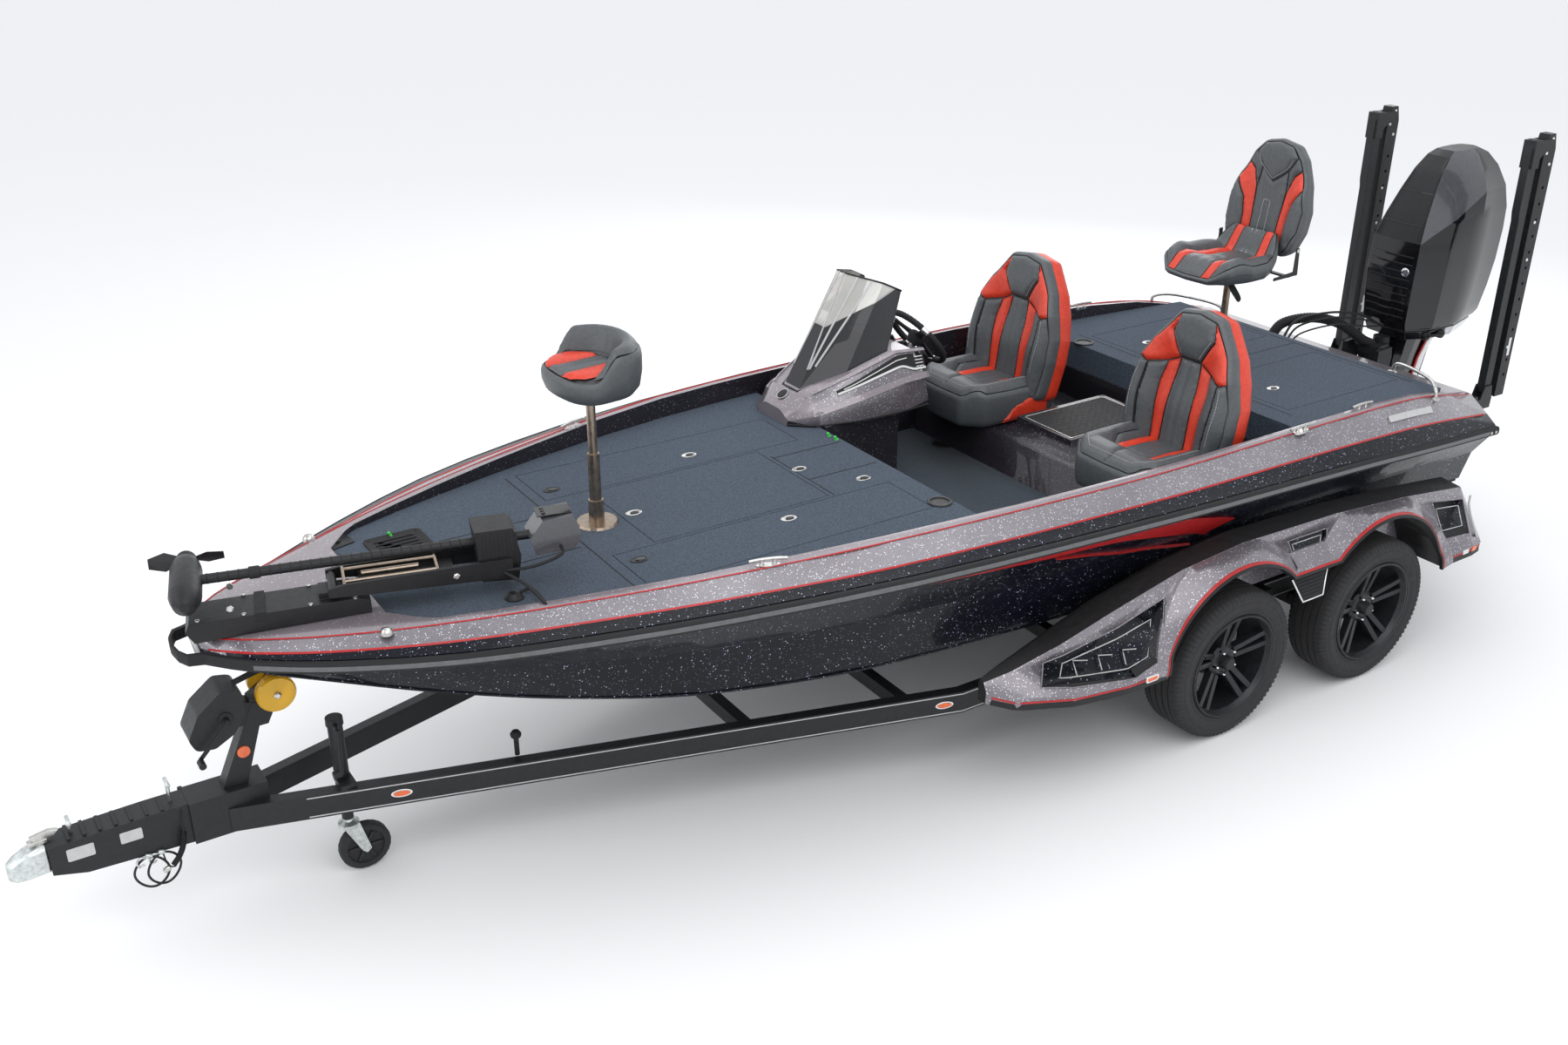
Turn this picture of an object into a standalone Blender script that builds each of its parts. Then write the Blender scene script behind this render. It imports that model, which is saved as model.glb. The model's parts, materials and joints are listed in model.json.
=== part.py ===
"""A bass boat on its tandem-axle trailer, standing on the trailer's jack.

Stations run forward from the boat's transom along +X, port is +Y and up is +Z, in metres.
The empty called frame_origin shifts every station so that the origin lies below the middle
of the overall length.
"""
import math

import bmesh
import bpy
from mathutils import Matrix, Vector

GAP = 0.0003                 # clearance between pieces that touch
LIP = 0.004                  # running gap round a lid

# Boat, driving sizes
DECK_Z = 1.150               # walking level of the fore deck
AFT_DECK_Z = 1.165
DECK_THICK = 0.120
AFT_DECK_LOW_Z = 0.800       # underside of the aft deck's locker tubs
FLOOR_Z = 0.760              # cockpit sole
FLOOR_THICK = 0.020
TUB_WALL = 0.014
LID_THICK = 0.028
LEDGE = 0.022                # a lid's bearing ledge
LOCKER_SKIN = 0.020          # walls of the locker tubs under the fore deck
RAIL_HIGH = 0.045            # rub rail
RAIL_PROUD = 0.016
GUNWALE_INNER = 0.045        # crest to the wall inside it
BOW_X = 5.930
DECK_FRONT_X = 5.250
DECK_AFT_X = 3.050
AFT_DECK_FRONT_X = 1.260
TRANSOM_CAP_X = 0.240

STATION_STEP = 0.300

# Sections of the hull, aft to fore
# columns: station, keel z, chine y, chine z, rail y, rail z, pinstripe y, pinstripe z, crest y, crest z
HULL = [
    (0.000, 0.545, 0.860, 0.640, 1.040, 0.935, 0.975, 1.020, 0.870, 1.090),
    (0.550, 0.540, 0.875, 0.640, 1.090, 0.985, 1.015, 1.090, 0.940, 1.200),
    (1.200, 0.535, 0.885, 0.640, 1.140, 1.045, 1.065, 1.140, 0.985, 1.235),
    (2.400, 0.535, 0.885, 0.645, 1.185, 1.115, 1.100, 1.180, 1.000, 1.240),
    (3.600, 0.540, 0.825, 0.670, 1.090, 1.125, 1.020, 1.185, 0.920, 1.240),
    (4.300, 0.555, 0.690, 0.705, 0.955, 1.115, 0.880, 1.175, 0.780, 1.215),
    (4.800, 0.590, 0.520, 0.765, 0.810, 1.100, 0.735, 1.160, 0.640, 1.192),
    (5.200, 0.680, 0.360, 0.840, 0.640, 1.075, 0.575, 1.135, 0.500, 1.170),
    (5.550, 0.845, 0.220, 0.930, 0.440, 1.058, 0.395, 1.118, 0.345, 1.155),
    (5.800, 0.960, 0.120, 1.000, 0.265, 1.055, 0.235, 1.112, 0.200, 1.148),
    (BOW_X, 1.020, 0.040, 1.035, 0.120, 1.055, 0.100, 1.105, 0.080, 1.140),
]

# Lids and wells
CENTRE_LID = (3.450, 4.260, 0.280)          # aft x, fore x, half width
ROD_LID = (3.160, 4.450, 0.303, 0.605)      # aft x, fore x, inner y, hinge y
ROD_LID_AFT_STARBOARD_X = 3.220             # clear of the console's nose
AFT_LID = (0.320, 1.100, 0.160, 0.660)
STEP = (1.480, 2.000, 0.170)                # centre step: aft x, fore x, half width
STEP_TOP_Z = 1.050
CENTRE_WELL_Z = 0.860
ROD_WELL_Z = 0.960
AFT_WELL_Z = 0.820

# Seats
SEAT_Y = 0.575
SEAT_WIDE = 0.500
SEAT_FRONT_X = 2.200
SEAT_BACK_X = 1.560
SEAT_BASE_Z = 0.950
SEAT_TOP_Z = 1.690
BENCH_AFT_X = 1.420
BENCH_FRONT_X = 2.080
BOW_POST_X = 4.368
BOW_SEAT_Z = 1.690
AFT_POST_X = 0.860
AFT_SEAT_Z = 1.620
POST_R = 0.024
SEAT_BRACKET_Y = 0.242       # hinge brackets of the folding back

# Console and helm
CONSOLE_Y = -0.590
PILLAR_AFT_X = 2.620         # console's foot in the cockpit
PILLAR_WIDE = 0.480
WHEEL_X = 2.340
WHEEL_Z = 1.400
WHEEL_R = 0.180
WHEEL_TILT = math.radians(38.0)

# Outboard
JACK_PLATE_AFT_X = -0.300
TILT_X = -0.360
TILT_Z = 1.020
STEER_X = -0.450
STEER_R = 0.045              # swivel tube
COWL_Z = 1.075
LEG_AFT_X = -0.800
PLATE_Z = 0.560              # anti-ventilation plate
PROP_X = -0.920
PROP_Z = 0.360
PROP_R = 0.178
PROP_BLADES = 4
GEARCASE_R = 0.058
MOTOR_AFT_X = -1.200

# Shallow-water anchors
ANCHOR_Y = 0.475
ANCHOR_WIDE = 0.060
ANCHOR_X = -0.745            # arm hinge
ANCHOR_HINGE_Z = 0.850
ANCHOR_TOP_Z = 2.225
ANCHOR_ARM_WIDE = 0.044
BLADE_X = -0.850             # hinge of the blade that holds the spike
BLADE_HINGE_DROP = 0.055     # below the top
BLADE_LOW_Z = 0.800
HOLE_PITCH = 0.085

# Trolling motor: s runs aft from its bow end, along a line turned towards port
TROLL_X = 5.960
TROLL_Y = 0.050
TROLL_TURN = math.radians(14.0)
TROLL_PIVOT_S = 0.500
TROLL_COLLAR_S = 1.080
TROLL_POD_S = 0.030
TROLL_PIVOT_Z = 1.262
TROLL_SHAFT_Z = 1.345

# Trailer
WHEEL_RADIUS = 0.350
TYRE_WIDE = 0.215
WHEEL_Y = 1.155
SIDEWALL = 0.115
RIM_R = WHEEL_RADIUS - SIDEWALL
WHEEL_STEPS = 36             # facets round a tyre or rim
AXLE_X = (1.977, 1.054)      # front, rear
HINGE_X = 6.060              # swing-away tongue
CHANNEL_FRONT_X = 6.530
NOSE_X = 6.665
TONGUE_LOW_Z = 0.335
TONGUE_TOP_Z = 0.485
TONGUE_WIDE = 0.110
BEAM_TOP_Z = 0.420
BEAM_TALL = 0.100
BEAM_WIDE = 0.050
BEAM_Y = 0.875               # outer face of the straight side beams
BEAM_NOSE_X = 5.930
BEAM_NOSE_Y = 0.070
BEAM_BEND_X = 3.170
CROSS_X = (4.040, 3.400, 2.500, 1.515, 0.500)
CROSS_TOP_Z = BEAM_TOP_Z - 0.002
NOSE_BOX_X = 5.780           # aft end of the box that the tongue folds on
NOSE_BOX_Y = 0.066
BUNK_Y = 0.450
BUNK_WIDE = 0.130
BUNK_FRONT_X = 4.300
HUB_R = 0.100
FENDER_OUT_Y = 1.285
FENDER_TOP_Y = 1.150
FENDER_CREST_Y = 1.050
FENDER_IN_Y = 1.010
FENDER_SKIN = 0.020
FENDER_FOOT = 0.050          # height of the upright lip at the foot
PANEL_DEEP = 0.012
ARCH_R = 0.445
ARCH_Z = 0.385
ARCH_DIP_Z = 0.700           # foot of the fender between the wheels
JACK_X = 5.520
JACK_Y = 0.100
JACK_R = 0.028
CASTER_R = 0.100
CASTER_WIDE = 0.042
CASTER_TRAIL = 0.048
ROLLER_R = 0.072
ROLLER_X = 5.700
ROLLER_IN_Y = 0.034
ROLLER_OUT_Y = 0.082
SLEEVE_R = 0.017
PIN_R = 0.010

X_MIDDLE = (NOSE_X + MOTOR_AFT_X) / 2

PIVOTS = {}


def clear_scene():
    for old in list(bpy.data.objects):
        bpy.data.objects.remove(old, do_unlink=True)


def material(name, colour, roughness, metallic=0.0):
    made = bpy.data.materials.get(name)
    if made is None:
        made = bpy.data.materials.new(name)
        made.use_nodes = True
        shader = made.node_tree.nodes["Principled BSDF"]
        shader.inputs["Base Color"].default_value = (*colour, 1.0)
        shader.inputs["Roughness"].default_value = roughness
        shader.inputs["Metallic"].default_value = metallic
    return made


def hull_navy():
    return material("hull_navy", (0.020, 0.024, 0.045), 0.18, 0.3)


def gunwale_mauve():
    return material("gunwale_mauve", (0.40, 0.37, 0.42), 0.25, 0.5)


def carpet():
    return material("carpet", (0.115, 0.150, 0.205), 0.95)


def liner_grey():
    return material("liner_grey", (0.060, 0.060, 0.070), 0.60)


def black_plastic():
    return material("black_plastic", (0.020, 0.020, 0.022), 0.45)


def satin_black():
    return material("satin_black", (0.030, 0.030, 0.033), 0.40, 0.2)


def gloss_black():
    return material("gloss_black", (0.012, 0.012, 0.014), 0.10)


def seat_vinyl():
    return material("seat_vinyl", (0.095, 0.105, 0.110), 0.50)


def stainless():
    return material("stainless", (0.62, 0.60, 0.57), 0.22, 1.0)


def zinc():
    return material("zinc", (0.66, 0.70, 0.68), 0.35, 1.0)


def tyre_rubber():
    return material("tyre_rubber", (0.025, 0.025, 0.026), 0.80)


def amber():
    return material("amber_urethane", (0.85, 0.50, 0.05), 0.25)


def smoked():
    return material("smoked_screen", (0.030, 0.030, 0.035), 0.08)


def frame_origin():
    origin = bpy.data.objects.new("frame_origin", None)
    origin.location = (-X_MIDDLE, 0, 0)
    bpy.context.collection.objects.link(origin)
    PIVOTS["frame_origin"] = (origin, Vector((0, 0, 0)))


def pivot(name, place, parent="frame_origin"):
    """An empty on a joint's axis, in station coordinates."""
    carrier, carrier_place = PIVOTS[parent]
    made = bpy.data.objects.new(name, None)
    made.parent = carrier
    made.location = Vector(place) - carrier_place
    bpy.context.collection.objects.link(made)
    PIVOTS[name] = (made, Vector(place))


def finish_mesh(name, shape):
    bmesh.ops.recalc_face_normals(shape, faces=shape.faces)
    mesh = bpy.data.meshes.new(name)
    shape.to_mesh(mesh)
    shape.free()
    mesh.shade_smooth()
    mesh.set_sharp_from_angle(angle=math.radians(32))
    return mesh


def add(name, shape, finish, on="frame_origin"):
    """Make a node from a bmesh in station coordinates, carried by a pivot."""
    carrier, place = PIVOTS[on]
    bmesh.ops.translate(shape, verts=shape.verts, vec=-place)
    made = bpy.data.objects.new(name, finish_mesh(name, shape))
    made.data.materials.append(finish)
    made.parent = carrier
    bpy.context.collection.objects.link(made)
    return made


def helper(target, shape, operation):
    """A hidden guide that cuts or extends target."""
    name = f"{target.name}_{operation.lower()}_{len(target.modifiers)}"
    guide = bpy.data.objects.new(name, finish_mesh(name, shape))
    guide.parent = PIVOTS["frame_origin"][0]
    guide.hide_render = True
    guide.display_type = "WIRE"
    bpy.context.collection.objects.link(guide)
    change = target.modifiers.new(name, "BOOLEAN")
    change.operation = operation
    change.solver = "EXACT"
    change.object = guide


def cut(target, *shapes):
    for shape in shapes:
        helper(target, shape, "DIFFERENCE")


def fuse(target, *shapes):
    for shape in shapes:
        helper(target, shape, "UNION")


def box(low, high):
    """A block between two corners."""
    shape = bmesh.new()
    bmesh.ops.create_cube(shape, size=1.0)
    size = [b - a for a, b in zip(low, high)]
    middle = [(a + b) / 2 for a, b in zip(low, high)]
    bmesh.ops.scale(shape, verts=shape.verts, vec=size)
    bmesh.ops.translate(shape, verts=shape.verts, vec=middle)
    return shape


def soft_box(low, high, radius, segments=3):
    """A block with rounded edges."""
    shape = box(low, high)
    bmesh.ops.bevel(shape, geom=shape.edges[:], offset=radius, segments=segments,
                    profile=0.5, affect="EDGES", clamp_overlap=True)
    return shape


def loft(rings):
    """Bridge rings of equal length, and close both ends."""
    shape = bmesh.new()
    rows = [[shape.verts.new(point) for point in ring] for ring in rings]
    count = len(rows[0])
    for row, following in zip(rows, rows[1:]):
        for i in range(count):
            j = (i + 1) % count
            shape.faces.new((row[i], row[j], following[j], following[i]))
    shape.faces.new(list(reversed(rows[0])))
    shape.faces.new(rows[-1])
    return shape


def prism(outline, axis, low, high):
    """Extrude a flat outline along an axis: x takes (y, z), y takes (x, z), z takes (x, y)."""
    index = "xyz".index(axis)

    def lift(point, level):
        placed = list(point)
        placed.insert(index, level)
        return placed

    return loft([[lift(point, level) for point in outline] for level in (low, high)])


def lathe(profile, centre, axis, steps=24):
    """Turn a closed profile of (along, radius) pairs about an axis through centre."""
    along = Vector(axis).normalized()
    side = along.orthogonal().normalized()
    across = along.cross(side)
    shape = bmesh.new()
    rows = []
    for k in range(steps):
        angle = 2 * math.pi * k / steps
        out = side * math.cos(angle) + across * math.sin(angle)
        rows.append([shape.verts.new(Vector(centre) + along * a + out * r) for a, r in profile])
    count = len(profile)
    for k in range(steps):
        row = rows[k]
        following = rows[(k + 1) % steps]
        for i in range(count):
            j = (i + 1) % count
            shape.faces.new((row[i], row[j], following[j], following[i]))
    return shape


def rod(start, end, radius, steps=16):
    """A round bar between two points."""
    start = Vector(start)
    along = Vector(end) - start
    axis = along.normalized()
    side = axis.orthogonal().normalized()
    across = axis.cross(side)
    rings = []
    for point in (start, start + along):
        ring = []
        for k in range(steps):
            angle = 2 * math.pi * k / steps
            ring.append(point + (side * math.cos(angle) + across * math.sin(angle)) * radius)
        rings.append(ring)
    return loft(rings)


def drum(profile, centre, axis, steps=24):
    """A solid of revolution from (along, radius) pairs, closed flat at both ends."""
    along = Vector(axis).normalized()
    side = along.orthogonal().normalized()
    across = along.cross(side)
    rings = []
    for a, r in profile:
        ring = []
        for k in range(steps):
            angle = 2 * math.pi * k / steps
            out = side * math.cos(angle) + across * math.sin(angle)
            ring.append(Vector(centre) + along * a + out * r)
        rings.append(ring)
    return loft(rings)


def merge(*shapes):
    """Put shapes that do not touch into one bmesh."""
    whole = bmesh.new()
    for shape in shapes:
        mesh = bpy.data.meshes.new("merge")
        shape.to_mesh(mesh)
        shape.free()
        whole.from_mesh(mesh)
        bpy.data.meshes.remove(mesh)
    return whole


def rounded(corners, radius, steps=4):
    """Round the corners of a flat outline with arcs."""
    outline = []
    count = len(corners)
    for i, corner in enumerate(corners):
        here = Vector(corner)
        before = (Vector(corners[i - 1]) - here)
        after = (Vector(corners[(i + 1) % count]) - here)
        angle = before.angle(after)
        reach = min(radius / math.tan(angle / 2), before.length * 0.45, after.length * 0.45)
        start = here + before.normalized() * reach
        stop = here + after.normalized() * reach
        for k in range(steps + 1):
            t = k / steps
            point = start.lerp(here, t).lerp(here.lerp(stop, t), t)
            outline.append(tuple(point))
    return outline


def table(column, x):
    """Read one column of the hull's table at a station, by a smooth curve through its rows."""
    x = min(max(x, HULL[0][0]), HULL[-1][0])
    last = len(HULL) - 1
    i = 0
    while i < last - 1 and x > HULL[i + 1][0]:
        i += 1
    slopes = []
    for k in (i, i + 1):
        low = HULL[max(k - 1, 0)]
        high = HULL[min(k + 1, last)]
        slopes.append((high[column] - low[column]) / (high[0] - low[0]))
    span = HULL[i + 1][0] - HULL[i][0]
    t = (x - HULL[i][0]) / span
    near = HULL[i][column]
    far = HULL[i + 1][column]
    rise = t * t * (3 - 2 * t)
    start = span * slopes[0] * t * (1 - t) * (1 - t)
    stop = span * slopes[1] * t * t * (t - 1)
    return near + rise * (far - near) + start + stop


def hull_rows():
    """The hull's table, read at closer stations."""
    stations = [HULL[0][0]]
    for low, high in zip(HULL, HULL[1:]):
        steps = max(2, round((high[0] - low[0]) / STATION_STEP))
        stations += [low[0] + (high[0] - low[0]) * k / steps for k in range(1, steps + 1)]
    return [(x, *(table(column, x) for column in range(1, len(HULL[0])))) for x in stations]


def inner_y(x):
    return table(8, x) - GUNWALE_INNER


def interior_outline(grow=0.0):
    """Plan of the space inside the gunwale, from the transom cap to the bow pad."""
    between = [row[0] for row in hull_rows() if TRANSOM_CAP_X < row[0] < DECK_FRONT_X]
    stations = [TRANSOM_CAP_X - grow] + between
    port = [(x, inner_y(x) + grow) for x in stations]
    front = [(DECK_FRONT_X, inner_y(DECK_FRONT_X) + grow - 0.02),
             (DECK_FRONT_X + 0.09 + grow, inner_y(DECK_FRONT_X) - 0.13)]
    half = port + front
    return half + [(x, -y) for x, y in reversed(half)]


def well_outline(aft, fore, grow=0.0):
    """Plan of the cockpit, which follows the gunwale."""
    stations = [aft - grow] + [row[0] for row in hull_rows() if aft < row[0] < fore] + [fore + grow]
    port = [(x, inner_y(x) - 0.02 + grow) for x in stations]
    return port + [(x, -y) for x, y in reversed(port)]


def band(low, high, shrink):
    """A block that fills the interior plan between two levels."""
    outline = interior_outline(-shrink)
    return prism(outline, "z", low, high)


def hull_section(row):
    x, keel_z, chine_y, chine_z, rail_y, rail_z = row[:6]
    pad = min(0.060, chine_y * 0.4)
    strake_y = chine_y * 0.62
    strake_z = keel_z + (chine_z - keel_z) * 0.60
    half = [
        (pad, keel_z),
        (strake_y, strake_z),
        (strake_y + 0.012, strake_z - 0.012),
        (chine_y, chine_z - 0.012),
        (chine_y + 0.035, chine_z + 0.008),
        (chine_y + 0.035 + 0.30 * (rail_y - chine_y - 0.047), chine_z + 0.55 * (rail_z - chine_z)),
        (rail_y - 0.012, rail_z - GAP),
    ]
    ring = [(x, y, z) for y, z in half]
    return ring + [(x, -y, z) for y, z in reversed(half)]


def hull_body(drop=0.0):
    """The closed outer form of the hull, lowered by drop, in flat triangles."""
    shape = loft([[(x, y, z - drop) for x, y, z in hull_section(row)] for row in hull_rows()])
    bmesh.ops.triangulate(shape, faces=shape.faces[:])
    return shape


def rod_lid_aft(side):
    return ROD_LID[0] if side > 0 else ROD_LID_AFT_STARBOARD_X


def fore_tub(shrink=0.0):
    """The block under the fore deck that holds its three lockers, smaller by shrink all round."""
    side = ROD_LID[3] - LEDGE + LOCKER_SKIN - shrink
    return box((ROD_LID[0] + LEDGE - LOCKER_SKIN + shrink, -side, CENTRE_WELL_Z - LOCKER_SKIN + shrink),
               (ROD_LID[1] - LEDGE + LOCKER_SKIN - shrink, side, DECK_Z - DECK_THICK + 0.002))


def build_hull():
    """The outer form, with one broad pocket each for the aft tubs, the cockpit and the fore tub."""
    hull = add("hull", hull_body(), hull_navy())
    above = DECK_Z + 0.25
    cut(hull, prism(interior_outline(), "z", DECK_Z - DECK_THICK, above))
    cut(hull, prism(well_outline(TRANSOM_CAP_X, AFT_DECK_FRONT_X + 0.001), "z", AFT_DECK_LOW_Z, above + 0.02))
    cut(hull, prism(well_outline(AFT_DECK_FRONT_X, DECK_AFT_X), "z", FLOOR_Z - FLOOR_THICK, above + 0.01))
    cut(hull, fore_tub())


def well(aft, fore, side_a, side_b, bottom):
    """The space below a lid, inside its bearing ledge."""
    low_y, high_y = sorted((side_a, side_b))
    return box((aft + LEDGE, low_y + LEDGE, bottom), (fore - LEDGE, high_y - LEDGE, AFT_DECK_Z + 0.25))


def rebate(aft, fore, side_a, side_b, top):
    """The shallow seat of a lid, one running gap larger than the lid."""
    low_y, high_y = sorted((side_a, side_b))
    return box((aft - LIP, low_y - LIP, top - LID_THICK - GAP), (fore + LIP, high_y + LIP, top + 0.1))


def cap_section(row):
    x, rail_y, rail_z, pin_y, pin_z, crest_y, crest_z = row[0], *row[4:]
    half = [
        (rail_y - 0.010, rail_z),
        (rail_y - 0.010, rail_z + RAIL_HIGH),
        (pin_y, pin_z),
        (crest_y, crest_z),
        (crest_y - 0.030, crest_z + 0.004),
    ]
    ring = [(x, y, z) for y, z in half]
    return ring + [(x, -y, z) for y, z in reversed(half)]


def build_cap():
    cap = add("gunwale_cap", loft([cap_section(row) for row in hull_rows()]), gunwale_mauve())
    cut(cap, prism(interior_outline(), "z", 0.80, 1.40))


def rail_section(row):
    """Band outside the joint of hull and cap, level with the cap's lower edge."""
    x, rail_y, rail_z = row[0], row[4], row[5]
    low = rail_z + GAP
    high = rail_z + RAIL_HIGH - 0.004
    inner = rail_y - 0.010 + GAP
    outer = rail_y + RAIL_PROUD
    return [(inner, low), (outer - 0.006, low), (outer, low + 0.010),
            (outer, high - 0.010), (outer - 0.006, high), (inner, high)]


def build_rub_rail():
    """One band round both sides and the bow, bridged across the bow's blunt tip."""
    rings = []
    for row in hull_rows():
        rings.append([(row[0], y, z) for y, z in rail_section(row)])
    last = HULL[-1]
    for turn in (60, 30, 0, -30, -60):
        angle = math.radians(turn)
        ring = []
        for y, z in rail_section(last):
            ring.append((last[0] + 0.02 + y * 0.45 * math.cos(angle), y * math.sin(angle), z))
        rings.append(ring)
    for row in reversed(hull_rows()):
        rings.append([(row[0], -y, z) for y, z in rail_section(row)])
    add("rub_rail", loft(rings), black_plastic())


def deck_piece(name, low, high, aft, fore, tub, lids):
    """A carpeted deck moulded in one with the tubs of its lockers, between two stations."""
    deck = add(name, band(low, high, GAP), carpet())
    cut(deck, box((-0.2, -1.5, low - 0.1), (aft, 1.5, high + 0.1)))
    cut(deck, box((fore, -1.5, low - 0.1), (6.2, 1.5, high + 0.1)))
    fuse(deck, tub)
    for lid_aft, lid_fore, side_a, side_b, bottom in lids:
        cut(deck, rebate(lid_aft, lid_fore, side_a, side_b, high))
        cut(deck, well(lid_aft, lid_fore, side_a, side_b, bottom))


def build_decks():
    front = [(CENTRE_LID[0], CENTRE_LID[1], -CENTRE_LID[2], CENTRE_LID[2], CENTRE_WELL_Z)]
    rear = []
    for side in (1, -1):
        front.append((rod_lid_aft(side), ROD_LID[1], side * ROD_LID[2], side * ROD_LID[3], ROD_WELL_Z))
        rear.append((AFT_LID[0], AFT_LID[1], side * AFT_LID[2], side * AFT_LID[3], AFT_WELL_Z))
    middle = DECK_Z - DECK_THICK + GAP
    deck_piece("fore_deck", middle, DECK_Z, DECK_AFT_X, DECK_FRONT_X + 1, fore_tub(GAP), front)
    plan = well_outline(TRANSOM_CAP_X, AFT_DECK_FRONT_X, -GAP)
    tubs = prism(plan, "z", AFT_DECK_LOW_Z + GAP, middle + 0.002)
    deck_piece("aft_deck", middle, AFT_DECK_Z, 0, AFT_DECK_FRONT_X, tubs, rear)


def lid(name, aft, fore, side_a, side_b, top, on, finish):
    low_y, high_y = sorted((side_a, side_b))
    shape = box((aft, low_y, top - LID_THICK), (fore, high_y, top))
    add(name, shape, finish, on)


def build_lids():
    pivot("centre_lid_hinge", (CENTRE_LID[1], 0, DECK_Z + 0.002))
    lid("centre_lid", CENTRE_LID[0], CENTRE_LID[1], -CENTRE_LID[2], CENTRE_LID[2], DECK_Z,
        "centre_lid_hinge", carpet())
    for side, word in ((1, "port"), (-1, "starboard")):
        pivot(f"{word}_rod_lid_hinge", (rod_lid_aft(side), side * ROD_LID[3], DECK_Z + 0.002))
        lid(f"{word}_rod_lid", rod_lid_aft(side), ROD_LID[1], side * ROD_LID[2], side * ROD_LID[3], DECK_Z,
            f"{word}_rod_lid_hinge", carpet())
        pivot(f"{word}_aft_lid_hinge", (AFT_LID[0], side * AFT_LID[3], AFT_DECK_Z + 0.002))
        lid(f"{word}_aft_lid", AFT_LID[0], AFT_LID[1], side * AFT_LID[2], side * AFT_LID[3], AFT_DECK_Z,
            f"{word}_aft_lid_hinge", carpet())
    pivot("step_lid_hinge", (STEP[0], 0, STEP_TOP_Z + 0.002))
    lid("step_lid", STEP[0], STEP[1], -STEP[2], STEP[2], STEP_TOP_Z, "step_lid_hinge", black_plastic())


def build_cockpit():
    outer = well_outline(AFT_DECK_FRONT_X, DECK_AFT_X, -GAP)
    inner = well_outline(AFT_DECK_FRONT_X, DECK_AFT_X, -TUB_WALL)
    low = FLOOR_Z - FLOOR_THICK + GAP
    liner = add("cockpit_liner", prism(outer, "z", low, DECK_Z - DECK_THICK), liner_grey())
    cut(liner, prism(inner, "z", FLOOR_Z, 1.30))
    side_y = inner_y(BENCH_AFT_X) - 0.02 - TUB_WALL + 0.005
    fuse(liner, box((BENCH_AFT_X, -side_y, FLOOR_Z - 0.005), (BENCH_FRONT_X, side_y, SEAT_BASE_Z - GAP)))
    fuse(liner, box((STEP[0] - 0.02, -STEP[2] - 0.02, FLOOR_Z - 0.004),
                    (STEP[1] + 0.02, STEP[2] + 0.02, STEP_TOP_Z)))
    cut(liner, rebate(STEP[0], STEP[1], -STEP[2], STEP[2], STEP_TOP_Z))
    cut(liner, well(STEP[0], STEP[1], -STEP[2], STEP[2], FLOOR_Z + 0.03))


def bucket_seat(word, side):
    """A bucket seat: a bottom cushion and a leaning back with its real outline."""
    middle = side * SEAT_Y
    half = SEAT_WIDE / 2
    bottom = SEAT_BASE_Z
    cushion = soft_box((SEAT_BACK_X + 0.10, middle - half, bottom),
                       (SEAT_FRONT_X, middle + half, bottom + 0.215), 0.05)
    seat = add(f"{word}_seat", cushion, seat_vinyl())
    outline = rounded([(-half, bottom + 0.02), (half, bottom + 0.02), (half + 0.005, 1.38),
                       (half - 0.02, 1.55), (0.13, SEAT_TOP_Z - 0.01), (-0.13, SEAT_TOP_Z - 0.01),
                       (-half + 0.02, 1.55), (-half - 0.005, 1.38)], 0.06)
    lean = 0.20
    rings = []
    for offset, shrink in ((0.0, 0.88), (0.03, 1.0), (0.13, 1.0), (0.155, 0.86)):
        ring = []
        for y, z in outline:
            mid_z = (bottom + SEAT_TOP_Z) / 2
            level = mid_z + (z - mid_z) * shrink
            x = SEAT_BACK_X + 0.085 + offset - lean * (level - bottom - 0.2)
            ring.append((x, middle + y * shrink, level))
        rings.append(ring)
    fuse(seat, loft(rings))


def build_bucket_seats():
    bucket_seat("driver", -1)
    bucket_seat("passenger", 1)


def pedestal(x, low, high):
    """Deck plate with a two-stage post."""
    joint = (high - low) * 0.55
    profile = [(0.0, 0.085), (0.010, 0.080), (0.0101, POST_R + 0.008), (0.10, POST_R + 0.006),
               (0.1001, POST_R), (joint, POST_R), (joint + 0.0001, POST_R - 0.006),
               (high - low, POST_R - 0.006)]
    return drum(profile, (x, 0, low), (0, 0, 1), 20)


def build_pedestals():
    add("bow_pedestal", pedestal(BOW_POST_X, DECK_Z + GAP, BOW_SEAT_Z - GAP), stainless())
    add("aft_pedestal", pedestal(AFT_POST_X, AFT_DECK_Z + GAP, AFT_SEAT_Z - GAP), stainless())


def build_bow_seat():
    """A leaning seat on its post, round behind and straight in front."""
    pivot("bow_seat_swivel", (BOW_POST_X, 0, BOW_SEAT_Z))
    rings = []
    for z, grow in ((0.0, 0.70), (0.018, 0.93), (0.09, 1.0), (0.16, 1.0), (0.215, 0.88), (0.235, 0.60)):
        ring = []
        for k in range(24):
            angle = 2 * math.pi * k / 24
            c, s = math.cos(angle), math.sin(angle)
            reach_x = 0.165 if c > 0 else 0.190
            ring.append((BOW_POST_X + reach_x * grow * math.copysign(abs(c) ** 0.8, c),
                         0.205 * grow * math.copysign(abs(s) ** 0.8, s), BOW_SEAT_Z + z))
        rings.append(ring)
    add("bow_seat", loft(rings), seat_vinyl(), "bow_seat_swivel")


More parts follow.
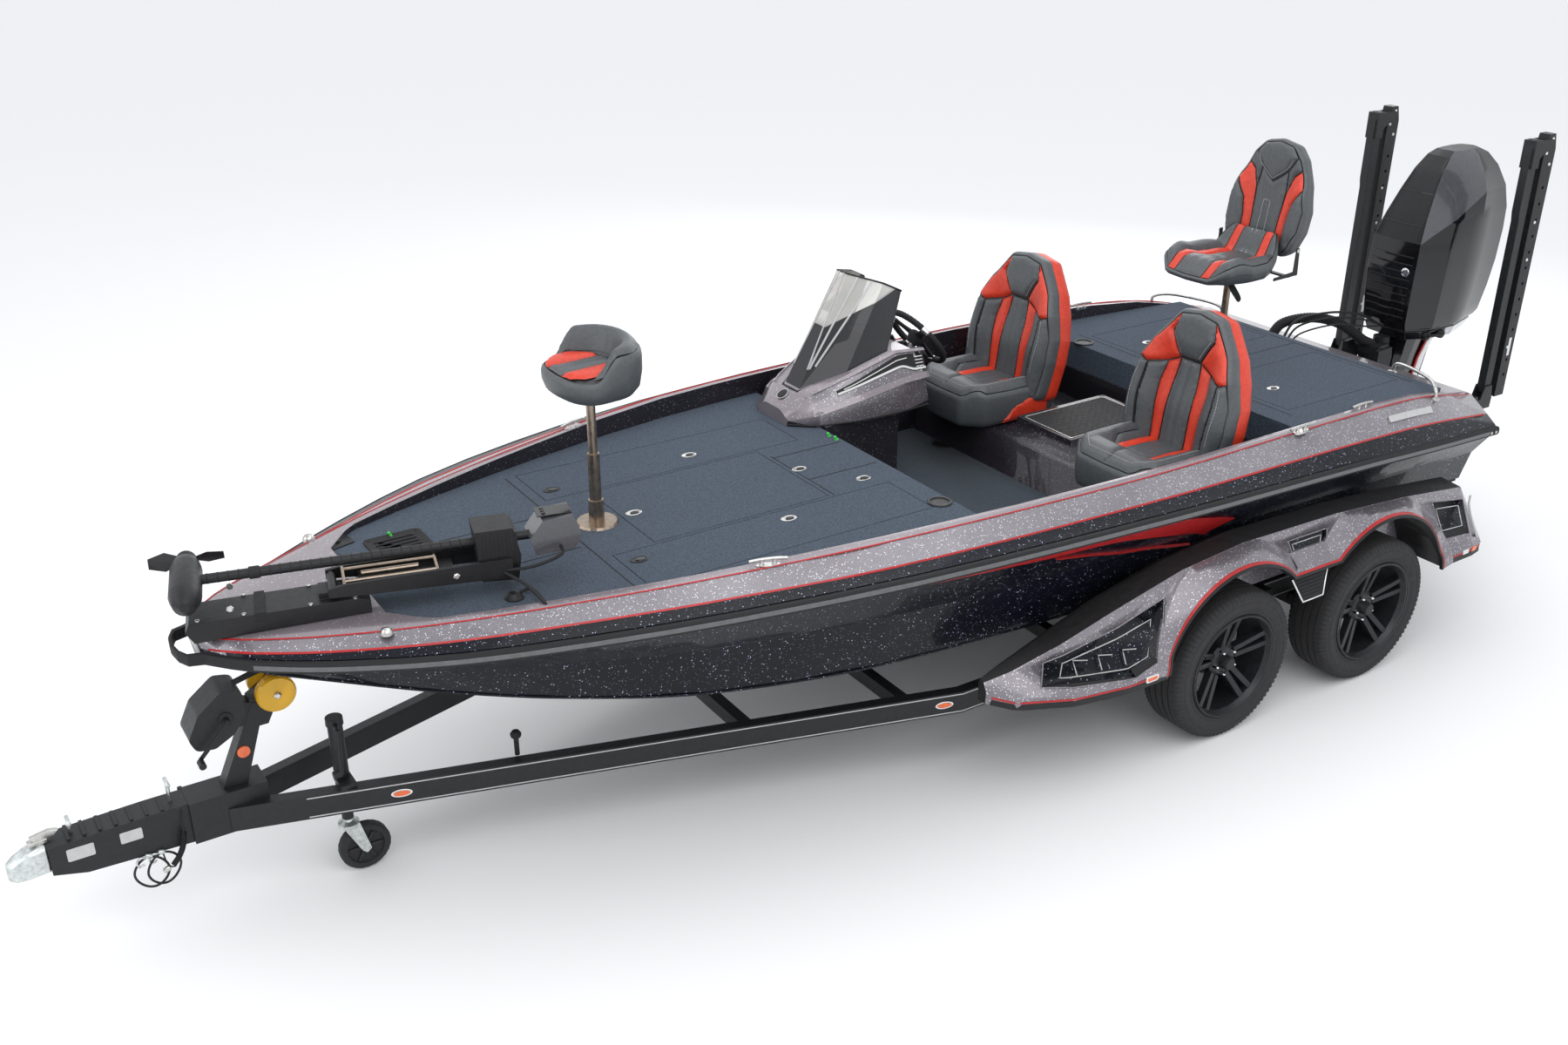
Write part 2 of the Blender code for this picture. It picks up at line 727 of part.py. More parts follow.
def build_aft_seat():
    pivot("aft_seat_swivel", (AFT_POST_X, 0, AFT_SEAT_Z))
    hinge_x = AFT_POST_X - 0.185
    hinge_z = AFT_SEAT_Z + 0.150
    pivot("aft_seat_fold", (hinge_x, 0, hinge_z), "aft_seat_swivel")
    shape = soft_box((AFT_POST_X - 0.150, -0.235, AFT_SEAT_Z + 0.02),
                     (AFT_POST_X + 0.300, 0.235, AFT_SEAT_Z + 0.130), 0.04)
    seat = add("aft_seat", shape, seat_vinyl(), "aft_seat_swivel")
    fuse(seat, box((AFT_POST_X - 0.09, -0.09, AFT_SEAT_Z), (AFT_POST_X + 0.09, 0.09, AFT_SEAT_Z + 0.05)),
         box((hinge_x - 0.012, -0.249, AFT_SEAT_Z + 0.024), (AFT_POST_X - 0.06, 0.249, AFT_SEAT_Z + 0.040)))
    for side in (1, -1):
        near, far = sorted((side * SEAT_BRACKET_Y, side * (SEAT_BRACKET_Y + 0.007)))
        fuse(seat, box((hinge_x - 0.013, near, AFT_SEAT_Z + 0.026), (hinge_x + 0.012, far, hinge_z + 0.012)))
    outline = rounded([(-0.22, 0.105), (0.22, 0.105), (0.235, 0.24), (0.215, 0.46), (0.10, 0.625),
                       (-0.10, 0.625), (-0.215, 0.46), (-0.235, 0.24)], 0.02)
    rings = []
    for offset, shrink in ((-0.075, 0.90), (-0.055, 1.0), (-0.005, 1.0), (0.015, 0.90)):
        ring = []
        for y, z in outline:
            level = 0.34 + (z - 0.34) * shrink
            ring.append((hinge_x + offset - 0.16 * (level - 0.15), y * shrink, AFT_SEAT_Z + level))
        rings.append(ring)
    back = add("aft_seat_back", loft(rings), seat_vinyl(), "aft_seat_fold")
    reach = SEAT_BRACKET_Y - GAP
    fuse(back, rod((hinge_x, -reach, hinge_z), (hinge_x, reach, hinge_z), 0.009, 14))


def console_section(x, half, low, shoulder, top, top_half):
    left = CONSOLE_Y - half
    right = CONSOLE_Y + half
    return [(x, right, low), (x, right + 0.012, shoulder), (x, CONSOLE_Y + top_half, top),
            (x, CONSOLE_Y - top_half, top), (x, left - 0.012, shoulder), (x, left, low)]


# columns: station, half width, shoulder z, top z, half width at the top
CONSOLE = [
    (2.450, 0.255, 1.310, 1.420, 0.205),
    (2.640, 0.275, 1.310, 1.440, 0.215),
    (2.860, 0.265, 1.270, 1.370, 0.200),
    (3.060, 0.215, 1.220, 1.290, 0.140),
    (3.170, 0.120, 1.180, 1.215, 0.060),
]


def console_body(rise=0.0):
    """The console's outer form in flat triangles, raised by rise."""
    rings = [console_section(x, half, DECK_Z + GAP, shoulder + rise, top + rise, top_half)
             for x, half, shoulder, top, top_half in CONSOLE]
    shape = loft(rings)
    bmesh.ops.triangulate(shape, faces=shape.faces[:])
    return shape


def build_console():
    console = add("console", console_body(), gunwale_mauve())
    lean = math.tan(WHEEL_TILT)
    dash = [(2.30, 0.9), (2.30, 1.6), (2.46 + 0.32 * lean * 0.45, 1.60), (2.46, 1.18), (2.46, 0.9)]
    cut(console, prism(dash, "y", CONSOLE_Y - 0.5, CONSOLE_Y + 0.5))
    pillar = (DECK_AFT_X - TUB_WALL - GAP, CONSOLE_Y + PILLAR_WIDE / 2, DECK_Z + 0.005)
    fuse(console, box((PILLAR_AFT_X, CONSOLE_Y - PILLAR_WIDE / 2, FLOOR_Z + GAP), pillar))
    return console


def console_top(x):
    """Height of the console's level top at a station."""
    for low, high in zip(CONSOLE, CONSOLE[1:]):
        if x <= high[0]:
            t = (x - low[0]) / (high[0] - low[0])
            return low[3] + t * (high[3] - low[3])
    return CONSOLE[-1][3]


def build_windscreen():
    """Two swept panes that meet on a leading edge."""
    thick = 0.006
    # columns: station and side of the foot, from the aft inboard end round the front
    foot = [(2.660, 0.185), (2.870, 0.165), (3.070, 0.060), (3.070, -0.060), (2.870, -0.165),
            (2.660, -0.185)]
    # columns: station, side and height of the top edge
    crown = [(2.560, 0.150, 1.700), (2.650, 0.130, 1.745), (2.790, 0.040, 1.790), (2.790, -0.040, 1.790),
             (2.650, -0.130, 1.745), (2.560, -0.150, 1.700)]
    rings = []
    for shrink in (0.0, thick):
        edge = []
        for x, y in foot:
            inward = math.copysign(min(abs(y), shrink), y)
            edge.append((x - shrink, CONSOLE_Y + y - inward, console_top(x) - 0.012))
        for x, y, z in reversed(crown):
            inward = math.copysign(min(abs(y), shrink), y)
            edge.append((x - shrink, CONSOLE_Y + y - inward, z))
        rings.append(edge)
    shape = bmesh.new()
    count = len(foot)
    rows = [[shape.verts.new(point) for point in ring] for ring in rings]
    for row, flip in ((rows[0], False), (rows[1], True)):
        for i in range(count - 1):
            quad = (row[i], row[i + 1], row[2 * count - 2 - i], row[2 * count - 1 - i])
            shape.faces.new(tuple(reversed(quad)) if flip else quad)
    for i in range(2 * count):
        j = (i + 1) % (2 * count)
        shape.faces.new((rows[0][i], rows[1][i], rows[1][j], rows[0][j]))
    screen = add("windscreen", shape, smoked())
    cut(screen, console_body(2 * GAP))


def wheel_axis():
    return Vector((-math.cos(WHEEL_TILT), 0, math.sin(WHEEL_TILT)))


def build_steering_wheel(console):
    place = Vector((WHEEL_X, CONSOLE_Y, WHEEL_Z))
    pivot("steering_wheel_hub", place)
    axis = wheel_axis()
    up = Vector((math.sin(WHEEL_TILT), 0, math.cos(WHEEL_TILT)))
    side = Vector((0, 1, 0))
    tube_r = 0.015
    ring = []
    for k in range(8):
        angle = 2 * math.pi * k / 8
        ring.append((tube_r * math.cos(angle), WHEEL_R - tube_r + tube_r * math.sin(angle)))
    wheel = add("steering_wheel", lathe(ring, place, axis, 32), black_plastic(), "steering_wheel_hub")
    fuse(wheel, drum([(-0.050, 0.026), (-0.012, 0.045), (0.010, 0.040)], place, axis, 16))
    for angle in (0, 125, 235):
        out = side * math.sin(math.radians(angle)) - up * math.cos(math.radians(angle))
        across = axis.cross(out)
        rings = []
        for reach, wide, thick in ((0.022, 0.022, 0.008), (WHEEL_R - 0.012, 0.014, 0.006)):
            middle = place + out * reach
            rings.append([middle + across * (a * wide) + axis * (b * thick)
                          for a, b in ((-1, -1), (1, -1), (1, 1), (-1, 1))])
        fuse(wheel, loft(rings))
    fuse(console, rod(place - axis * (0.050 + GAP), place - axis * 0.240, 0.024, 14))


def build_motor_mount():
    """Jack plate and clamp cheeks, fixed to the transom."""
    mount = add("transom_mount", box((JACK_PLATE_AFT_X, -0.135, 0.66), (-GAP, -0.105, 0.93)), satin_black())
    fuse(mount, box((JACK_PLATE_AFT_X, 0.105, 0.66), (-GAP, 0.135, 0.93)),
         box((JACK_PLATE_AFT_X + 0.010, -0.12, 0.70), (JACK_PLATE_AFT_X + 0.040, 0.12, 0.92)),
         box((-0.030, -0.16, 0.68), (-2 * GAP, 0.16, 0.91)))
    cheek = [(JACK_PLATE_AFT_X + 0.020, 0.64), (JACK_PLATE_AFT_X + 0.020, 1.045), (TILT_X - 0.030, 1.052),
             (TILT_X - 0.040, 0.99), (JACK_PLATE_AFT_X - 0.055, 0.64)]
    fuse(mount, prism(cheek, "y", 0.095, 0.118), prism(cheek, "y", -0.118, -0.095))


def build_swivel():
    pivot("motor_tilt", (TILT_X, 0, TILT_Z))
    swivel = add("swivel_bracket", rod((STEER_X, 0, 0.70), (STEER_X, 0, COWL_Z - GAP), STEER_R, 20),
                 satin_black(), "motor_tilt")
    neck = prism([(STEER_X + 0.01, 0.88), (STEER_X + 0.01, 1.045), (TILT_X + 0.022, 1.042),
                  (TILT_X + 0.026, 0.995), (TILT_X - 0.005, 0.93)], "y", -0.060, 0.060)
    fuse(swivel, neck, rod((TILT_X, -0.0947, TILT_Z), (TILT_X, 0.0947, TILT_Z), 0.020, 14))


# Sections of the cowl, bottom to top
# columns: height above the cowl's foot, front x, aft x, half width
COWL = [
    (0.000, -0.470, -0.980, 0.140),
    (0.040, -0.430, -1.060, 0.185),
    (0.220, -0.405, -1.130, 0.213),
    (0.520, -0.415, -1.190, 0.222),
    (0.770, -0.460, MOTOR_AFT_X, 0.205),
    (0.920, -0.540, -1.120, 0.165),
    (0.990, -0.650, -0.980, 0.090),
]


def plan_ring(z, front, aft, half, corner=0.42):
    """A plan outline that is blunt in front and narrows aft."""
    length = front - aft
    side = [(front, 0.0), (front, half * 0.62), (front - length * 0.10, half * 0.92),
            (front - length * 0.30, half), (front - length * 0.62, half * 0.93),
            (front - length * 0.90, half * (1 - corner) + 0.01), (aft, half * 0.28)]
    ring = [(x, y, z) for x, y in side]
    return ring + [(x, -y, z) for x, y in reversed(side[1:])]


def build_motor():
    pivot("motor_steer", (STEER_X, 0, TILT_Z), "motor_tilt")
    cowl = [plan_ring(COWL_Z + rise, front, aft, half) for rise, front, aft, half in COWL]
    add("motor_cowl", loft(cowl), gloss_black(), "motor_steer")
    front = STEER_X - STEER_R - 0.010
    # columns: z, front x, aft x, half width
    leg_rows = [(PLATE_Z - 0.02, front - 0.04, LEG_AFT_X + 0.01, 0.034),
                (0.72, front - 0.02, LEG_AFT_X, 0.055),
                (0.93, front - 0.004, LEG_AFT_X - 0.03, 0.082),
                (COWL_Z - GAP, front, LEG_AFT_X - 0.08, 0.105)]
    leg = add("motor_leg", loft([plan_ring(z, a, b, half) for z, a, b, half in leg_rows]),
              gloss_black(), "motor_steer")
    half = [(front + 0.015, 0.030), (front - 0.15, 0.085), (-0.98, 0.105), (-1.01, 0.06)]
    plate = rounded(half + [(x, -y) for x, y in reversed(half)], 0.03, 2)
    fuse(leg, prism(plate, "z", PLATE_Z - 0.006, PLATE_Z + 0.008))
    strut = [plan_ring(PROP_Z, front - 0.02, LEG_AFT_X + 0.01, 0.028),
             plan_ring(PLATE_Z, front - 0.03, LEG_AFT_X + 0.02, 0.030)]
    fuse(leg, loft(strut))
    nose = front + 0.040
    torpedo = [(0.0, 0.012), (0.030, 0.036), (0.090, GEARCASE_R - 0.006), (0.160, GEARCASE_R),
               (nose - LEG_AFT_X, GEARCASE_R - 0.002), (nose - LEG_AFT_X + 0.040, GEARCASE_R - 0.012)]
    fuse(leg, drum(torpedo, (nose, 0, PROP_Z), (-1, 0, 0), 20))
    skeg = [(-0.600, PROP_Z - 0.02), (-0.760, PROP_Z - 0.02), (-0.800, PROP_Z - 0.145),
            (-0.740, PROP_Z - 0.170), (-0.700, PROP_Z - 0.160)]
    fuse(leg, prism(skeg, "y", -0.007, 0.007))


def build_propeller():
    hub_x = LEG_AFT_X - 0.040 - GAP
    place = Vector((hub_x, 0, PROP_Z))
    pivot("propeller_shaft", place, "motor_steer")
    profile = [(0.0, GEARCASE_R - 0.014), (0.080, GEARCASE_R - 0.016), (0.120, 0.034)]
    propeller = add("propeller", drum(profile, place, (-1, 0, 0), 20), stainless(), "propeller_shaft")
    for k in range(PROP_BLADES):
        turn = 2 * math.pi * k / PROP_BLADES
        rings = []
        # columns: radius, half chord, pitch angle, rake aft
        for radius, chord, pitch, rake in ((0.030, 0.030, 62, 0.0), (0.080, 0.050, 48, 0.004),
                                           (0.135, 0.055, 34, 0.012), (PROP_R, 0.022, 26, 0.022)):
            angle = math.radians(pitch)
            ring = []
            for along, thick in ((-1, 0), (-0.5, 1), (0.5, 1), (1, 0), (0.5, -1), (-0.5, -1)):
                run = along * chord
                lift = thick * 0.0035
                x = -0.055 - rake - run * math.sin(angle) + lift * math.cos(angle)
                across = run * math.cos(angle) + lift * math.sin(angle)
                y = radius * math.cos(turn) - across * math.sin(turn)
                z = radius * math.sin(turn) + across * math.cos(turn)
                ring.append(place + Vector((x, y, z)))
            rings.append(ring)
        fuse(propeller, loft(rings))


def anchor_bracket(word, side):
    """Arm from the transom with two ears round the anchor's hinge."""
    low = side * ANCHOR_Y - ANCHOR_WIDE / 2
    high = side * ANCHOR_Y + ANCHOR_WIDE / 2
    seat_z = ANCHOR_HINGE_Z - 0.045
    outline = [(-GAP, 0.72), (-GAP, 0.90), (-0.30, 0.90), (ANCHOR_X + 0.160, 0.83),
               (ANCHOR_X + 0.085, 0.83), (ANCHOR_X + 0.075, seat_z), (ANCHOR_X - 0.045, seat_z),
               (ANCHOR_X - 0.040, 0.745), (-0.35, 0.75)]
    bracket = add(f"{word}_anchor_bracket", prism(outline, "y", low, high), satin_black())
    ear = [(ANCHOR_X + 0.060, seat_z - 0.015), (ANCHOR_X + 0.030, ANCHOR_HINGE_Z + 0.025),
           (ANCHOR_X - 0.028, ANCHOR_HINGE_Z + 0.025), (ANCHOR_X - 0.044, seat_z - 0.015)]
    reach = ANCHOR_ARM_WIDE / 2 + GAP
    middle = side * ANCHOR_Y
    fuse(bracket, prism(ear, "y", low, middle - reach), prism(ear, "y", middle + reach, high))


def anchor_arm(word, side):
    """Upright bar whose head carries the blade's hinge between two cheeks."""
    middle = side * ANCHOR_Y
    half = ANCHOR_ARM_WIDE / 2
    hinge_z = ANCHOR_TOP_Z - BLADE_HINGE_DROP
    foot = ANCHOR_HINGE_Z
    line = [(ANCHOR_X - 0.012, foot - 0.028), (ANCHOR_X + 0.012, foot - 0.028),
            (ANCHOR_X + 0.028, foot - 0.012),
            (ANCHOR_X + 0.026, ANCHOR_TOP_Z - 0.45), (ANCHOR_X + 0.036, ANCHOR_TOP_Z - 0.40),
            (ANCHOR_X + 0.036, ANCHOR_TOP_Z - 0.08), (ANCHOR_X + 0.018, ANCHOR_TOP_Z - 0.03),
            (ANCHOR_X - 0.020, ANCHOR_TOP_Z - 0.03), (ANCHOR_X - 0.028, ANCHOR_TOP_Z - 0.05),
            (ANCHOR_X - 0.028, foot - 0.012)]
    arm = add(f"{word}_anchor_arm", prism(line, "y", middle - half, middle + half), satin_black(),
              f"{word}_anchor_arm_hinge")
    inner = ANCHOR_WIDE / 2 + GAP
    outer = inner + 0.005
    fuse(arm, box((ANCHOR_X - 0.027, middle - outer, hinge_z - 0.12),
                  (ANCHOR_X + 0.030, middle + outer, hinge_z + 0.022)))
    cheek = [(ANCHOR_X + 0.010, hinge_z - 0.110), (ANCHOR_X + 0.010, hinge_z + 0.020),
             (BLADE_X - 0.010, hinge_z + 0.020), (BLADE_X - 0.024, hinge_z),
             (BLADE_X - 0.010, hinge_z - 0.022), (ANCHOR_X - 0.040, hinge_z - 0.060)]
    fuse(arm, prism(cheek, "y", middle - outer, middle - inner),
         prism(cheek, "y", middle + inner, middle + outer))


def anchor_blade(word, side):
    """Perforated blade, as wide as the bracket, that hangs level from the arm's head."""
    middle = side * ANCHOR_Y
    low = middle - ANCHOR_WIDE / 2
    high = middle + ANCHOR_WIDE / 2
    line = [(BLADE_X - 0.040, BLADE_LOW_Z), (BLADE_X + 0.036, BLADE_LOW_Z),
            (BLADE_X + 0.042, ANCHOR_TOP_Z - 0.12), (BLADE_X + 0.020, ANCHOR_TOP_Z - 0.01), (BLADE_X - 0.030, ANCHOR_TOP_Z - 0.01),
            (BLADE_X - 0.052, ANCHOR_TOP_Z - 0.09)]
    blade = add(f"{word}_anchor_spike", prism(line, "y", low, high), black_plastic(),
                f"{word}_spike_hinge")
    count = int((ANCHOR_TOP_Z - BLADE_LOW_Z - 0.30) / HOLE_PITCH)
    holes = []
    for k in range(count):
        z = BLADE_LOW_Z + 0.12 + k * HOLE_PITCH
        holes.append(rod((BLADE_X - 0.008, low - 0.1, z), (BLADE_X - 0.008, high + 0.1, z), 0.009, 8))
    cut(blade, merge(*holes))


def build_anchors():
    for side, word in ((1, "port"), (-1, "starboard")):
        pivot(f"{word}_anchor_arm_hinge", (ANCHOR_X, side * ANCHOR_Y, ANCHOR_HINGE_Z))
        pivot(f"{word}_spike_hinge", (BLADE_X, side * ANCHOR_Y, ANCHOR_TOP_Z - BLADE_HINGE_DROP),
              f"{word}_anchor_arm_hinge")
        anchor_bracket(word, side)
        anchor_arm(word, side)
        anchor_blade(word, side)


def troll(s, t, z):
    """A point in the trolling motor's own frame: s aft from its bow end, t to port."""
    c = math.cos(TROLL_TURN)
    n = math.sin(TROLL_TURN)
    return Vector((TROLL_X - s * c + t * n, TROLL_Y + s * n + t * c, z))


def troll_prism(outline, low, high):
    """Extrude an (s, z) outline across the trolling motor."""
    return loft([[troll(s, t, z) for s, z in outline] for t in (low, high)])


def troll_box(s_low, s_high, t_low, t_high, z_low, z_high):
    return troll_prism([(s_low, z_low), (s_high, z_low), (s_high, z_high), (s_low, z_high)], t_low, t_high)


def troll_rod(start, end, radius, steps=14):
    return rod(troll(*start), troll(*end), radius, steps)


def build_trolling_motor():
    foot = [(s, table(9, troll(s, 0, 0).x) + 0.0055) for s in (0.03, 0.16, 0.41, 0.62)]
    channel = foot + [(0.62, 1.215), (0.58, 1.228), (0.02, 1.222), (0.005, 1.190)]
    base = add("trolling_base", troll_prism(channel, -0.082, 0.082), black_plastic())
    fuse(base, troll_box(TROLL_PIVOT_S - 0.05, TROLL_PIVOT_S + 0.06, -0.045, 0.045, 1.20, 1.250),
         troll_rod((TROLL_PIVOT_S, -0.0702, TROLL_PIVOT_Z), (TROLL_PIVOT_S, 0.0702, TROLL_PIVOT_Z), 0.016))
    pivot("trolling_arm_hinge", troll(TROLL_PIVOT_S, 0, TROLL_PIVOT_Z))
    axis_z = TROLL_PIVOT_Z
    cheek = [(TROLL_PIVOT_S - 0.018, axis_z - 0.016), (TROLL_PIVOT_S + 0.08, axis_z - 0.022),
             (TROLL_COLLAR_S + 0.04, axis_z - 0.037), (TROLL_COLLAR_S + 0.04, axis_z + 0.038),
             (TROLL_PIVOT_S + 0.04, axis_z + 0.026), (TROLL_PIVOT_S - 0.018, axis_z + 0.016)]
    arm = add("trolling_arm", troll_prism(cheek, 0.0705, 0.086), black_plastic(), "trolling_arm_hinge")
    fuse(arm, troll_prism(cheek, -0.086, -0.0705),
         troll_box(TROLL_PIVOT_S + 0.09, TROLL_PIVOT_S + 0.42, -0.075, 0.075, axis_z - 0.022, axis_z))
    collar_z = axis_z + 0.008
    pivot("trolling_shaft_hinge", troll(TROLL_COLLAR_S, 0, collar_z), "trolling_arm_hinge")
    block = [(TROLL_COLLAR_S - 0.07, 1.215), (TROLL_COLLAR_S + 0.06, 1.205), (TROLL_COLLAR_S + 0.075, 1.30),
             (TROLL_COLLAR_S + 0.05, 1.410), (TROLL_COLLAR_S - 0.085, 1.410)]
    start = (TROLL_POD_S + 0.03, 0.0, TROLL_SHAFT_Z)
    end = (TROLL_COLLAR_S + 0.22, 0.0, TROLL_SHAFT_Z)
    shaft = add("trolling_shaft", troll_rod(start, end, 0.0175), satin_black(), "trolling_shaft_hinge")
    fuse(shaft, troll_prism(block, -0.070, 0.070))
    head = [(TROLL_COLLAR_S + 0.13, 1.285), (TROLL_COLLAR_S + 0.27, 1.290), (TROLL_COLLAR_S + 0.30, 1.345),
            (TROLL_COLLAR_S + 0.27, 1.425), (TROLL_COLLAR_S + 0.16, 1.415), (TROLL_COLLAR_S + 0.11, 1.35)]
    fuse(shaft, troll_prism(head, -0.060, 0.060))
    pod = [(-0.200, 0.016), (-0.180, 0.040), (-0.120, 0.054), (0.080, 0.054), (0.130, 0.045), (0.150, 0.030)]
    across = troll(0, 1, 0) - troll(0, 0, 0)
    centre = troll(TROLL_POD_S, 0, TROLL_SHAFT_Z)
    fuse(shaft, drum([(-a, r) for a, r in reversed(pod)], centre, across, 18))
    hub = centre - across * (0.150 + GAP)
    pivot("trolling_propeller_shaft", hub, "trolling_shaft_hinge")
    small = add("trolling_propeller", drum([(0.0, 0.028), (0.030, 0.034), (0.055, 0.020)], hub, -across, 16),
                black_plastic(), "trolling_propeller_shaft")
    up = Vector((0, 0, 1))
    fore = across.cross(up)
    for turn in (90, 270):
        out = fore * math.sin(math.radians(turn)) + up * math.cos(math.radians(turn))
        side = across.cross(out)
        rings = []
        for radius, chord, pitch in ((0.018, 0.014, 50), (0.070, 0.034, 34), (0.125, 0.018, 22)):
            angle = math.radians(pitch)
            run = side * math.cos(angle) + across * math.sin(angle)
            lift = across * math.cos(angle) - side * math.sin(angle)
            rings.append([hub - across * 0.028 + out * radius + run * (a * chord) + lift * (b * 0.003)
                          for a, b in ((-1, 0), (0, -1), (1, 0), (0, 1))])
        fuse(small, loft(rings))


def beam_outline(side, grow=0.0):
    """Plan of one side beam: slanted from the tongue, then straight past the wheels."""
    slope = (BEAM_Y - BEAM_NOSE_Y) / (BEAM_NOSE_X - BEAM_BEND_X)
    inner_y = BEAM_Y - BEAM_WIDE - grow
    inset = BEAM_WIDE * math.sqrt(1 + slope ** 2) + grow
    outer = [(BEAM_NOSE_X, BEAM_NOSE_Y), (BEAM_BEND_X, BEAM_Y), (0.20, BEAM_Y)]
    inner = [(0.20, inner_y), (BEAM_BEND_X, inner_y), (BEAM_NOSE_X, BEAM_NOSE_Y - inset)]
    return [(x, side * y) for x, y in outer + inner]


def beam_inner_y(x):
    slope = (BEAM_Y - BEAM_NOSE_Y) / (BEAM_NOSE_X - BEAM_BEND_X)
    outer = BEAM_Y if x < BEAM_BEND_X else BEAM_NOSE_Y + slope * (BEAM_NOSE_X - x)
    return outer - BEAM_WIDE * math.sqrt(1 + slope ** 2)


def build_trailer_frame():
    """Port beam with the crossmembers and the tongue's box, and the starboard beam bolted to them."""
    low = BEAM_TOP_Z - BEAM_TALL
    frame = add("trailer_frame", prism(beam_outline(1), "z", low, BEAM_TOP_Z), satin_black())
    for x in CROSS_X:
        reach = beam_inner_y(x) + 0.02
        fuse(frame, box((x - 0.025, -reach, BEAM_TOP_Z - 0.062), (x + 0.025, reach, CROSS_TOP_Z)))
    fuse(frame, box((0.205, -0.86, BEAM_TOP_Z - 0.08), (0.255, 0.86, BEAM_TOP_Z - 0.003)))
    cut(frame, prism(beam_outline(-1, GAP), "z", low - 0.02, BEAM_TOP_Z + 0.02))
    fuse(frame, box((NOSE_BOX_X, -NOSE_BOX_Y, low - 0.005), (HINGE_X - GAP, NOSE_BOX_Y, TONGUE_TOP_Z)))
    other = add("starboard_beam", prism(beam_outline(-1), "z", low, BEAM_TOP_Z), satin_black())
    cut(other, box((NOSE_BOX_X - GAP, -NOSE_BOX_Y - GAP, low - 0.02),
                   (HINGE_X, NOSE_BOX_Y, TONGUE_TOP_Z)))
    for side, beam in ((1, frame), (-1, other)):
        for x in (2.66, 1.515, 0.45):
            low_y, high_y = sorted((side * (BEAM_Y - 0.02), side * (FENDER_IN_Y - GAP)))
            fuse(beam, box((x - 0.04, low_y, BEAM_TOP_Z - 0.050),
                           (x + 0.04, high_y, BEAM_TOP_Z + 0.060)))
    build_bunks()


def hull_bottom_z(x, y):
    """Height of the hull's bottom between its pad and its strake."""
    keel_z = table(1, x)
    chine_y = table(2, x)
    pad = min(0.060, chine_y * 0.4)
    strake_y = chine_y * 0.62
    strake_z = keel_z + (table(3, x) - keel_z) * 0.60
    t = min(max((y - pad) / (strake_y - pad), 0.0), 1.0)
    return keel_z + t * (strake_z - keel_z)


def build_bunks():
    """Carpeted boards that bear the hull, bolted down on the crossmembers."""
    foot_z = CROSS_TOP_Z + GAP
    for side, word in ((1, "port"), (-1, "starboard")):
        rings = []
        for x in (0.25, 0.55, 1.2, 2.4, 3.2):
            near = BUNK_Y - BUNK_WIDE / 2
            far = BUNK_Y + BUNK_WIDE / 2
            ring = [(x, side * near, foot_z), (x, side * far, foot_z),
                    (x, side * far, hull_bottom_z(x, far) + 0.015),
                    (x, side * near, hull_bottom_z(x, near) + 0.015)]
            rings.append(ring)
        bunk = add(f"{word}_bunk", loft(rings), satin_black())
        cut(bunk, hull_body(2 * GAP))


def build_axles():
    for x, word in zip(AXLE_X, ("front", "rear")):
        low = BEAM_TOP_Z - BEAM_TALL
        tube_x = x + 0.09
        tube_z = low - 0.036
        tube = box((tube_x - 0.028, -0.955, tube_z - 0.028), (tube_x + 0.028, 0.955, tube_z + 0.028))
        axle = add(f"{word}_axle", tube, satin_black())
        for side in (1, -1):
            seat_y = side * (BEAM_Y - BEAM_WIDE / 2)
            fuse(axle, box((tube_x - 0.035, seat_y - 0.022, tube_z),
                           (tube_x + 0.035, seat_y + 0.022, low - GAP)))
            inner, outer = sorted((side * 0.940, side * 0.985))
            arm = [(tube_x + 0.034, tube_z - 0.030), (tube_x + 0.034, tube_z + 0.030),
                   (x - 0.010, WHEEL_RADIUS + 0.032), (x - 0.032, WHEEL_RADIUS),
                   (x - 0.010, WHEEL_RADIUS - 0.032)]
            fuse(axle, prism(arm, "y", inner, outer))
            spindle = [(0.970, 0.024), (1.000, 0.024), (1.0001, HUB_R), (WHEEL_Y - 0.0353, HUB_R - 0.004)]
            fuse(axle, drum(spindle, (x, 0, WHEEL_RADIUS), (0, side, 0), 24))


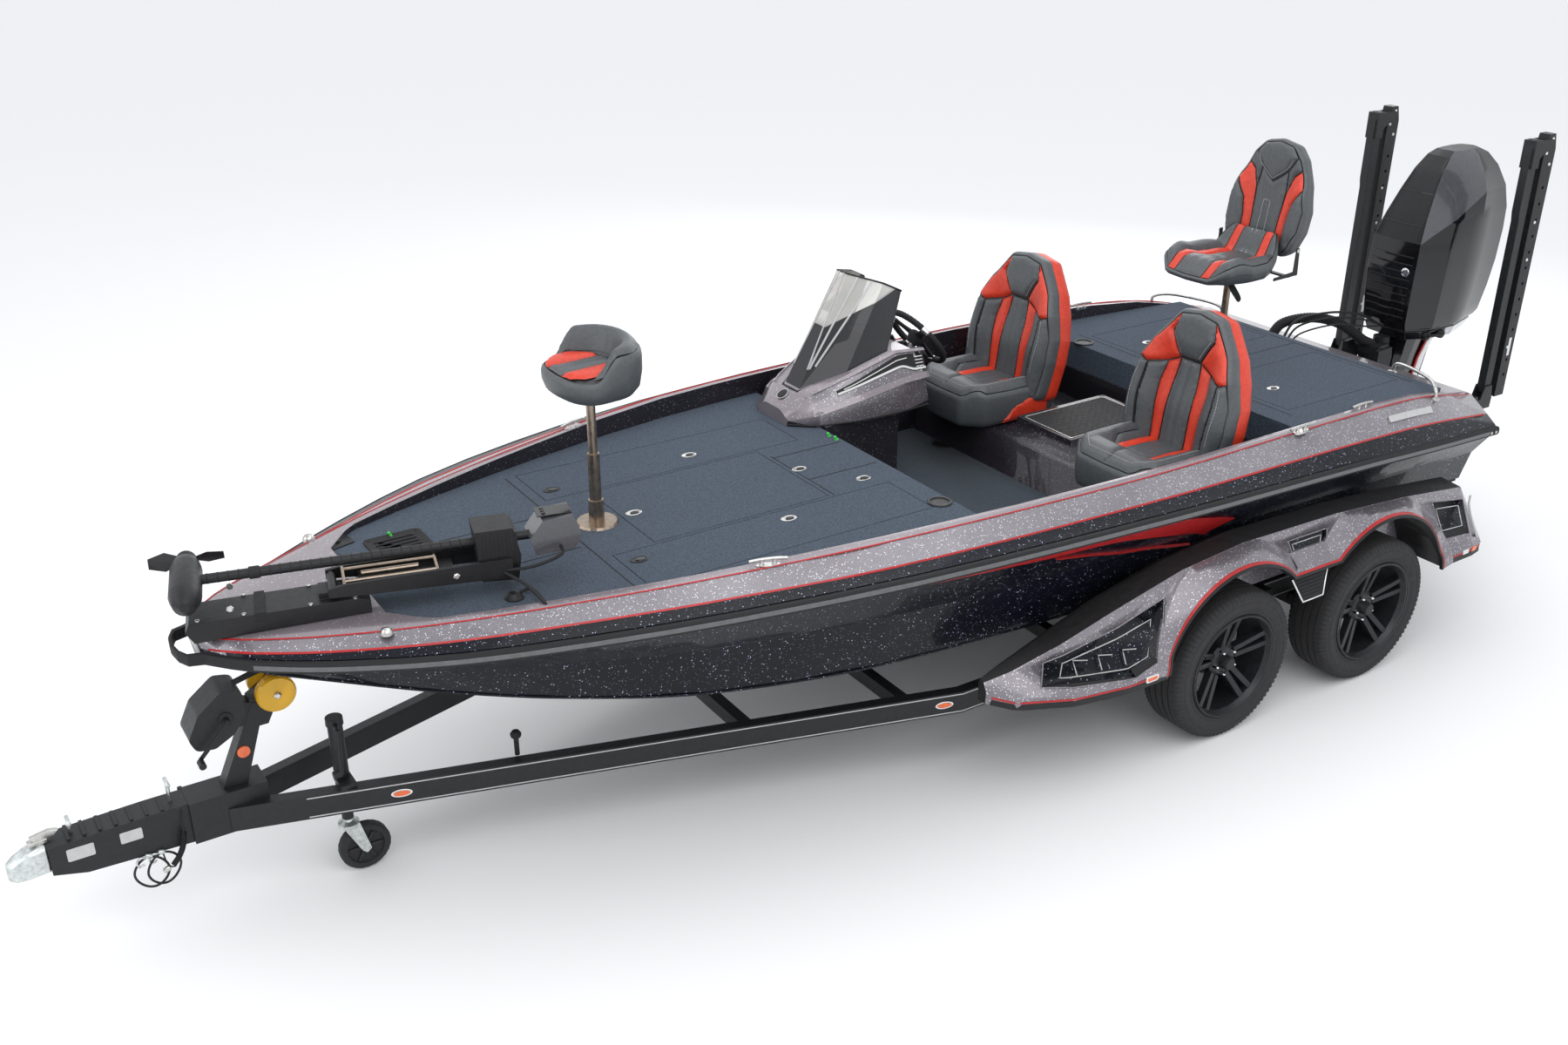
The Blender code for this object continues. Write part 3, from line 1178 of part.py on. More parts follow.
def wheel_pair(x, side, word):
    """Tyre and alloy rim that turn about one axle end."""
    name = f"{word}_wheel"
    place = (x, side * WHEEL_Y, WHEEL_RADIUS)
    pivot(f"{name}_spin", place)
    half = TYRE_WIDE / 2
    out = (0, side, 0)
    bead = RIM_R + GAP
    shoulder = WHEEL_RADIUS - 0.020
    flank = WHEEL_RADIUS - 0.060
    tyre = [(-half * 0.80, bead), (-half * 0.98, bead + 0.030), (-half, flank), (-half * 0.90, shoulder),
            (-half * 0.72, WHEEL_RADIUS - 0.004), (-half * 0.35, WHEEL_RADIUS), (half * 0.35, WHEEL_RADIUS),
            (half * 0.72, WHEEL_RADIUS - 0.004), (half * 0.90, shoulder), (half, flank),
            (half * 0.98, bead + 0.030), (half * 0.82, bead + 0.012), (half * 0.82, bead)]
    add(f"{name}_tyre", lathe(tyre, place, out, WHEEL_STEPS), tyre_rubber(), f"{name}_spin")
    barrel = [(-half * 0.80, RIM_R), (-half * 0.80, RIM_R - 0.013), (half * 0.70, RIM_R - 0.013),
              (half * 0.92, RIM_R - 0.002), (half * 0.92, RIM_R + 0.008), (half * 0.84, RIM_R + 0.009),
              (half * 0.83, RIM_R)]
    rim = add(f"{name}_rim", lathe(barrel, place, out, WHEEL_STEPS), satin_black(), f"{name}_spin")
    cap = [(-0.035, 0.080), (0.030, 0.078), (0.045, 0.060), (0.0451, 0.034), (0.075, 0.031), (0.080, 0.022)]
    hub = drum(cap, place, out, 20)
    bars = []
    for k in range(5):
        for shift in (-0.024, 0.024):
            turn = math.radians(72 * k + 18)
            radial = Vector((math.cos(turn), 0, math.sin(turn)))
            cross = Vector((-math.sin(turn), 0, math.cos(turn)))
            rings = []
            # columns: reach from the axle, spread of the pair, level outward, half thickness
            for reach, spread, level, thick in ((0.070, 0.70, 0.022, 0.018),
                                                (RIM_R - 0.006, 1.25, half * 0.60, 0.016)):
                middle = Vector(place) + radial * reach + cross * (shift * spread) + Vector(out) * level
                rings.append([middle + cross * (a * 0.0125) + Vector(out) * (b * thick)
                              for a, b in ((-1, -1), (1, -1), (1, 1), (-1, 1))])
            bars.append(loft(rings))
    fuse(rim, merge(*bars))
    fuse(rim, hub)


def build_wheels():
    for side, way in ((1, "port"), (-1, "starboard")):
        for x, word in zip(AXLE_X, ("front", "rear")):
            wheel_pair(x, side, f"{word}_{way}")


# Fender sections, fore to aft
# columns: station, bottom z, top z, outer y at the foot, outer y at the top, crest y
FENDER = [
    (3.210, 0.470, 0.560, 1.060, 1.040, 1.020),
    (3.120, 0.455, 0.605, 1.150, 1.090, 1.035),
    (2.900, 0.450, 0.680, 1.245, 1.130, 1.045),
    (2.640, 0.445, 0.765, FENDER_OUT_Y, FENDER_TOP_Y, FENDER_CREST_Y),
    (2.260, 0.445, 0.850, FENDER_OUT_Y, FENDER_TOP_Y, FENDER_CREST_Y),
    (1.900, 0.450, 0.882, FENDER_OUT_Y, FENDER_TOP_Y, FENDER_CREST_Y),
    (1.300, 0.460, 0.870, FENDER_OUT_Y, FENDER_TOP_Y, FENDER_CREST_Y),
    (0.800, 0.470, 0.832, FENDER_OUT_Y, FENDER_TOP_Y, FENDER_CREST_Y),
    (0.400, 0.476, 0.790, FENDER_OUT_Y, FENDER_TOP_Y + 0.01, FENDER_CREST_Y),
    (0.330, 0.480, 0.640, FENDER_OUT_Y - 0.01, FENDER_TOP_Y + 0.05, FENDER_CREST_Y + 0.01),
]


# Recessed panels in the fender's side, as (station, z) corners
PANELS = [
    [(2.985, 0.624), (2.375, 0.765), (2.450, 0.536), (2.600, 0.506), (3.020, 0.540)],
    [(1.628, 0.826), (1.372, 0.824), (1.410, 0.702), (1.600, 0.704)],
    [(0.630, 0.772), (0.405, 0.738), (0.408, 0.585), (0.612, 0.600)],
]


def fender_section(row, side):
    x, low, top, foot_y, top_y, crest_y = row
    half = [(FENDER_IN_Y, low), (foot_y - 0.004, low), (foot_y, low + FENDER_FOOT), (top_y, top),
            (crest_y, top + 0.012), (FENDER_IN_Y, top - 0.010)]
    return [(x, side * y, z) for y, z in half]


def fender_y(x, z):
    """Outer face of a fender's side, between its foot and its top."""
    i = 0
    while i < len(FENDER) - 2 and x < FENDER[i + 1][0]:
        i += 1
    near, far = FENDER[i], FENDER[i + 1]
    t = (near[0] - x) / (near[0] - far[0])
    low, top, foot_y, top_y = (near[k] + t * (far[k] - near[k]) for k in (1, 2, 3, 4))
    rise = (z - low - FENDER_FOOT) / (top - low - FENDER_FOOT)
    return foot_y + min(max(rise, 0.0), 1.0) * (top_y - foot_y)


def fender_panel(corners, side):
    """A cutter that sinks one panel below the slanted side."""
    rings = []
    for out in (-PANEL_DEEP, 0.060):
        rings.append([(x, side * (fender_y(x, z) + out), z) for x, z in corners])
    shape = loft(rings)
    bmesh.ops.triangulate(shape, faces=shape.faces[:])
    return shape


def arch_outline():
    """The opening over both wheels: an arc over each, with a level dip between them."""
    front, rear = AXLE_X
    dip = math.asin((ARCH_DIP_Z - ARCH_Z) / ARCH_R)
    points = [(front + ARCH_R, 0.30)]
    for centre, start, stop in ((front, 0.0, math.pi - dip), (rear, dip, math.pi)):
        for k in range(13):
            angle = start + (stop - start) * k / 12
            points.append((centre + ARCH_R * math.cos(angle), ARCH_Z + ARCH_R * math.sin(angle)))
    points.append((rear - ARCH_R, 0.30))
    return points


def build_fenders():
    for side, word in ((1, "port"), (-1, "starboard")):
        fender = add(f"{word}_fender", loft([fender_section(row, side) for row in FENDER]), gunwale_mauve())
        low, high = sorted((side * (FENDER_IN_Y + FENDER_SKIN), side * 1.40))
        cut(fender, prism(arch_outline(), "y", low, high))
        low, high = sorted((side * 0.9, side * (FENDER_IN_Y + FENDER_SKIN + 0.01)))
        clearance = [(x, 0.30) for x in (AXLE_X[0] + 0.16, AXLE_X[1] - 0.14)]
        cut(fender, prism([clearance[0], (AXLE_X[0] + 0.16, 0.52), (AXLE_X[0] + 0.02, 0.56),
                           (AXLE_X[1] + 0.05, 0.56), (AXLE_X[1] - 0.14, 0.52), clearance[1]], "y", low, high))
        nose = [(AXLE_X[0] + ARCH_R + 0.035, 0.30), (2.95, 0.30), (2.95, 0.62),
                (AXLE_X[0] + ARCH_R + 0.035, 0.72)]
        low, high = sorted((side * (FENDER_IN_Y + FENDER_SKIN), side * 1.13))
        cut(fender, prism(nose, "y", low, high))
        for corners in PANELS:
            cut(fender, fender_panel(corners, side))


def build_winch():
    post = [(5.84, TONGUE_TOP_Z + GAP), (5.93, TONGUE_TOP_Z + GAP), (5.785, 0.80), (5.735, 0.80)]
    stand = add("winch_stand", prism(post, "y", -0.032, 0.032), satin_black())
    low = keel_seat()
    fuse(stand, prism([(5.735, 0.70), (5.79, 0.70), (5.79, low - 0.02), (ROLLER_X + 0.02, low + 0.022),
                       (ROLLER_X - 0.02, low + 0.022), (ROLLER_X - 0.025, low - 0.02)], "y", -0.030, 0.030))
    housing = rounded([(5.815, 0.79), (5.815, 0.885), (5.885, 0.90), (5.975, 0.83), (6.02, 0.74),
                       (6.0, 0.69), (5.935, 0.68), (5.86, 0.72)], 0.03, 3)
    fuse(stand, prism([(5.790, 0.715), (5.880, 0.725), (5.880, 0.830), (5.745, 0.795)], "y", -0.031, 0.031),
         prism(housing, "y", -0.068, 0.068))
    cut(stand, rod((ROLLER_X, -0.1, low), (ROLLER_X, 0.1, low), SLEEVE_R + GAP, 16))
    half = [(ROLLER_OUT_Y, PIN_R + GAP), (ROLLER_OUT_Y, ROLLER_R - 0.006), (ROLLER_OUT_Y - 0.010, ROLLER_R),
            (ROLLER_IN_Y + 0.010, ROLLER_R), (ROLLER_IN_Y, ROLLER_R - 0.006), (ROLLER_IN_Y, SLEEVE_R)]
    spool = half + [(-a, r) for a, r in reversed(half)]
    add("bow_rollers", lathe(spool, (ROLLER_X, 0, low), (0, 1, 0), 24), amber())


def keel_seat():
    """Height of the bow rollers' pin, so that they touch the sloping stem."""
    step = 0.01
    slope = (table(1, ROLLER_X + step) - table(1, ROLLER_X - step)) / (2 * step)
    return table(1, ROLLER_X) - ROLLER_R * math.sqrt(1 + slope ** 2) - 2 * GAP


def build_tongue():
    side_y = TONGUE_WIDE / 2
    pin = (HINGE_X, -side_y - 0.020, (TONGUE_LOW_Z + TONGUE_TOP_Z) / 2)
    pivot("tongue_hinge", pin)
    channel = [(HINGE_X + GAP, TONGUE_LOW_Z - 0.015), (HINGE_X + GAP, TONGUE_TOP_Z), (6.20, TONGUE_TOP_Z),
               (CHANNEL_FRONT_X, TONGUE_TOP_Z - 0.010), (CHANNEL_FRONT_X, TONGUE_LOW_Z + 0.030),
               (CHANNEL_FRONT_X - 0.11, TONGUE_LOW_Z)]
    tongue = add("tongue_channel", prism(channel, "y", -side_y, side_y), satin_black(), "tongue_hinge")
    pin_x = pin[0] + 0.0005
    fuse(tongue, rod((pin_x, pin[1], TONGUE_LOW_Z + 0.002), (pin_x, pin[1], TONGUE_TOP_Z - 0.004), 0.009, 14),
         box((HINGE_X + 0.003, -side_y - 0.020, TONGUE_LOW_Z + 0.02),
             (HINGE_X + 0.09, -side_y + 0.01, TONGUE_TOP_Z - 0.02)))
    # columns: station, half width, low z, high z
    rows = [(CHANNEL_FRONT_X + GAP, 0.044, 0.372, 0.474), (NOSE_X - 0.115, 0.044, 0.372, 0.478),
            (NOSE_X - 0.065, 0.042, 0.366, 0.462), (NOSE_X - 0.025, 0.040, 0.368, 0.440),
            (NOSE_X, 0.026, 0.376, 0.425)]
    rings = [[(x, -half, low), (x, half, low), (x, half, high - 0.012), (x, half - 0.014, high),
              (x, -half + 0.014, high), (x, -half, high - 0.012)] for x, half, low, high in rows]
    add("coupler", loft(rings), zinc(), "tongue_hinge")


def build_jack():
    top = 0.660
    foot = 2 * CASTER_R + 0.045
    tube = [(foot, JACK_R - 0.006), (0.31, JACK_R - 0.006), (0.3101, JACK_R), (top, JACK_R),
            (top + 0.0001, JACK_R + 0.005), (top + 0.03, JACK_R + 0.004)]
    jack = add("jack", drum(tube, (JACK_X, JACK_Y, 0), (0, 0, 1), 20), satin_black())
    fuse(jack, box((JACK_X - 0.030, JACK_Y - 0.010, BEAM_TOP_Z + GAP),
                   (JACK_X + 0.030, JACK_Y + 0.085, BEAM_TOP_Z + 0.020)))
    crank_y = JACK_Y + 0.078
    fuse(jack, rod((JACK_X, JACK_Y, top + 0.012), (JACK_X + 0.015, crank_y + 0.007, top + 0.012), 0.009, 10),
         rod((JACK_X + 0.013, crank_y, top + 0.020), (JACK_X + 0.020, crank_y, top - 0.170), 0.010, 10),
         rod((JACK_X + 0.020, crank_y, top - 0.165), (JACK_X + 0.050, crank_y, top - 0.165), 0.015, 12))
    pivot("caster_swivel", (JACK_X, JACK_Y, foot))
    crown = drum([(-0.035, 0.040), (-0.020, 0.040), (-0.012, 0.020), (-GAP, 0.018)],
                 (JACK_X, JACK_Y, foot), (0, 0, 1), 20)
    fork = add("caster_fork", crown, zinc(), "caster_swivel")
    axle_x = JACK_X - CASTER_TRAIL
    gap = CASTER_WIDE / 2 + 0.004
    leaf = [(JACK_X + 0.030, foot - 0.024), (JACK_X - 0.034, foot - 0.024),
            (axle_x - 0.018, CASTER_R - 0.004), (axle_x, CASTER_R - 0.020),
            (axle_x + 0.018, CASTER_R - 0.004)]
    for side in (1, -1):
        low, high = sorted((JACK_Y + side * gap, JACK_Y + side * (gap + 0.006)))
        fuse(fork, prism(leaf, "y", low, high))
    reach = gap + 0.008
    fuse(fork, rod((axle_x, JACK_Y - reach, CASTER_R), (axle_x, JACK_Y + reach, CASTER_R), 0.008, 12))
    fuse(fork, box((JACK_X - 0.032, JACK_Y - gap - 0.004, foot - 0.0345),
                   (JACK_X + 0.028, JACK_Y + gap + 0.004, foot - 0.022)))
    pivot("caster_wheel_spin", (axle_x, JACK_Y, CASTER_R), "caster_swivel")
    half = CASTER_WIDE / 2
    tread = CASTER_R - 0.030
    side = [(half + 0.003, 0.0083), (half + 0.003, 0.020), (half * 0.5, 0.024), (half * 0.5, tread),
            (half, CASTER_R - 0.026), (half, CASTER_R - 0.008), (half - 0.008, CASTER_R)]
    profile = [(-a, r) for a, r in side] + list(reversed(side))
    add("caster_wheel", lathe(profile, (axle_x, JACK_Y, CASTER_R), (0, 1, 0), 24), tyre_rubber(),
        "caster_wheel_spin")


def build_all():
    clear_scene()
    frame_origin()
    build_hull()
    build_cap()
    build_rub_rail()
    build_decks()
    build_lids()
    build_cockpit()
    build_bucket_seats()
    build_pedestals()
    build_bow_seat()
    build_aft_seat()
    console = build_console()
    build_windscreen()
    build_steering_wheel(console)
    build_motor_mount()
    build_swivel()
    build_motor()
    build_propeller()
    build_anchors()
    build_trolling_motor()
    build_trailer_frame()
    build_axles()
    build_wheels()
    build_fenders()
    build_winch()
    build_tongue()
    build_jack()


build_all()
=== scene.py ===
"""Looks for the bass boat on its tandem-axle trailer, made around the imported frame.

Places are given as stations, as in the part's source: x from the transom forward, y to port,
z up, in metres. at() turns a station into the row's frame.
"""

import json
import math

import bmesh
import bpy
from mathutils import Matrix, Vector
from mathutils.bvhtree import BVHTree
from mathutils.geometry import delaunay_2d_cdt


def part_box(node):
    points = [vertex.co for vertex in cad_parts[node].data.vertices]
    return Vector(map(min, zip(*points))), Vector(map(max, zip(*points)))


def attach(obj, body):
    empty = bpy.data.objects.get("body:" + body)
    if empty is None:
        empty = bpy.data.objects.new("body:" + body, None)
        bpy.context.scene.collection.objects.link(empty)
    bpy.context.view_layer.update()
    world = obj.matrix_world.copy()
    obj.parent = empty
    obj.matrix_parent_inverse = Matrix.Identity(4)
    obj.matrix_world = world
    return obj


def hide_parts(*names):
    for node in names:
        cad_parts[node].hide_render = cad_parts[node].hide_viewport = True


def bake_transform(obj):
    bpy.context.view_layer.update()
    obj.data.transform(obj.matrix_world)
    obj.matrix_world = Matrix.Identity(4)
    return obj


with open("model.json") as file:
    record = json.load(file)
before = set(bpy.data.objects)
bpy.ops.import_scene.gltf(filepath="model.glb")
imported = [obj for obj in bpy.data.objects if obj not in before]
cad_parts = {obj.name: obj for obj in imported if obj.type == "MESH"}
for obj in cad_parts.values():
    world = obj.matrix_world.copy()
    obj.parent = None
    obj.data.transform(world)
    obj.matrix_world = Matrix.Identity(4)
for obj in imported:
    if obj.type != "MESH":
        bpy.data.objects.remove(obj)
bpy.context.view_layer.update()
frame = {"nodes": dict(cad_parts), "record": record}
CAD = frame["nodes"]
BODY_OF = {node: body for body, nodes in frame["record"]["behaviour"]["bodies"].items() for node in nodes}
BOAT = "boat_and_trailer"
MIDDLE = 2.7325              # station of the row's origin, halfway along boat and trailer
UP = (0, 0, 1)


def at(x, y, z):
    return Vector((x - MIDDLE, y, z))


# Materials

def principled(name, colour, rough, metal=0.0, **more):
    made = bpy.data.materials.new(name)
    made.use_nodes = True
    shader = made.node_tree.nodes["Principled BSDF"]
    shader.inputs["Base Color"].default_value = (*colour, 1.0)
    shader.inputs["Roughness"].default_value = rough
    shader.inputs["Metallic"].default_value = metal
    for key, value in more.items():
        shader.inputs[key.replace("_", " ")].default_value = value
    return made, shader


class Graph:
    """Short calls for one material's nodes."""

    def __init__(self, made, shader):
        self.tree = made.node_tree
        self.shader = shader
        self.place = self.add("ShaderNodeTexCoord").outputs["Object"]

    def add(self, kind, **settings):
        made = self.tree.nodes.new(kind)
        for key, value in settings.items():
            setattr(made, key, value)
        return made

    def link(self, a, b):
        self.tree.links.new(a, b)

    def fill(self, socket, value):
        """Give a socket a number or a colour, or link another socket to it."""
        if isinstance(value, (int, float)):
            socket.default_value = value
        elif isinstance(value, tuple):
            socket.default_value = (*value, 1.0)
        else:
            self.link(value, socket)

    def noise(self, scale, detail=2.0, rough=0.5):
        made = self.add("ShaderNodeTexNoise")
        for socket, value in (("Scale", scale), ("Detail", detail), ("Roughness", rough)):
            made.inputs[socket].default_value = value
        self.link(self.place, made.inputs["Vector"])
        return made.outputs["Fac"]

    def cells(self, scale, feature="F1"):
        made = self.add("ShaderNodeTexVoronoi", feature=feature)
        made.inputs["Scale"].default_value = scale
        self.link(self.place, made.inputs["Vector"])
        return made

    def math(self, operation, a, b):
        made = self.add("ShaderNodeMath", operation=operation)
        for socket, value in zip(made.inputs, (a, b)):
            self.fill(socket, value)
        return made.outputs[0]

    def ramp(self, value, *stops):
        made = self.add("ShaderNodeValToRGB")
        while len(made.color_ramp.elements) < len(stops):
            made.color_ramp.elements.new(0.5)
        for element, (spot, colour) in zip(made.color_ramp.elements, stops):
            element.position = spot
            element.color = (*colour, 1.0)
        self.link(value, made.inputs["Fac"])
        return made.outputs["Color"]

    def mix(self, factor, a, b):
        """Mix two colours; sockets 6, 7 and 2 of the node are its colour ones."""
        made = self.add("ShaderNodeMix", data_type="RGBA")
        for socket, value in ((made.inputs["Factor"], factor), (made.inputs[6], a), (made.inputs[7], b)):
            self.fill(socket, value)
        return made.outputs[2]

    def colour(self, value):
        self.link(value, self.shader.inputs["Base Color"])

    def rough(self, value):
        self.link(value, self.shader.inputs["Roughness"])

    def bump(self, value, strength, distance):
        made = self.add("ShaderNodeBump")
        made.inputs["Strength"].default_value = strength
        made.inputs["Distance"].default_value = distance
        self.link(value, made.inputs["Height"])
        self.link(made.outputs["Normal"], self.shader.inputs["Normal"])


def plain(name, colour, rough, metal=0.0, spread=0.12, scale=40.0, bump=0.0, bump_scale=400.0, **more):
    """A material whose colour and roughness vary slightly, with a fine grain."""
    made, shader = principled(name, colour, rough, metal, **more)
    g = Graph(made, shader)
    cloud = g.noise(scale, 4.0, 0.6)
    dark = tuple(c * (1 - spread) for c in colour)
    light = tuple(min(1.0, c * (1 + spread) + 0.002) for c in colour)
    g.colour(g.ramp(cloud, (0.35, dark), (0.65, light)))
    low, high = rough * 0.85, min(1.0, rough * 1.2)
    g.rough(g.ramp(cloud, (0.3, (low, low, low)), (0.7, (high, high, high))))
    if bump:
        g.bump(g.noise(bump_scale, 3.0, 0.6), bump, 0.002)
    return made


def flake(name, colour, low, specks, density, size, coat=0.7, metal=0.35, rough=0.32, gloss=0.5):
    """Gelcoat with metal flake: bright specks, coarse and fine, over a colour that deepens in clouds."""
    speck_radius = 0.27          # in cells of the pattern
    made, shader = principled(name, colour, rough, metal, Coat_Weight=coat, Coat_Roughness=0.04,
                              Specular_IOR_Level=gloss)
    g = Graph(made, shader)
    base = g.ramp(g.noise(2.2, 3.0, 0.5), (0.30, low), (0.70, colour))
    for finer, bright in ((1.0, specks), (1.9, tuple(c * 0.6 for c in specks))):
        cell = g.cells(finer / size)
        near = g.math("LESS_THAN", cell.outputs["Distance"], speck_radius)
        split = g.add("ShaderNodeSeparateColor")
        g.link(cell.outputs["Color"], split.inputs[0])
        lucky = g.math("LESS_THAN", split.outputs[0], density)
        base = g.mix(g.math("MULTIPLY", near, lucky), base, bright)
    g.colour(base)
    return made


def carpeted(name, dark, light, scale=1.0):
    """Marine carpet: fine light and dark tufts, with darker patches where the pile lies down."""
    made, shader = principled(name, dark, 0.95, Sheen_Weight=0.08, Sheen_Roughness=0.6, Specular_IOR_Level=0.15)
    g = Graph(made, shader)
    fine = g.noise(300 * scale, 4.0, 0.85)
    patches = g.ramp(g.noise(115 * scale, 4.0, 0.75), (0.38, (0, 0, 0)), (0.64, (1, 1, 1)))
    mid = tuple((a + b) / 2 for a, b in zip(dark, light))
    tone = g.ramp(fine, (0.36, dark), (0.50, mid), (0.66, light))
    g.colour(g.mix(g.math("MULTIPLY", patches, 0.62), tone, tuple(c * 0.8 for c in dark)))
    g.bump(fine, 0.9, 0.003)
    return made


def leathery(name, colour):
    """Boat vinyl with a fine pebbled grain."""
    made, shader = principled(name, colour, 0.46, Coat_Weight=0.12, Coat_Roughness=0.35)
    g = Graph(made, shader)
    grain = g.cells(420, "DISTANCE_TO_EDGE").outputs["Distance"]
    soft = g.noise(60, 3.0, 0.6)
    worn = tuple(min(1, c * 1.12) for c in colour)
    g.colour(g.ramp(soft, (0.3, tuple(c * 0.86 for c in colour)), (0.7, worn)))
    g.bump(g.math("ADD", grain, g.math("MULTIPLY", soft, 0.4)), 0.25, 0.0012)
    return made


def glassy(name, colour, rough, clear):
    """See-through plastic with a faint ripple."""
    made, shader = principled(name, colour, rough, Transmission_Weight=clear, IOR=1.45)
    g = Graph(made, shader)
    g.bump(g.noise(9.0, 1.0), 0.03, 0.004)
    return made


M = {}
M["hull"] = flake("hull_flake", (0.0045, 0.0052, 0.0105), (0.0025, 0.003, 0.006), (0.45, 0.50, 0.66), 0.10, 0.0085,
                  coat=0.28, metal=0.0, gloss=0.10)
M["silver"] = flake("silver_flake", (0.235, 0.215, 0.240), (0.150, 0.135, 0.155), (0.76, 0.76, 0.80), 0.34, 0.0080,
                    metal=0.45)
M["mauve"] = flake("mauve_flake", (0.285, 0.250, 0.270), (0.215, 0.185, 0.205), (0.66, 0.64, 0.67), 0.16, 0.0080,
                   metal=0.45)
M["liner"] = flake("liner_flake", (0.030, 0.026, 0.034), (0.018, 0.016, 0.021), (0.34, 0.31, 0.36), 0.14, 0.0080,
                   coat=0.6)
M["insert"] = plain("rub_insert", (0.105, 0.108, 0.112), 0.50, bump=0.1)
M["red"] = plain("red_metallic", (0.42, 0.012, 0.014), 0.35, 0.1, Coat_Weight=0.3, Coat_Roughness=0.10,
                 Specular_IOR_Level=0.3)
M["carpet"] = carpeted("deck_carpet", (0.016, 0.025, 0.038), (0.125, 0.165, 0.225))
M["floor_carpet"] = carpeted("cockpit_carpet", (0.026, 0.037, 0.049), (0.095, 0.120, 0.150), 1.4)
M["grey_vinyl"] = leathery("grey_vinyl", (0.072, 0.080, 0.086))
M["dark_vinyl"] = leathery("dark_vinyl", (0.030, 0.033, 0.036))
M["red_vinyl"] = leathery("red_vinyl", (0.62, 0.040, 0.014))
M["thread"] = plain("pale_thread", (0.45, 0.46, 0.47), 0.7, bump=0.4, bump_scale=900)
M["black"] = plain("black_plastic_look", (0.010, 0.010, 0.011), 0.42, bump=0.22, bump_scale=700,
                   Specular_IOR_Level=0.35)
M["soft_black"] = plain("soft_black", (0.014, 0.014, 0.015), 0.70, bump=0.35, bump_scale=500,
                        Specular_IOR_Level=0.35)
M["gloss"] = plain("gloss_black_look", (0.004, 0.004, 0.005), 0.12, spread=0.05, Coat_Weight=0.6,
                   Coat_Roughness=0.03, Specular_IOR_Level=0.25)
M["grey_cowl"] = plain("grey_cowl", (0.075, 0.078, 0.088), 0.30, 0.2, spread=0.05, Coat_Weight=0.6,
                       Coat_Roughness=0.06)
M["pale_cowl"] = plain("pale_cowl", (0.60, 0.61, 0.63), 0.25, 0.2, Coat_Weight=0.8, Coat_Roughness=0.06)
M["powder"] = plain("powder_coat", (0.013, 0.014, 0.015), 0.42, bump=0.30, bump_scale=900, Specular_IOR_Level=0.35)
M["charcoal"] = plain("charcoal_rim", (0.028, 0.029, 0.032), 0.36, 0.5, bump=0.10, bump_scale=900)
M["chrome"] = plain("chrome_look", (0.80, 0.80, 0.80), 0.08, 1.0, spread=0.03)
M["steel"] = plain("brushed_stainless", (0.56, 0.55, 0.53), 0.26, 1.0, bump=0.10, bump_scale=300)
M["bronze"] = plain("bronze_post", (0.36, 0.29, 0.23), 0.30, 1.0)
M["zinc"] = plain("zinc_look", (0.60, 0.63, 0.62), 0.36, 0.9, spread=0.2, scale=60)
M["rubber"] = plain("tyre_rubber_look", (0.018, 0.018, 0.019), 0.78, bump=0.30, bump_scale=350)
M["white"] = plain("bare_white", (0.70, 0.70, 0.69), 0.45, spread=0.04)
M["pin"] = plain("silver_pinstripe", (0.50, 0.50, 0.50), 0.35, 0.3, spread=0.05)
M["orange_lens"] = plain("orange_lens", (0.75, 0.13, 0.03), 0.25, Coat_Weight=0.5)
M["green"] = plain("green_clip", (0.05, 0.55, 0.07), 0.45)
M["amber"] = glassy("amber_look", (0.90, 0.52, 0.03), 0.22, 0.35)
M["smoke"] = glassy("smoke_look", (0.045, 0.045, 0.050), 0.05, 0.55)
M["clear"] = glassy("clear_top", (0.80, 0.79, 0.75), 0.06, 0.55)


# Mesh tools

def finish(name, shape, look, body, slot=None, smooth=35.0, replaces=(), bevel=0.0):
    """Turn a bmesh in the row's frame into a piece that rides on a body."""
    bmesh.ops.recalc_face_normals(shape, faces=shape.faces[:])
    mesh = bpy.data.meshes.new(name)
    shape.to_mesh(mesh)
    shape.free()
    mesh.shade_smooth()
    mesh.set_sharp_from_angle(angle=math.radians(smooth))
    made = bpy.data.objects.new(name, mesh)
    bpy.context.scene.collection.objects.link(made)
    for one in look if isinstance(look, (list, tuple)) else [look]:
        mesh.materials.append(M[one])
    if bevel:
        edge = made.modifiers.new("edge", "BEVEL")
        edge.width = bevel
        edge.segments = 2
        edge.limit_method = "ANGLE"
        edge.angle_limit = math.radians(40)
        edge.harden_normals = True
    if body:
        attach(made, body)
    if replaces:
        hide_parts(*replaces)
    return made


def rings(shape, rows, caps=True):
    """Bridge closed rings of points; the two ends are capped, or else the last ring joins the first."""
    made = [[shape.verts.new(point) for point in row] for row in rows]
    count = len(made[0])
    for row, following in zip(made, made[1:] if caps else made[1:] + made[:1]):
        for i in range(count):
            j = (i + 1) % count
            shape.faces.new((row[i], row[j], following[j], following[i]))
    if caps:
        shape.faces.new(list(reversed(made[0])))
        shape.faces.new(made[-1])
    return shape


def box(low, high, shape=None):
    shape = shape or bmesh.new()
    (a, b, c), (d, e, f) = low, high
    return rings(shape, [[at(x, b, c), at(x, e, c), at(x, e, f), at(x, b, f)] for x in (a, d)])


def prism(outline, axis, low, high, shape=None):
    """Extrude a flat outline: x takes (y, z), y takes (x, z), z takes (x, y)."""
    index = "xyz".index(axis)
    rows = []
    for level in (low, high):
        row = []
        for point in outline:
            place = list(point)
            place.insert(index, level)
            row.append(at(*place))
        rows.append(row)
    return rings(shape or bmesh.new(), rows)


def basis(axis):
    along = Vector(axis).normalized()
    side = along.orthogonal().normalized()
    return along, side, along.cross(side)


def around(steps):
    """Angles of a full turn in equal steps."""
    return [2 * math.pi * k / steps for k in range(steps)]


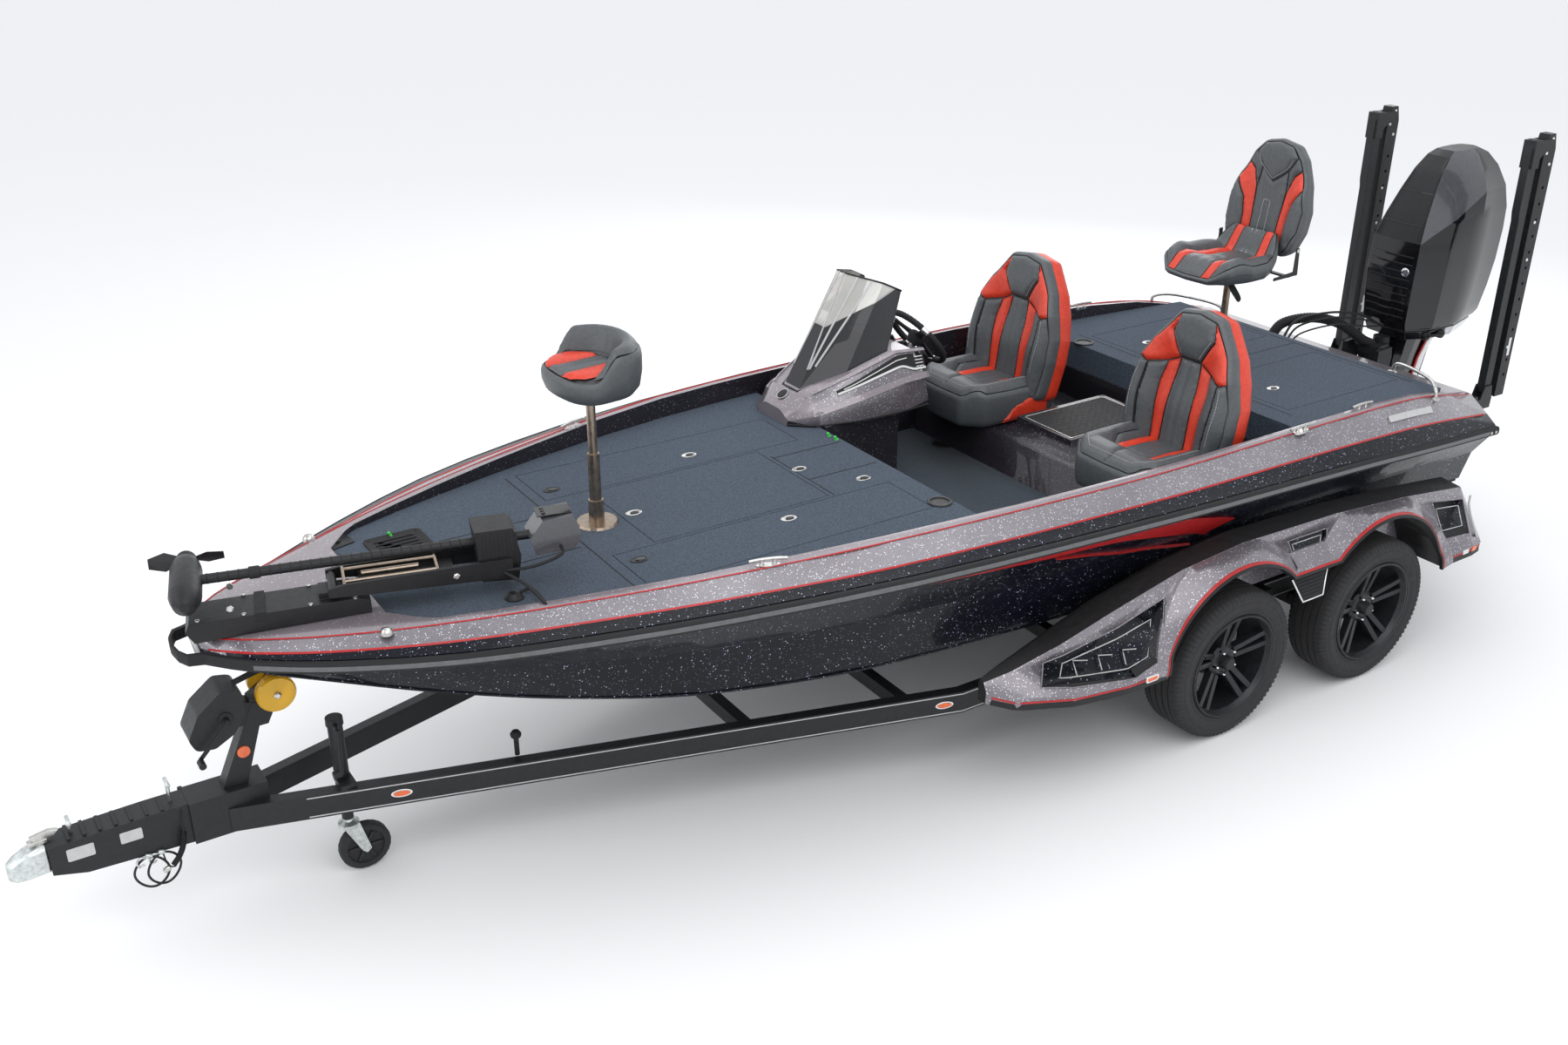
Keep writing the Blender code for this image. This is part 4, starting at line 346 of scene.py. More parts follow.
def lathe(profile, centre, axis, steps=32, shape=None, loop=True):
    """Turn (along, radius) pairs about an axis; loop says that the profile is a closed loop."""
    shape = shape or bmesh.new()
    along, side, across = basis(axis)
    rows = []
    for angle in around(steps):
        out = side * math.cos(angle) + across * math.sin(angle)
        rows.append([Vector(centre) + along * a + out * r for a, r in profile])
    if loop:
        return rings(shape, rows, caps=False)
    return rings(shape, [list(ring) for ring in zip(*rows)])


def knob(profile, centre, axis, steps, shape):
    """Turn an open profile, capped at both ends, about an axis."""
    return lathe(profile, centre, axis, steps, shape, loop=False)


def rod(start, end, radius, steps=14, shape=None):
    """A round bar with softened ends between two points in the row's frame."""
    start, end = Vector(start), Vector(end)
    length = (end - start).length
    soft = min(radius * 0.25, length * 0.2)
    profile = [(0, radius - soft), (soft, radius), (length - soft, radius), (length, radius - soft)]
    return knob(profile, start, end - start, steps, shape)


def bend(points, t):
    """A smooth curve between the two inner ones of four points."""
    a, b, c, d = points
    return 0.5 * ((2 * b) + (c - a) * t + (2 * a - 5 * b + 4 * c - d) * t * t
                  + (3 * b - a - 3 * c + d) * t ** 3)


def curve_points(points, count):
    """Read a smooth curve through the points."""
    points = [Vector(p) for p in points]
    padded = [points[0] * 2 - points[1]] + points + [points[-1] * 2 - points[-2]]
    spans = len(points) - 1
    made = []
    for k in range(count):
        t = k / (count - 1) * spans
        i = min(int(t), spans - 1)
        made.append(bend(padded[i:i + 4], t - i))
    return made


def heading(path, i, closed=False):
    """Direction of a path at its point i."""
    if closed:
        return (path[(i + 1) % len(path)] - path[i - 1]).normalized()
    return (path[min(i + 1, len(path) - 1)] - path[max(i - 1, 0)]).normalized()


def sweep(path, section, shape, up):
    """Carry a section of (side, up) pairs along a path of points."""
    rows = []
    for i, point in enumerate(path):
        along = heading(path, i)
        side = along.cross(Vector(up)).normalized()
        over = side.cross(along)
        rows.append([point + side * a + over * b for a, b in section])
    return rings(shape, rows)


def tube(path, radius, shape, steps=10, closed=False):
    """A round tube along a path, with frames carried along so that it doesn't twist."""
    path = [Vector(p) for p in path]
    circle = [(radius * math.cos(angle), radius * math.sin(angle)) for angle in around(steps)]
    rows = []
    side = None
    for i, point in enumerate(path):
        along = heading(path, i, closed)
        side = (side - along * side.dot(along) if side else along.orthogonal()).normalized()
        across = along.cross(side)
        rows.append([point + side * a + across * b for a, b in circle])
    return rings(shape, rows, caps=not closed)


def rounded(corners, radius, steps=5):
    """Round the corners of a closed outline."""
    made = []
    count = len(corners)
    for i, corner in enumerate(corners):
        here = Vector(corner)
        before = Vector(corners[i - 1]) - here
        after = Vector(corners[(i + 1) % count]) - here
        angle = before.angle(after)
        reach = min(radius / math.tan(angle / 2), before.length * 0.48, after.length * 0.48)
        start = here + before.normalized() * reach
        stop = here + after.normalized() * reach
        for k in range(steps + 1):
            t = k / steps
            made.append(tuple(start.lerp(here, t).lerp(here.lerp(stop, t), t)))
    return made


def dense(outline, step):
    """Add points along a closed outline."""
    made = []
    for i, corner in enumerate(outline):
        here, following = Vector(corner), Vector(outline[(i + 1) % len(outline)])
        parts = max(1, round((following - here).length / step))
        made += [here.lerp(following, k / parts) for k in range(parts)]
    return made


def inside(point, outline):
    """Whether a point lies in a closed outline, by an odd number of crossings."""
    x, y = point
    odd = False
    for i, a in enumerate(outline):
        b = outline[i - 1]
        if (a[1] > y) != (b[1] > y) and x < (b[0] - a[0]) * (y - a[1]) / (b[1] - a[1]) + a[0]:
            odd = not odd
    return odd


def edge_distance(point, outline):
    best = 1e9
    p = Vector(point)
    for i, a in enumerate(outline):
        a = Vector(a)
        b = Vector(outline[i - 1])
        run = b - a
        t = max(0.0, min(1.0, (p - a).dot(run) / max(run.length_squared, 1e-12)))
        best = min(best, (a + run * t - p).length)
    return best


def pad(outline, surface, step=0.012, crown=0.012, width=0.035, sink=0.006, flutes=None, shape=None):
    """A stuffed panel: a crowned skin over an outline that pulls in at its seam.

    surface maps (u, v, height) to the row's frame.
    flutes is (direction, pitch, depth) of sewn channels.
    """
    shape = shape or bmesh.new()
    seam = 0.004                 # width over which the skin sinks into its seam
    sewn_within = 0.003
    flat = [tuple(p) for p in dense(outline, step)]
    low_u, high_u = (pick(p[0] for p in flat) for pick in (min, max))
    low_v, high_v = (pick(p[1] for p in flat) for pick in (min, max))
    seeds = list(flat)
    row = 0
    v = low_v + step / 2
    while v < high_v:
        u = low_u + (step / 2 if row % 2 else 0)
        while u < high_u:
            if inside((u, v), flat) and edge_distance((u, v), flat) > step * 0.45:
                seeds.append((u, v))
            u += step
        v += step * 0.87
        row += 1
    edges = [(i, (i + 1) % len(flat)) for i in range(len(flat))]
    points, _, faces, _, _, _ = delaunay_2d_cdt([Vector(p) for p in seeds], edges, [], 1, 1e-6)
    tops = []
    sewn = shape.verts.layers.deform.verify()
    for point in points:
        away = edge_distance(point, flat)
        t = min(1.0, away / width)
        height = crown * math.sqrt(max(0.0, 1 - (1 - t) ** 2)) - sink * (1 - min(1.0, away / seam))
        if flutes and away > seam:
            (fu, fv), pitch, depth = flutes
            wave = abs(math.sin(math.pi * (point[0] * fu + point[1] * fv) / pitch))
            height -= depth * (1 - wave ** 0.6) * min(1.0, away / (3 * seam))
        vertex = shape.verts.new(surface(point[0], point[1], height))
        if away < sewn_within:
            vertex[sewn][0] = 1.0
        tops.append(vertex)
    for face in faces:
        shape.faces.new([tops[i] for i in face])
    return shape


# Camera, floor and light

def set_stage():
    camera = bpy.data.cameras.new("camera")
    camera.lens = 35.05
    camera.sensor_width = 36.0
    camera.clip_end = 500
    view = bpy.data.objects.new("camera", camera)
    view.location = (3.9825, 5.018, 3.711)
    view.rotation_euler = (math.radians(90 - 25.017), 0, math.radians(-122.759 - 90))
    bpy.context.scene.collection.objects.link(view)
    bpy.context.scene.camera = view

    floor_reach, floor_z = 150, -0.0005
    made, shader = principled("studio_floor", (0.90, 0.90, 0.90), 0.75)
    g = Graph(made, shader)
    g.rough(g.ramp(g.noise(0.8), (0, (0.72, 0.72, 0.72)), (1, (0.78, 0.78, 0.78))))
    shape = bmesh.new()
    shape.faces.new([shape.verts.new((x * floor_reach, y * floor_reach, floor_z))
                     for x, y in ((-1, -1), (1, -1), (1, 1), (-1, 1))])
    mesh = bpy.data.meshes.new("studio_floor")
    shape.to_mesh(mesh)
    shape.free()
    mesh.materials.append(made)
    floor = bpy.data.objects.new("studio_floor", mesh)
    bpy.context.scene.collection.objects.link(floor)

    world = bpy.data.worlds.new("studio")
    world.use_nodes = True
    world.node_tree.nodes["Background"].inputs[0].default_value = (0.95, 0.97, 1.0, 1)
    world.node_tree.nodes["Background"].inputs[1].default_value = 1.0
    bpy.context.scene.world = world
    # columns: name, place, aimed at, width, length, power
    for name, place, aim, wide, long, power in (
            ("key", (2.5, 5.0, 6.5), (0, 0, 0.6), 7.0, 5.0, 170),
            ("top", (-0.5, 0.0, 7.0), (0, 0, 0.8), 8.0, 5.0, 110),
            ("back", (-5.5, -5.0, 4.0), (0, 0, 0.8), 6.0, 4.0, 110),
            ("nose", (7.0, -1.0, 4.0), (1, 0, 0.6), 4.0, 4.0, 60)):
        light = bpy.data.lights.new(name, "AREA")
        light.shape = "RECTANGLE"
        light.size = wide
        light.size_y = long
        light.energy = power
        lamp = bpy.data.objects.new(name, light)
        lamp.location = place
        lamp.rotation_euler = (Vector(aim) - Vector(place)).to_track_quat("-Z", "Y").to_euler()
        bpy.context.scene.collection.objects.link(lamp)
    bpy.context.scene.view_settings.view_transform = "Standard"
    bpy.context.scene.view_settings.exposure = 0.0


# CAD pieces that keep their shape and get a better material

DRESSED = {
    "hull": "hull",
    "carpet": "fore_deck aft_deck centre_lid port_rod_lid starboard_rod_lid port_aft_lid starboard_aft_lid",
    "soft_black": "rub_rail step_lid port_bunk starboard_bunk",
    "bronze": "bow_pedestal aft_pedestal",
    "gloss": "motor_leg",
    "steel": "propeller",
    "black": "port_anchor_spike starboard_anchor_spike trolling_propeller",
    "powder": "transom_mount swivel_bracket front_axle rear_axle",
    "amber": "bow_rollers",
    "zinc": "caster_fork",
    "rubber": "caster_wheel",
}


def dress():
    for look, nodes in DRESSED.items():
        for node in nodes.split():
            mesh = CAD[node].data
            mesh.materials.clear()
            mesh.materials.append(M[look])


# Seats

VINYLS = ["grey_vinyl", "red_vinyl", "dark_vinyl"]
GREY, RED, DARK = VINYLS


def smooth(value, low, high):
    t = max(0.0, min(1.0, (value - low) / (high - low)))
    return t * t * (3 - 2 * t)


def offset(outline, grow):
    """Move a closed outline outward by grow."""
    area = sum(a[0] * b[1] - b[0] * a[1] for a, b in zip(outline, outline[1:] + outline[:1]))
    sign = 1 if area > 0 else -1
    made = []
    for i, point in enumerate(outline):
        run = Vector(outline[(i + 1) % len(outline)]) - Vector(outline[i - 1])
        normal = Vector((run.y, -run.x)).normalized() * sign
        made.append((point[0] + normal.x * grow, point[1] + normal.y * grow))
    return made


def mirrored(panels):
    """Panels given for one side, with their mirror images; a panel across the middle comes once."""
    made = []
    for look, outline, crown, flutes in panels:
        made.append((look, outline, crown, flutes))
        if min(point[0] for point in outline) > -0.001:
            made.append((look, [(-u, v) for u, v in reversed(outline)], crown, flutes))
    return made


def whole(half):
    """Close a half outline, given from the middle of one end to the middle of the other."""
    return half + [(-u, v) for u, v in reversed(half) if abs(u) > 1e-6]


def tag(shape, first, index):
    shape.faces.ensure_lookup_table()
    for face in shape.faces[first:]:
        face.material_index = index


def upholstered(name, node, place, depth, back, outline, panels, rows):
    """A stuffed form: crowned panels over its front, and a shell that turns round to its back.

    place maps (side, along, depth) to the row's frame, and depth gives the front at (side, along).
    rows of the shell are (grow, share of the way to the back, look).
    """
    seam_depth = 0.007
    lining_depth = 0.011         # a plain lining closes the form under its panels
    shape = bmesh.new()
    for look, area, crown, flutes in panels:
        first = len(shape.faces)
        pad(area, lambda u, v, h: place(u, v, depth(u, v) + h), step=0.011, crown=crown, sink=0.005,
            flutes=flutes, shape=shape)
        tag(shape, first, VINYLS.index(look))
    rim = [tuple(p) for p in dense(outline, 0.018)]
    shell = []
    for grow, share, _ in rows:
        ring = []
        for (u, v), (a, b) in zip(rim, offset(rim, grow)):
            front = depth(u, v) - seam_depth
            ring.append(shape.verts.new(place(a, b, front + (back - front) * share)))
        shell.append(ring)
    sewn = shape.verts.layers.deform.verify()
    for ring in shell:
        for vertex in ring:
            vertex[sewn][0] = 1.0
    for low, high, (_, _, look) in zip(shell, shell[1:], rows[1:]):
        for i in range(len(rim)):
            j = (i + 1) % len(rim)
            shape.faces.new((low[i], low[j], high[j], high[i])).material_index = VINYLS.index(look)
    shape.faces.new(shell[-1]).material_index = VINYLS.index(rows[-1][2])
    first = len(shape.faces)
    known = len(shape.verts)
    pad(outline, lambda u, v, h: place(u, v, depth(u, v) - lining_depth), step=0.024, shape=shape)
    tag(shape, first, VINYLS.index(DARK))
    shape.verts.ensure_lookup_table()
    for vertex in shape.verts[known:]:
        vertex[sewn][0] = 1.0
    made = finish(name, shape, VINYLS, BODY_OF[node], slot="seat_vinyl", smooth=48, replaces=(node,))
    swell(made, 0.006)


def swell(piece, cap):
    """Blow the skin up a little between its sewn rims, as foam does; no point moves further than cap."""
    mesh = piece.data
    before = [v.co.copy() for v in mesh.vertices]
    piece.vertex_groups.new(name="seam")
    cloth = piece.modifiers.new("cloth", "CLOTH")
    for key, value in (("quality", 4), ("mass", 0.4), ("tension_stiffness", 60), ("compression_stiffness", 60),
                       ("bending_stiffness", 6), ("use_pressure", True), ("uniform_pressure_force", 4),
                       ("vertex_group_mass", "seam")):
        setattr(cloth.settings, key, value)
    cloth.settings.effector_weights.gravity = 0
    cloth.collision_settings.use_collision = False
    scene = bpy.context.scene
    for step in range(1, 13):
        scene.frame_set(step)
    graph = bpy.context.evaluated_depsgraph_get()
    after = [v.co.copy() for v in piece.evaluated_get(graph).data.vertices]
    piece.modifiers.remove(cloth)
    scene.frame_set(1)
    for vertex, start, stop in zip(mesh.vertices, before, after):
        move = stop - start
        if move.length > cap:
            move = move.normalized() * cap
        vertex.co = start + move
    mesh.update()


def seam_line(points, place, depth, radius, shape, lift=0.002, steps=24):
    """A piping line laid on a front surface."""
    path = curve_points([(u, v, 0) for u, v in points], steps)
    tube([place(p.x, p.y, depth(p.x, p.y) + lift) for p in path], radius, shape, 6)


def stitches(points, place, depth, shape, lift, pitch=0.011):
    """Separate short threads along a line."""
    path = curve_points([(u, v, 0) for u, v in points], 60)
    spots = [place(p.x, p.y, depth(p.x, p.y) + lift) for p in path]
    start, run = spots[0], 0.0
    for a, b in zip(spots, spots[1:]):
        run += (b - a).length
        if run >= pitch:
            tube([start.lerp(b, share) for share in (0.12, 0.5, 0.88)], 0.0011, shape, 5)
            start, run = b, 0.0


def bucket_back(word, side):
    origin = at(1.645, 0.575 * side, 1.15)
    lean = math.atan(0.20)
    up = Vector((-math.sin(lean), 0, math.cos(lean)))
    out = Vector((math.cos(lean), 0, math.sin(lean)))

    def place(u, v, d):
        return origin + Vector((0, u, 0)) + up * v + out * d

    def depth(u, v):
        wing = 0.046 * smooth(abs(u), 0.11, 0.23) * (1 - smooth(v, 0.28, 0.44))
        head = 0.020 * smooth(v, 0.30, 0.42)
        lumbar = 0.012 * math.exp(-((v - 0.10) / 0.10) ** 2)
        edge = 0.034 * smooth(abs(u), 0.245, 0.30)
        return 0.128 + wing + head + lumbar - edge

    outline = whole([(0.0, 0.540), (0.105, 0.524), (0.212, 0.385), (0.256, 0.290), (0.284, 0.180),
                     (0.290, 0.070), (0.272, -0.120), (0.0, -0.120)])
    outline = rounded(outline, 0.03, 3)
    hexagon = [(0.0, 0.535), (0.098, 0.518), (0.118, 0.440), (0.056, 0.335), (-0.056, 0.335), (-0.118, 0.440),
               (-0.098, 0.518)]
    half = [
        (GREY, hexagon, 0.016, None),
        (RED, [(0.102, 0.518), (0.209, 0.383), (0.253, 0.289), (0.215, 0.270), (0.128, 0.298),
               (0.060, 0.333), (0.122, 0.440)], 0.013, None),
        (RED, [(0.062, 0.324), (0.124, 0.292), (0.138, 0.200), (0.130, 0.050), (0.122, -0.115),
               (0.078, -0.115), (0.076, 0.060), (0.072, 0.200)], 0.008, None),
        (GREY, [(0.055, 0.326), (0.068, 0.200), (0.070, 0.060), (0.072, -0.115), (-0.072, -0.115),
                (-0.070, 0.060), (-0.068, 0.200), (-0.055, 0.326)], 0.007, ((1, 0), 0.048, 0.006)),
        (GREY, [(0.129, 0.290), (0.206, 0.266), (0.212, 0.120), (0.192, -0.115), (0.126, -0.115),
                (0.134, 0.050), (0.142, 0.200)], 0.011, None),
        (GREY, [(0.210, 0.265), (0.252, 0.283), (0.281, 0.180), (0.287, 0.070), (0.269, -0.115),
                (0.196, -0.115), (0.216, 0.120)], 0.013, None),
    ]
    rows = [(0.0, 0.0, GREY), (0.010, 0.04, GREY), (0.016, 0.16, GREY),
            (0.017, 0.38, GREY), (0.0155, 0.40, DARK), (0.017, 0.42, RED),
            (0.015, 0.78, RED), (0.008, 0.92, RED), (-0.006, 0.99, DARK),
            (-0.040, 1.0, DARK)]
    upholstered(f"{word}_seat_back_cushion", f"{word}_seat", place, depth, 0.0, outline, mirrored(half), rows)
    shape = bmesh.new()
    for sign in (1, -1):
        seam_line([(sign * 0.208, 0.264), (sign * 0.214, 0.120), (sign * 0.194, -0.112)], place, depth, 0.0028,
                  shape)
        seam_line([(sign * 0.120, 0.442), (sign * 0.060, 0.334)], place, depth, 0.0022, shape)
    seam_line([(-0.058, 0.332), (0.058, 0.332)], place, depth, 0.0022, shape)
    finish(f"{word}_seat_back_piping", shape, "soft_black", BOAT, slot="black_plastic")
    shape = bmesh.new()
    for sign in (1, -1):
        stitches([(sign * 0.106, 0.438), (sign * 0.052, 0.345)], place, depth, shape, 0.010)
        stitches([(sign * 0.238, 0.262), (sign * 0.250, 0.160), (sign * 0.240, 0.0)], place, depth, shape, 0.0125)
        for line in (0.021, 0.027):
            stitches([(sign * line, 0.320), (sign * line, -0.100)], place, depth, shape, 0.003)
    finish(f"{word}_seat_back_stitching", shape, "thread", BOAT, slot="seat_vinyl")


def bucket_cushion(word, side):
    origin = at(1.700, 0.575 * side, 0)

    def place(u, v, d):
        return origin + Vector((v, u, d))

    def depth(u, v):
        side_roll = 0.034 * smooth(abs(u), 0.125, 0.185)
        front_roll = 0.030 * smooth(v, 0.30, 0.38)
        fall = 0.030 * smooth(v, 0.42, 0.50) + 0.020 * smooth(abs(u), 0.215, 0.25)
        return 1.118 + max(side_roll, front_roll) - fall - 0.012 * (1 - smooth(v, 0.0, 0.2))

    outline = rounded(whole([(0.0, 0.495), (0.150, 0.490), (0.240, 0.400), (0.248, 0.250), (0.240, -0.040),
                             (0.0, -0.040)]), 0.035, 4)
    half = [
        (RED, [(0.080, 0.300), (0.128, 0.300), (0.124, 0.0), (0.076, 0.0)], 0.007, None),
        (GREY, [(0.076, 0.300), (0.072, 0.0), (-0.072, 0.0), (-0.076, 0.300)], 0.006, ((1, 0), 0.050, 0.006)),
        (GREY, [(0.132, 0.300), (0.168, 0.240), (0.165, 0.0), (0.128, 0.0)], 0.008, None),
        (GREY, [(0.128, 0.306), (0.172, 0.244), (0.169, -0.035), (0.236, -0.035), (0.244, 0.250),
                (0.236, 0.396), (0.148, 0.485), (0.0, 0.490), (0.0, 0.306)], 0.014, None),
    ]
    rows = [(0.0, 0.0, GREY), (0.009, 0.04, GREY), (0.014, 0.14, GREY),
            (0.016, 0.45, GREY), (0.011, 0.80, GREY), (0.002, 0.94, GREY),
            (-0.016, 1.0, GREY), (-0.060, 1.0, DARK)]
    upholstered(f"{word}_seat_cushion", f"{word}_seat", place, depth, 0.953, outline, mirrored(half), rows)
    shape = bmesh.new()
    for sign in (1, -1):
        stitches([(sign * 0.205, 0.0), (sign * 0.208, 0.240), (sign * 0.196, 0.390), (sign * 0.130, 0.455)],
                 place, depth, shape, 0.0145)
        for line in (0.022, 0.028):
            stitches([(sign * line, 0.290), (sign * line, 0.010)], place, depth, shape, 0.003)
    stitches([(-0.130, 0.455), (0.130, 0.455)], place, depth, shape, 0.0145)
    finish(f"{word}_seat_cushion_stitching", shape, "thread", BOAT, slot="seat_vinyl")
    # Red side gussets under the bolster
    gusset = [(0.02, 0.965), (0.30, 0.968), (0.24, 1.045), (0.10, 1.085), (0.0, 1.092)]
    shape = bmesh.new()
    for sign in (1, -1):
        pad(gusset, lambda v, z, h, s=sign: origin + Vector((v, s * (0.262 + h), z)), step=0.016, crown=0.006,
            width=0.02, shape=shape)
    finish(f"{word}_seat_gussets", shape, RED, BOAT, slot="seat_vinyl")


def fishing_seat():
    post = at(0.860, 0, 1.620)

    def place(u, v, d):
        return post + Vector((v, u, d))

    def depth(u, v):
        saddle = 0.030 * smooth(abs(u), 0.10, 0.20) * (1 - smooth(v, 0.14, 0.26))
        front = 0.022 * smooth(v, 0.08, 0.20) - 0.062 * smooth(v, 0.22, 0.315)
        rear = 0.120 * smooth(-v, 0.075, 0.165)
        return 0.098 + saddle + front + rear - 0.012 * smooth(abs(u), 0.19, 0.235)

    outline = rounded(whole([(0.0, 0.312), (0.130, 0.300), (0.205, 0.235), (0.232, 0.120), (0.225, 0.0),
                             (0.175, -0.110), (0.130, -0.160), (0.0, -0.160)]), 0.03, 3)
    half = [
        (RED, [(0.088, 0.302), (0.132, 0.296), (0.140, 0.180), (0.132, 0.0), (0.112, -0.157), (0.070, -0.157),
               (0.080, 0.0), (0.090, 0.160)], 0.007, None),
        (GREY, [(0.084, 0.302), (0.086, 0.160), (0.076, 0.0), (0.066, -0.157), (-0.066, -0.157),
                (-0.076, 0.0), (-0.086, 0.160), (-0.084, 0.302), (0.0, 0.308)], 0.006,
         ((1, 0), 0.058, 0.004)),
        (GREY, [(0.136, 0.296), (0.202, 0.232), (0.228, 0.120), (0.221, 0.0), (0.172, -0.106),
                (0.128, -0.156), (0.116, -0.157), (0.136, 0.0), (0.144, 0.180)], 0.012, None),
    ]
    rows = [(0.0, 0.0, GREY), (0.008, 0.06, GREY), (0.012, 0.22, GREY),
            (0.010, 0.45, GREY), (0.0085, 0.47, DARK), (0.008, 0.50, GREY),
            (-0.006, 0.84, GREY), (-0.040, 0.98, GREY), (-0.070, 1.0, DARK)]
    upholstered("aft_seat_cushion", "aft_seat", place, depth, 0.018, outline, mirrored(half), rows)
    shape = bmesh.new()
    for line in (0.012, 0.018):
        for sign in (1, -1):
            stitches([(sign * line, 0.10), (sign * line, -0.15)], place, depth, shape, 0.004)
    finish("aft_seat_stitching", shape, "thread", "aft_seat", slot="seat_vinyl")
    # Swivel plate, hinge brackets and the release strap under the seat
    shape = box((0.770, -0.090, 1.6205), (0.950, 0.090, 1.648))
    bracket = [(0.655, 1.646), (0.825, 1.640), (0.825, 1.656), (0.690, 1.668), (0.686, 1.782), (0.663, 1.782)]
    for low_y, high_y in ((0.243, 0.248), (-0.248, -0.243)):
        prism(bracket, "y", low_y, high_y, shape)
    box((0.700, -0.244, 1.641), (0.730, 0.244, 1.650), shape)
    finish("aft_seat_frame", shape, "black", "aft_seat", slot="black_plastic", bevel=0.002)
    shape = bmesh.new()
    for sign in (1, -1):
        knob([(0, 0.004), (0, 0.010), (0.004, 0.010), (0.006, 0.004)], at(0.675, sign * 0.2478, 1.770),
             (0, sign, 0), 12, shape)
    finish("aft_seat_hinge_bolts", shape, "steel", "aft_seat", slot="stainless")
    strap = curve_points([at(0.93, 0.075, 1.628), at(0.955, 0.105, 1.598), at(0.925, 0.125, 1.545),
                          at(0.905, 0.120, 1.530), at(0.898, 0.105, 1.545), at(0.925, 0.082, 1.600)], 26)
    shape = sweep(strap, [(0.011, 0.0012), (0.011, -0.0012), (-0.011, -0.0012), (-0.011, 0.0012)], bmesh.new(),
                  (0.4, 1, 0.1))
    finish("aft_seat_release_strap", shape, "soft_black", "aft_seat", slot="black_plastic")


def fishing_seat_back():
    lean = math.atan(0.16)
    hinge = at(0.675, 0, 1.770)
    up = Vector((-math.sin(lean), 0, math.cos(lean)))
    out = Vector((math.cos(lean), 0, math.sin(lean)))

    def place(u, v, d):
        return hinge + Vector((0, u, 0)) + up * (v - 0.040) + out * (d - 0.060)

    def depth(u, v):
        wing = 0.030 * smooth(abs(u), 0.10, 0.20) * (1 - smooth(v, 0.26, 0.40))
        return 0.060 + wing + 0.010 * smooth(v, 0.36, 0.50) - 0.022 * smooth(abs(u), 0.20, 0.24)

    outline = rounded(whole([(0.0, 0.528), (0.085, 0.512), (0.140, 0.455), (0.195, 0.340), (0.226, 0.220),
                             (0.222, 0.120), (0.190, 0.030), (0.150, 0.000), (0.0, 0.0)]), 0.05, 4)
    half = [
        (GREY, [(0.0, 0.523), (0.083, 0.507), (0.120, 0.462), (0.080, 0.396), (0.0, 0.335), (-0.080, 0.396),
                (-0.120, 0.462), (-0.083, 0.507)], 0.010, None),
        (GREY, [(0.0, 0.329), (0.078, 0.388), (0.088, 0.290), (0.080, 0.140), (0.078, 0.005),
                (-0.078, 0.005), (-0.080, 0.140), (-0.088, 0.290), (-0.078, 0.388)], 0.006, None),
        (RED, [(0.082, 0.005), (0.126, 0.005), (0.132, 0.150), (0.146, 0.235), (0.197, 0.322), (0.160, 0.402),
               (0.124, 0.372), (0.096, 0.290), (0.084, 0.140)], 0.008, None),
        (GREY, [(0.130, 0.005), (0.150, 0.006), (0.186, 0.034), (0.218, 0.120), (0.222, 0.220), (0.200, 0.314),
                (0.150, 0.232), (0.136, 0.150)], 0.012, None),
        (GREY, [(0.083, 0.394), (0.094, 0.300), (0.121, 0.376), (0.157, 0.408), (0.136, 0.452),
                (0.123, 0.458)], 0.006, None),
    ]
    rows = [(0.0, 0.0, GREY), (0.008, 0.05, GREY), (0.012, 0.22, GREY),
            (0.011, 0.48, GREY), (0.0095, 0.50, DARK), (0.010, 0.52, GREY),
            (0.004, 0.82, GREY), (-0.012, 0.96, GREY), (-0.045, 1.0, DARK)]
    upholstered("aft_seat_back_cushion", "aft_seat_back", place, depth, -0.022, outline, mirrored(half), rows)
    shape = bmesh.new()
    for sign in (1, -1):
        stitches([(0, 0.345), (sign * 0.078, 0.404), (sign * 0.108, 0.456)], place, depth, shape, 0.0085)
        stitches([(sign * 0.020, 0.240), (sign * 0.024, 0.010)], place, depth, shape, 0.0085)
    stitches([(-0.020, 0.240), (0.020, 0.240)], place, depth, shape, 0.0085)
    finish("aft_seat_back_stitching", shape, "thread", "aft_seat_back", slot="seat_vinyl")


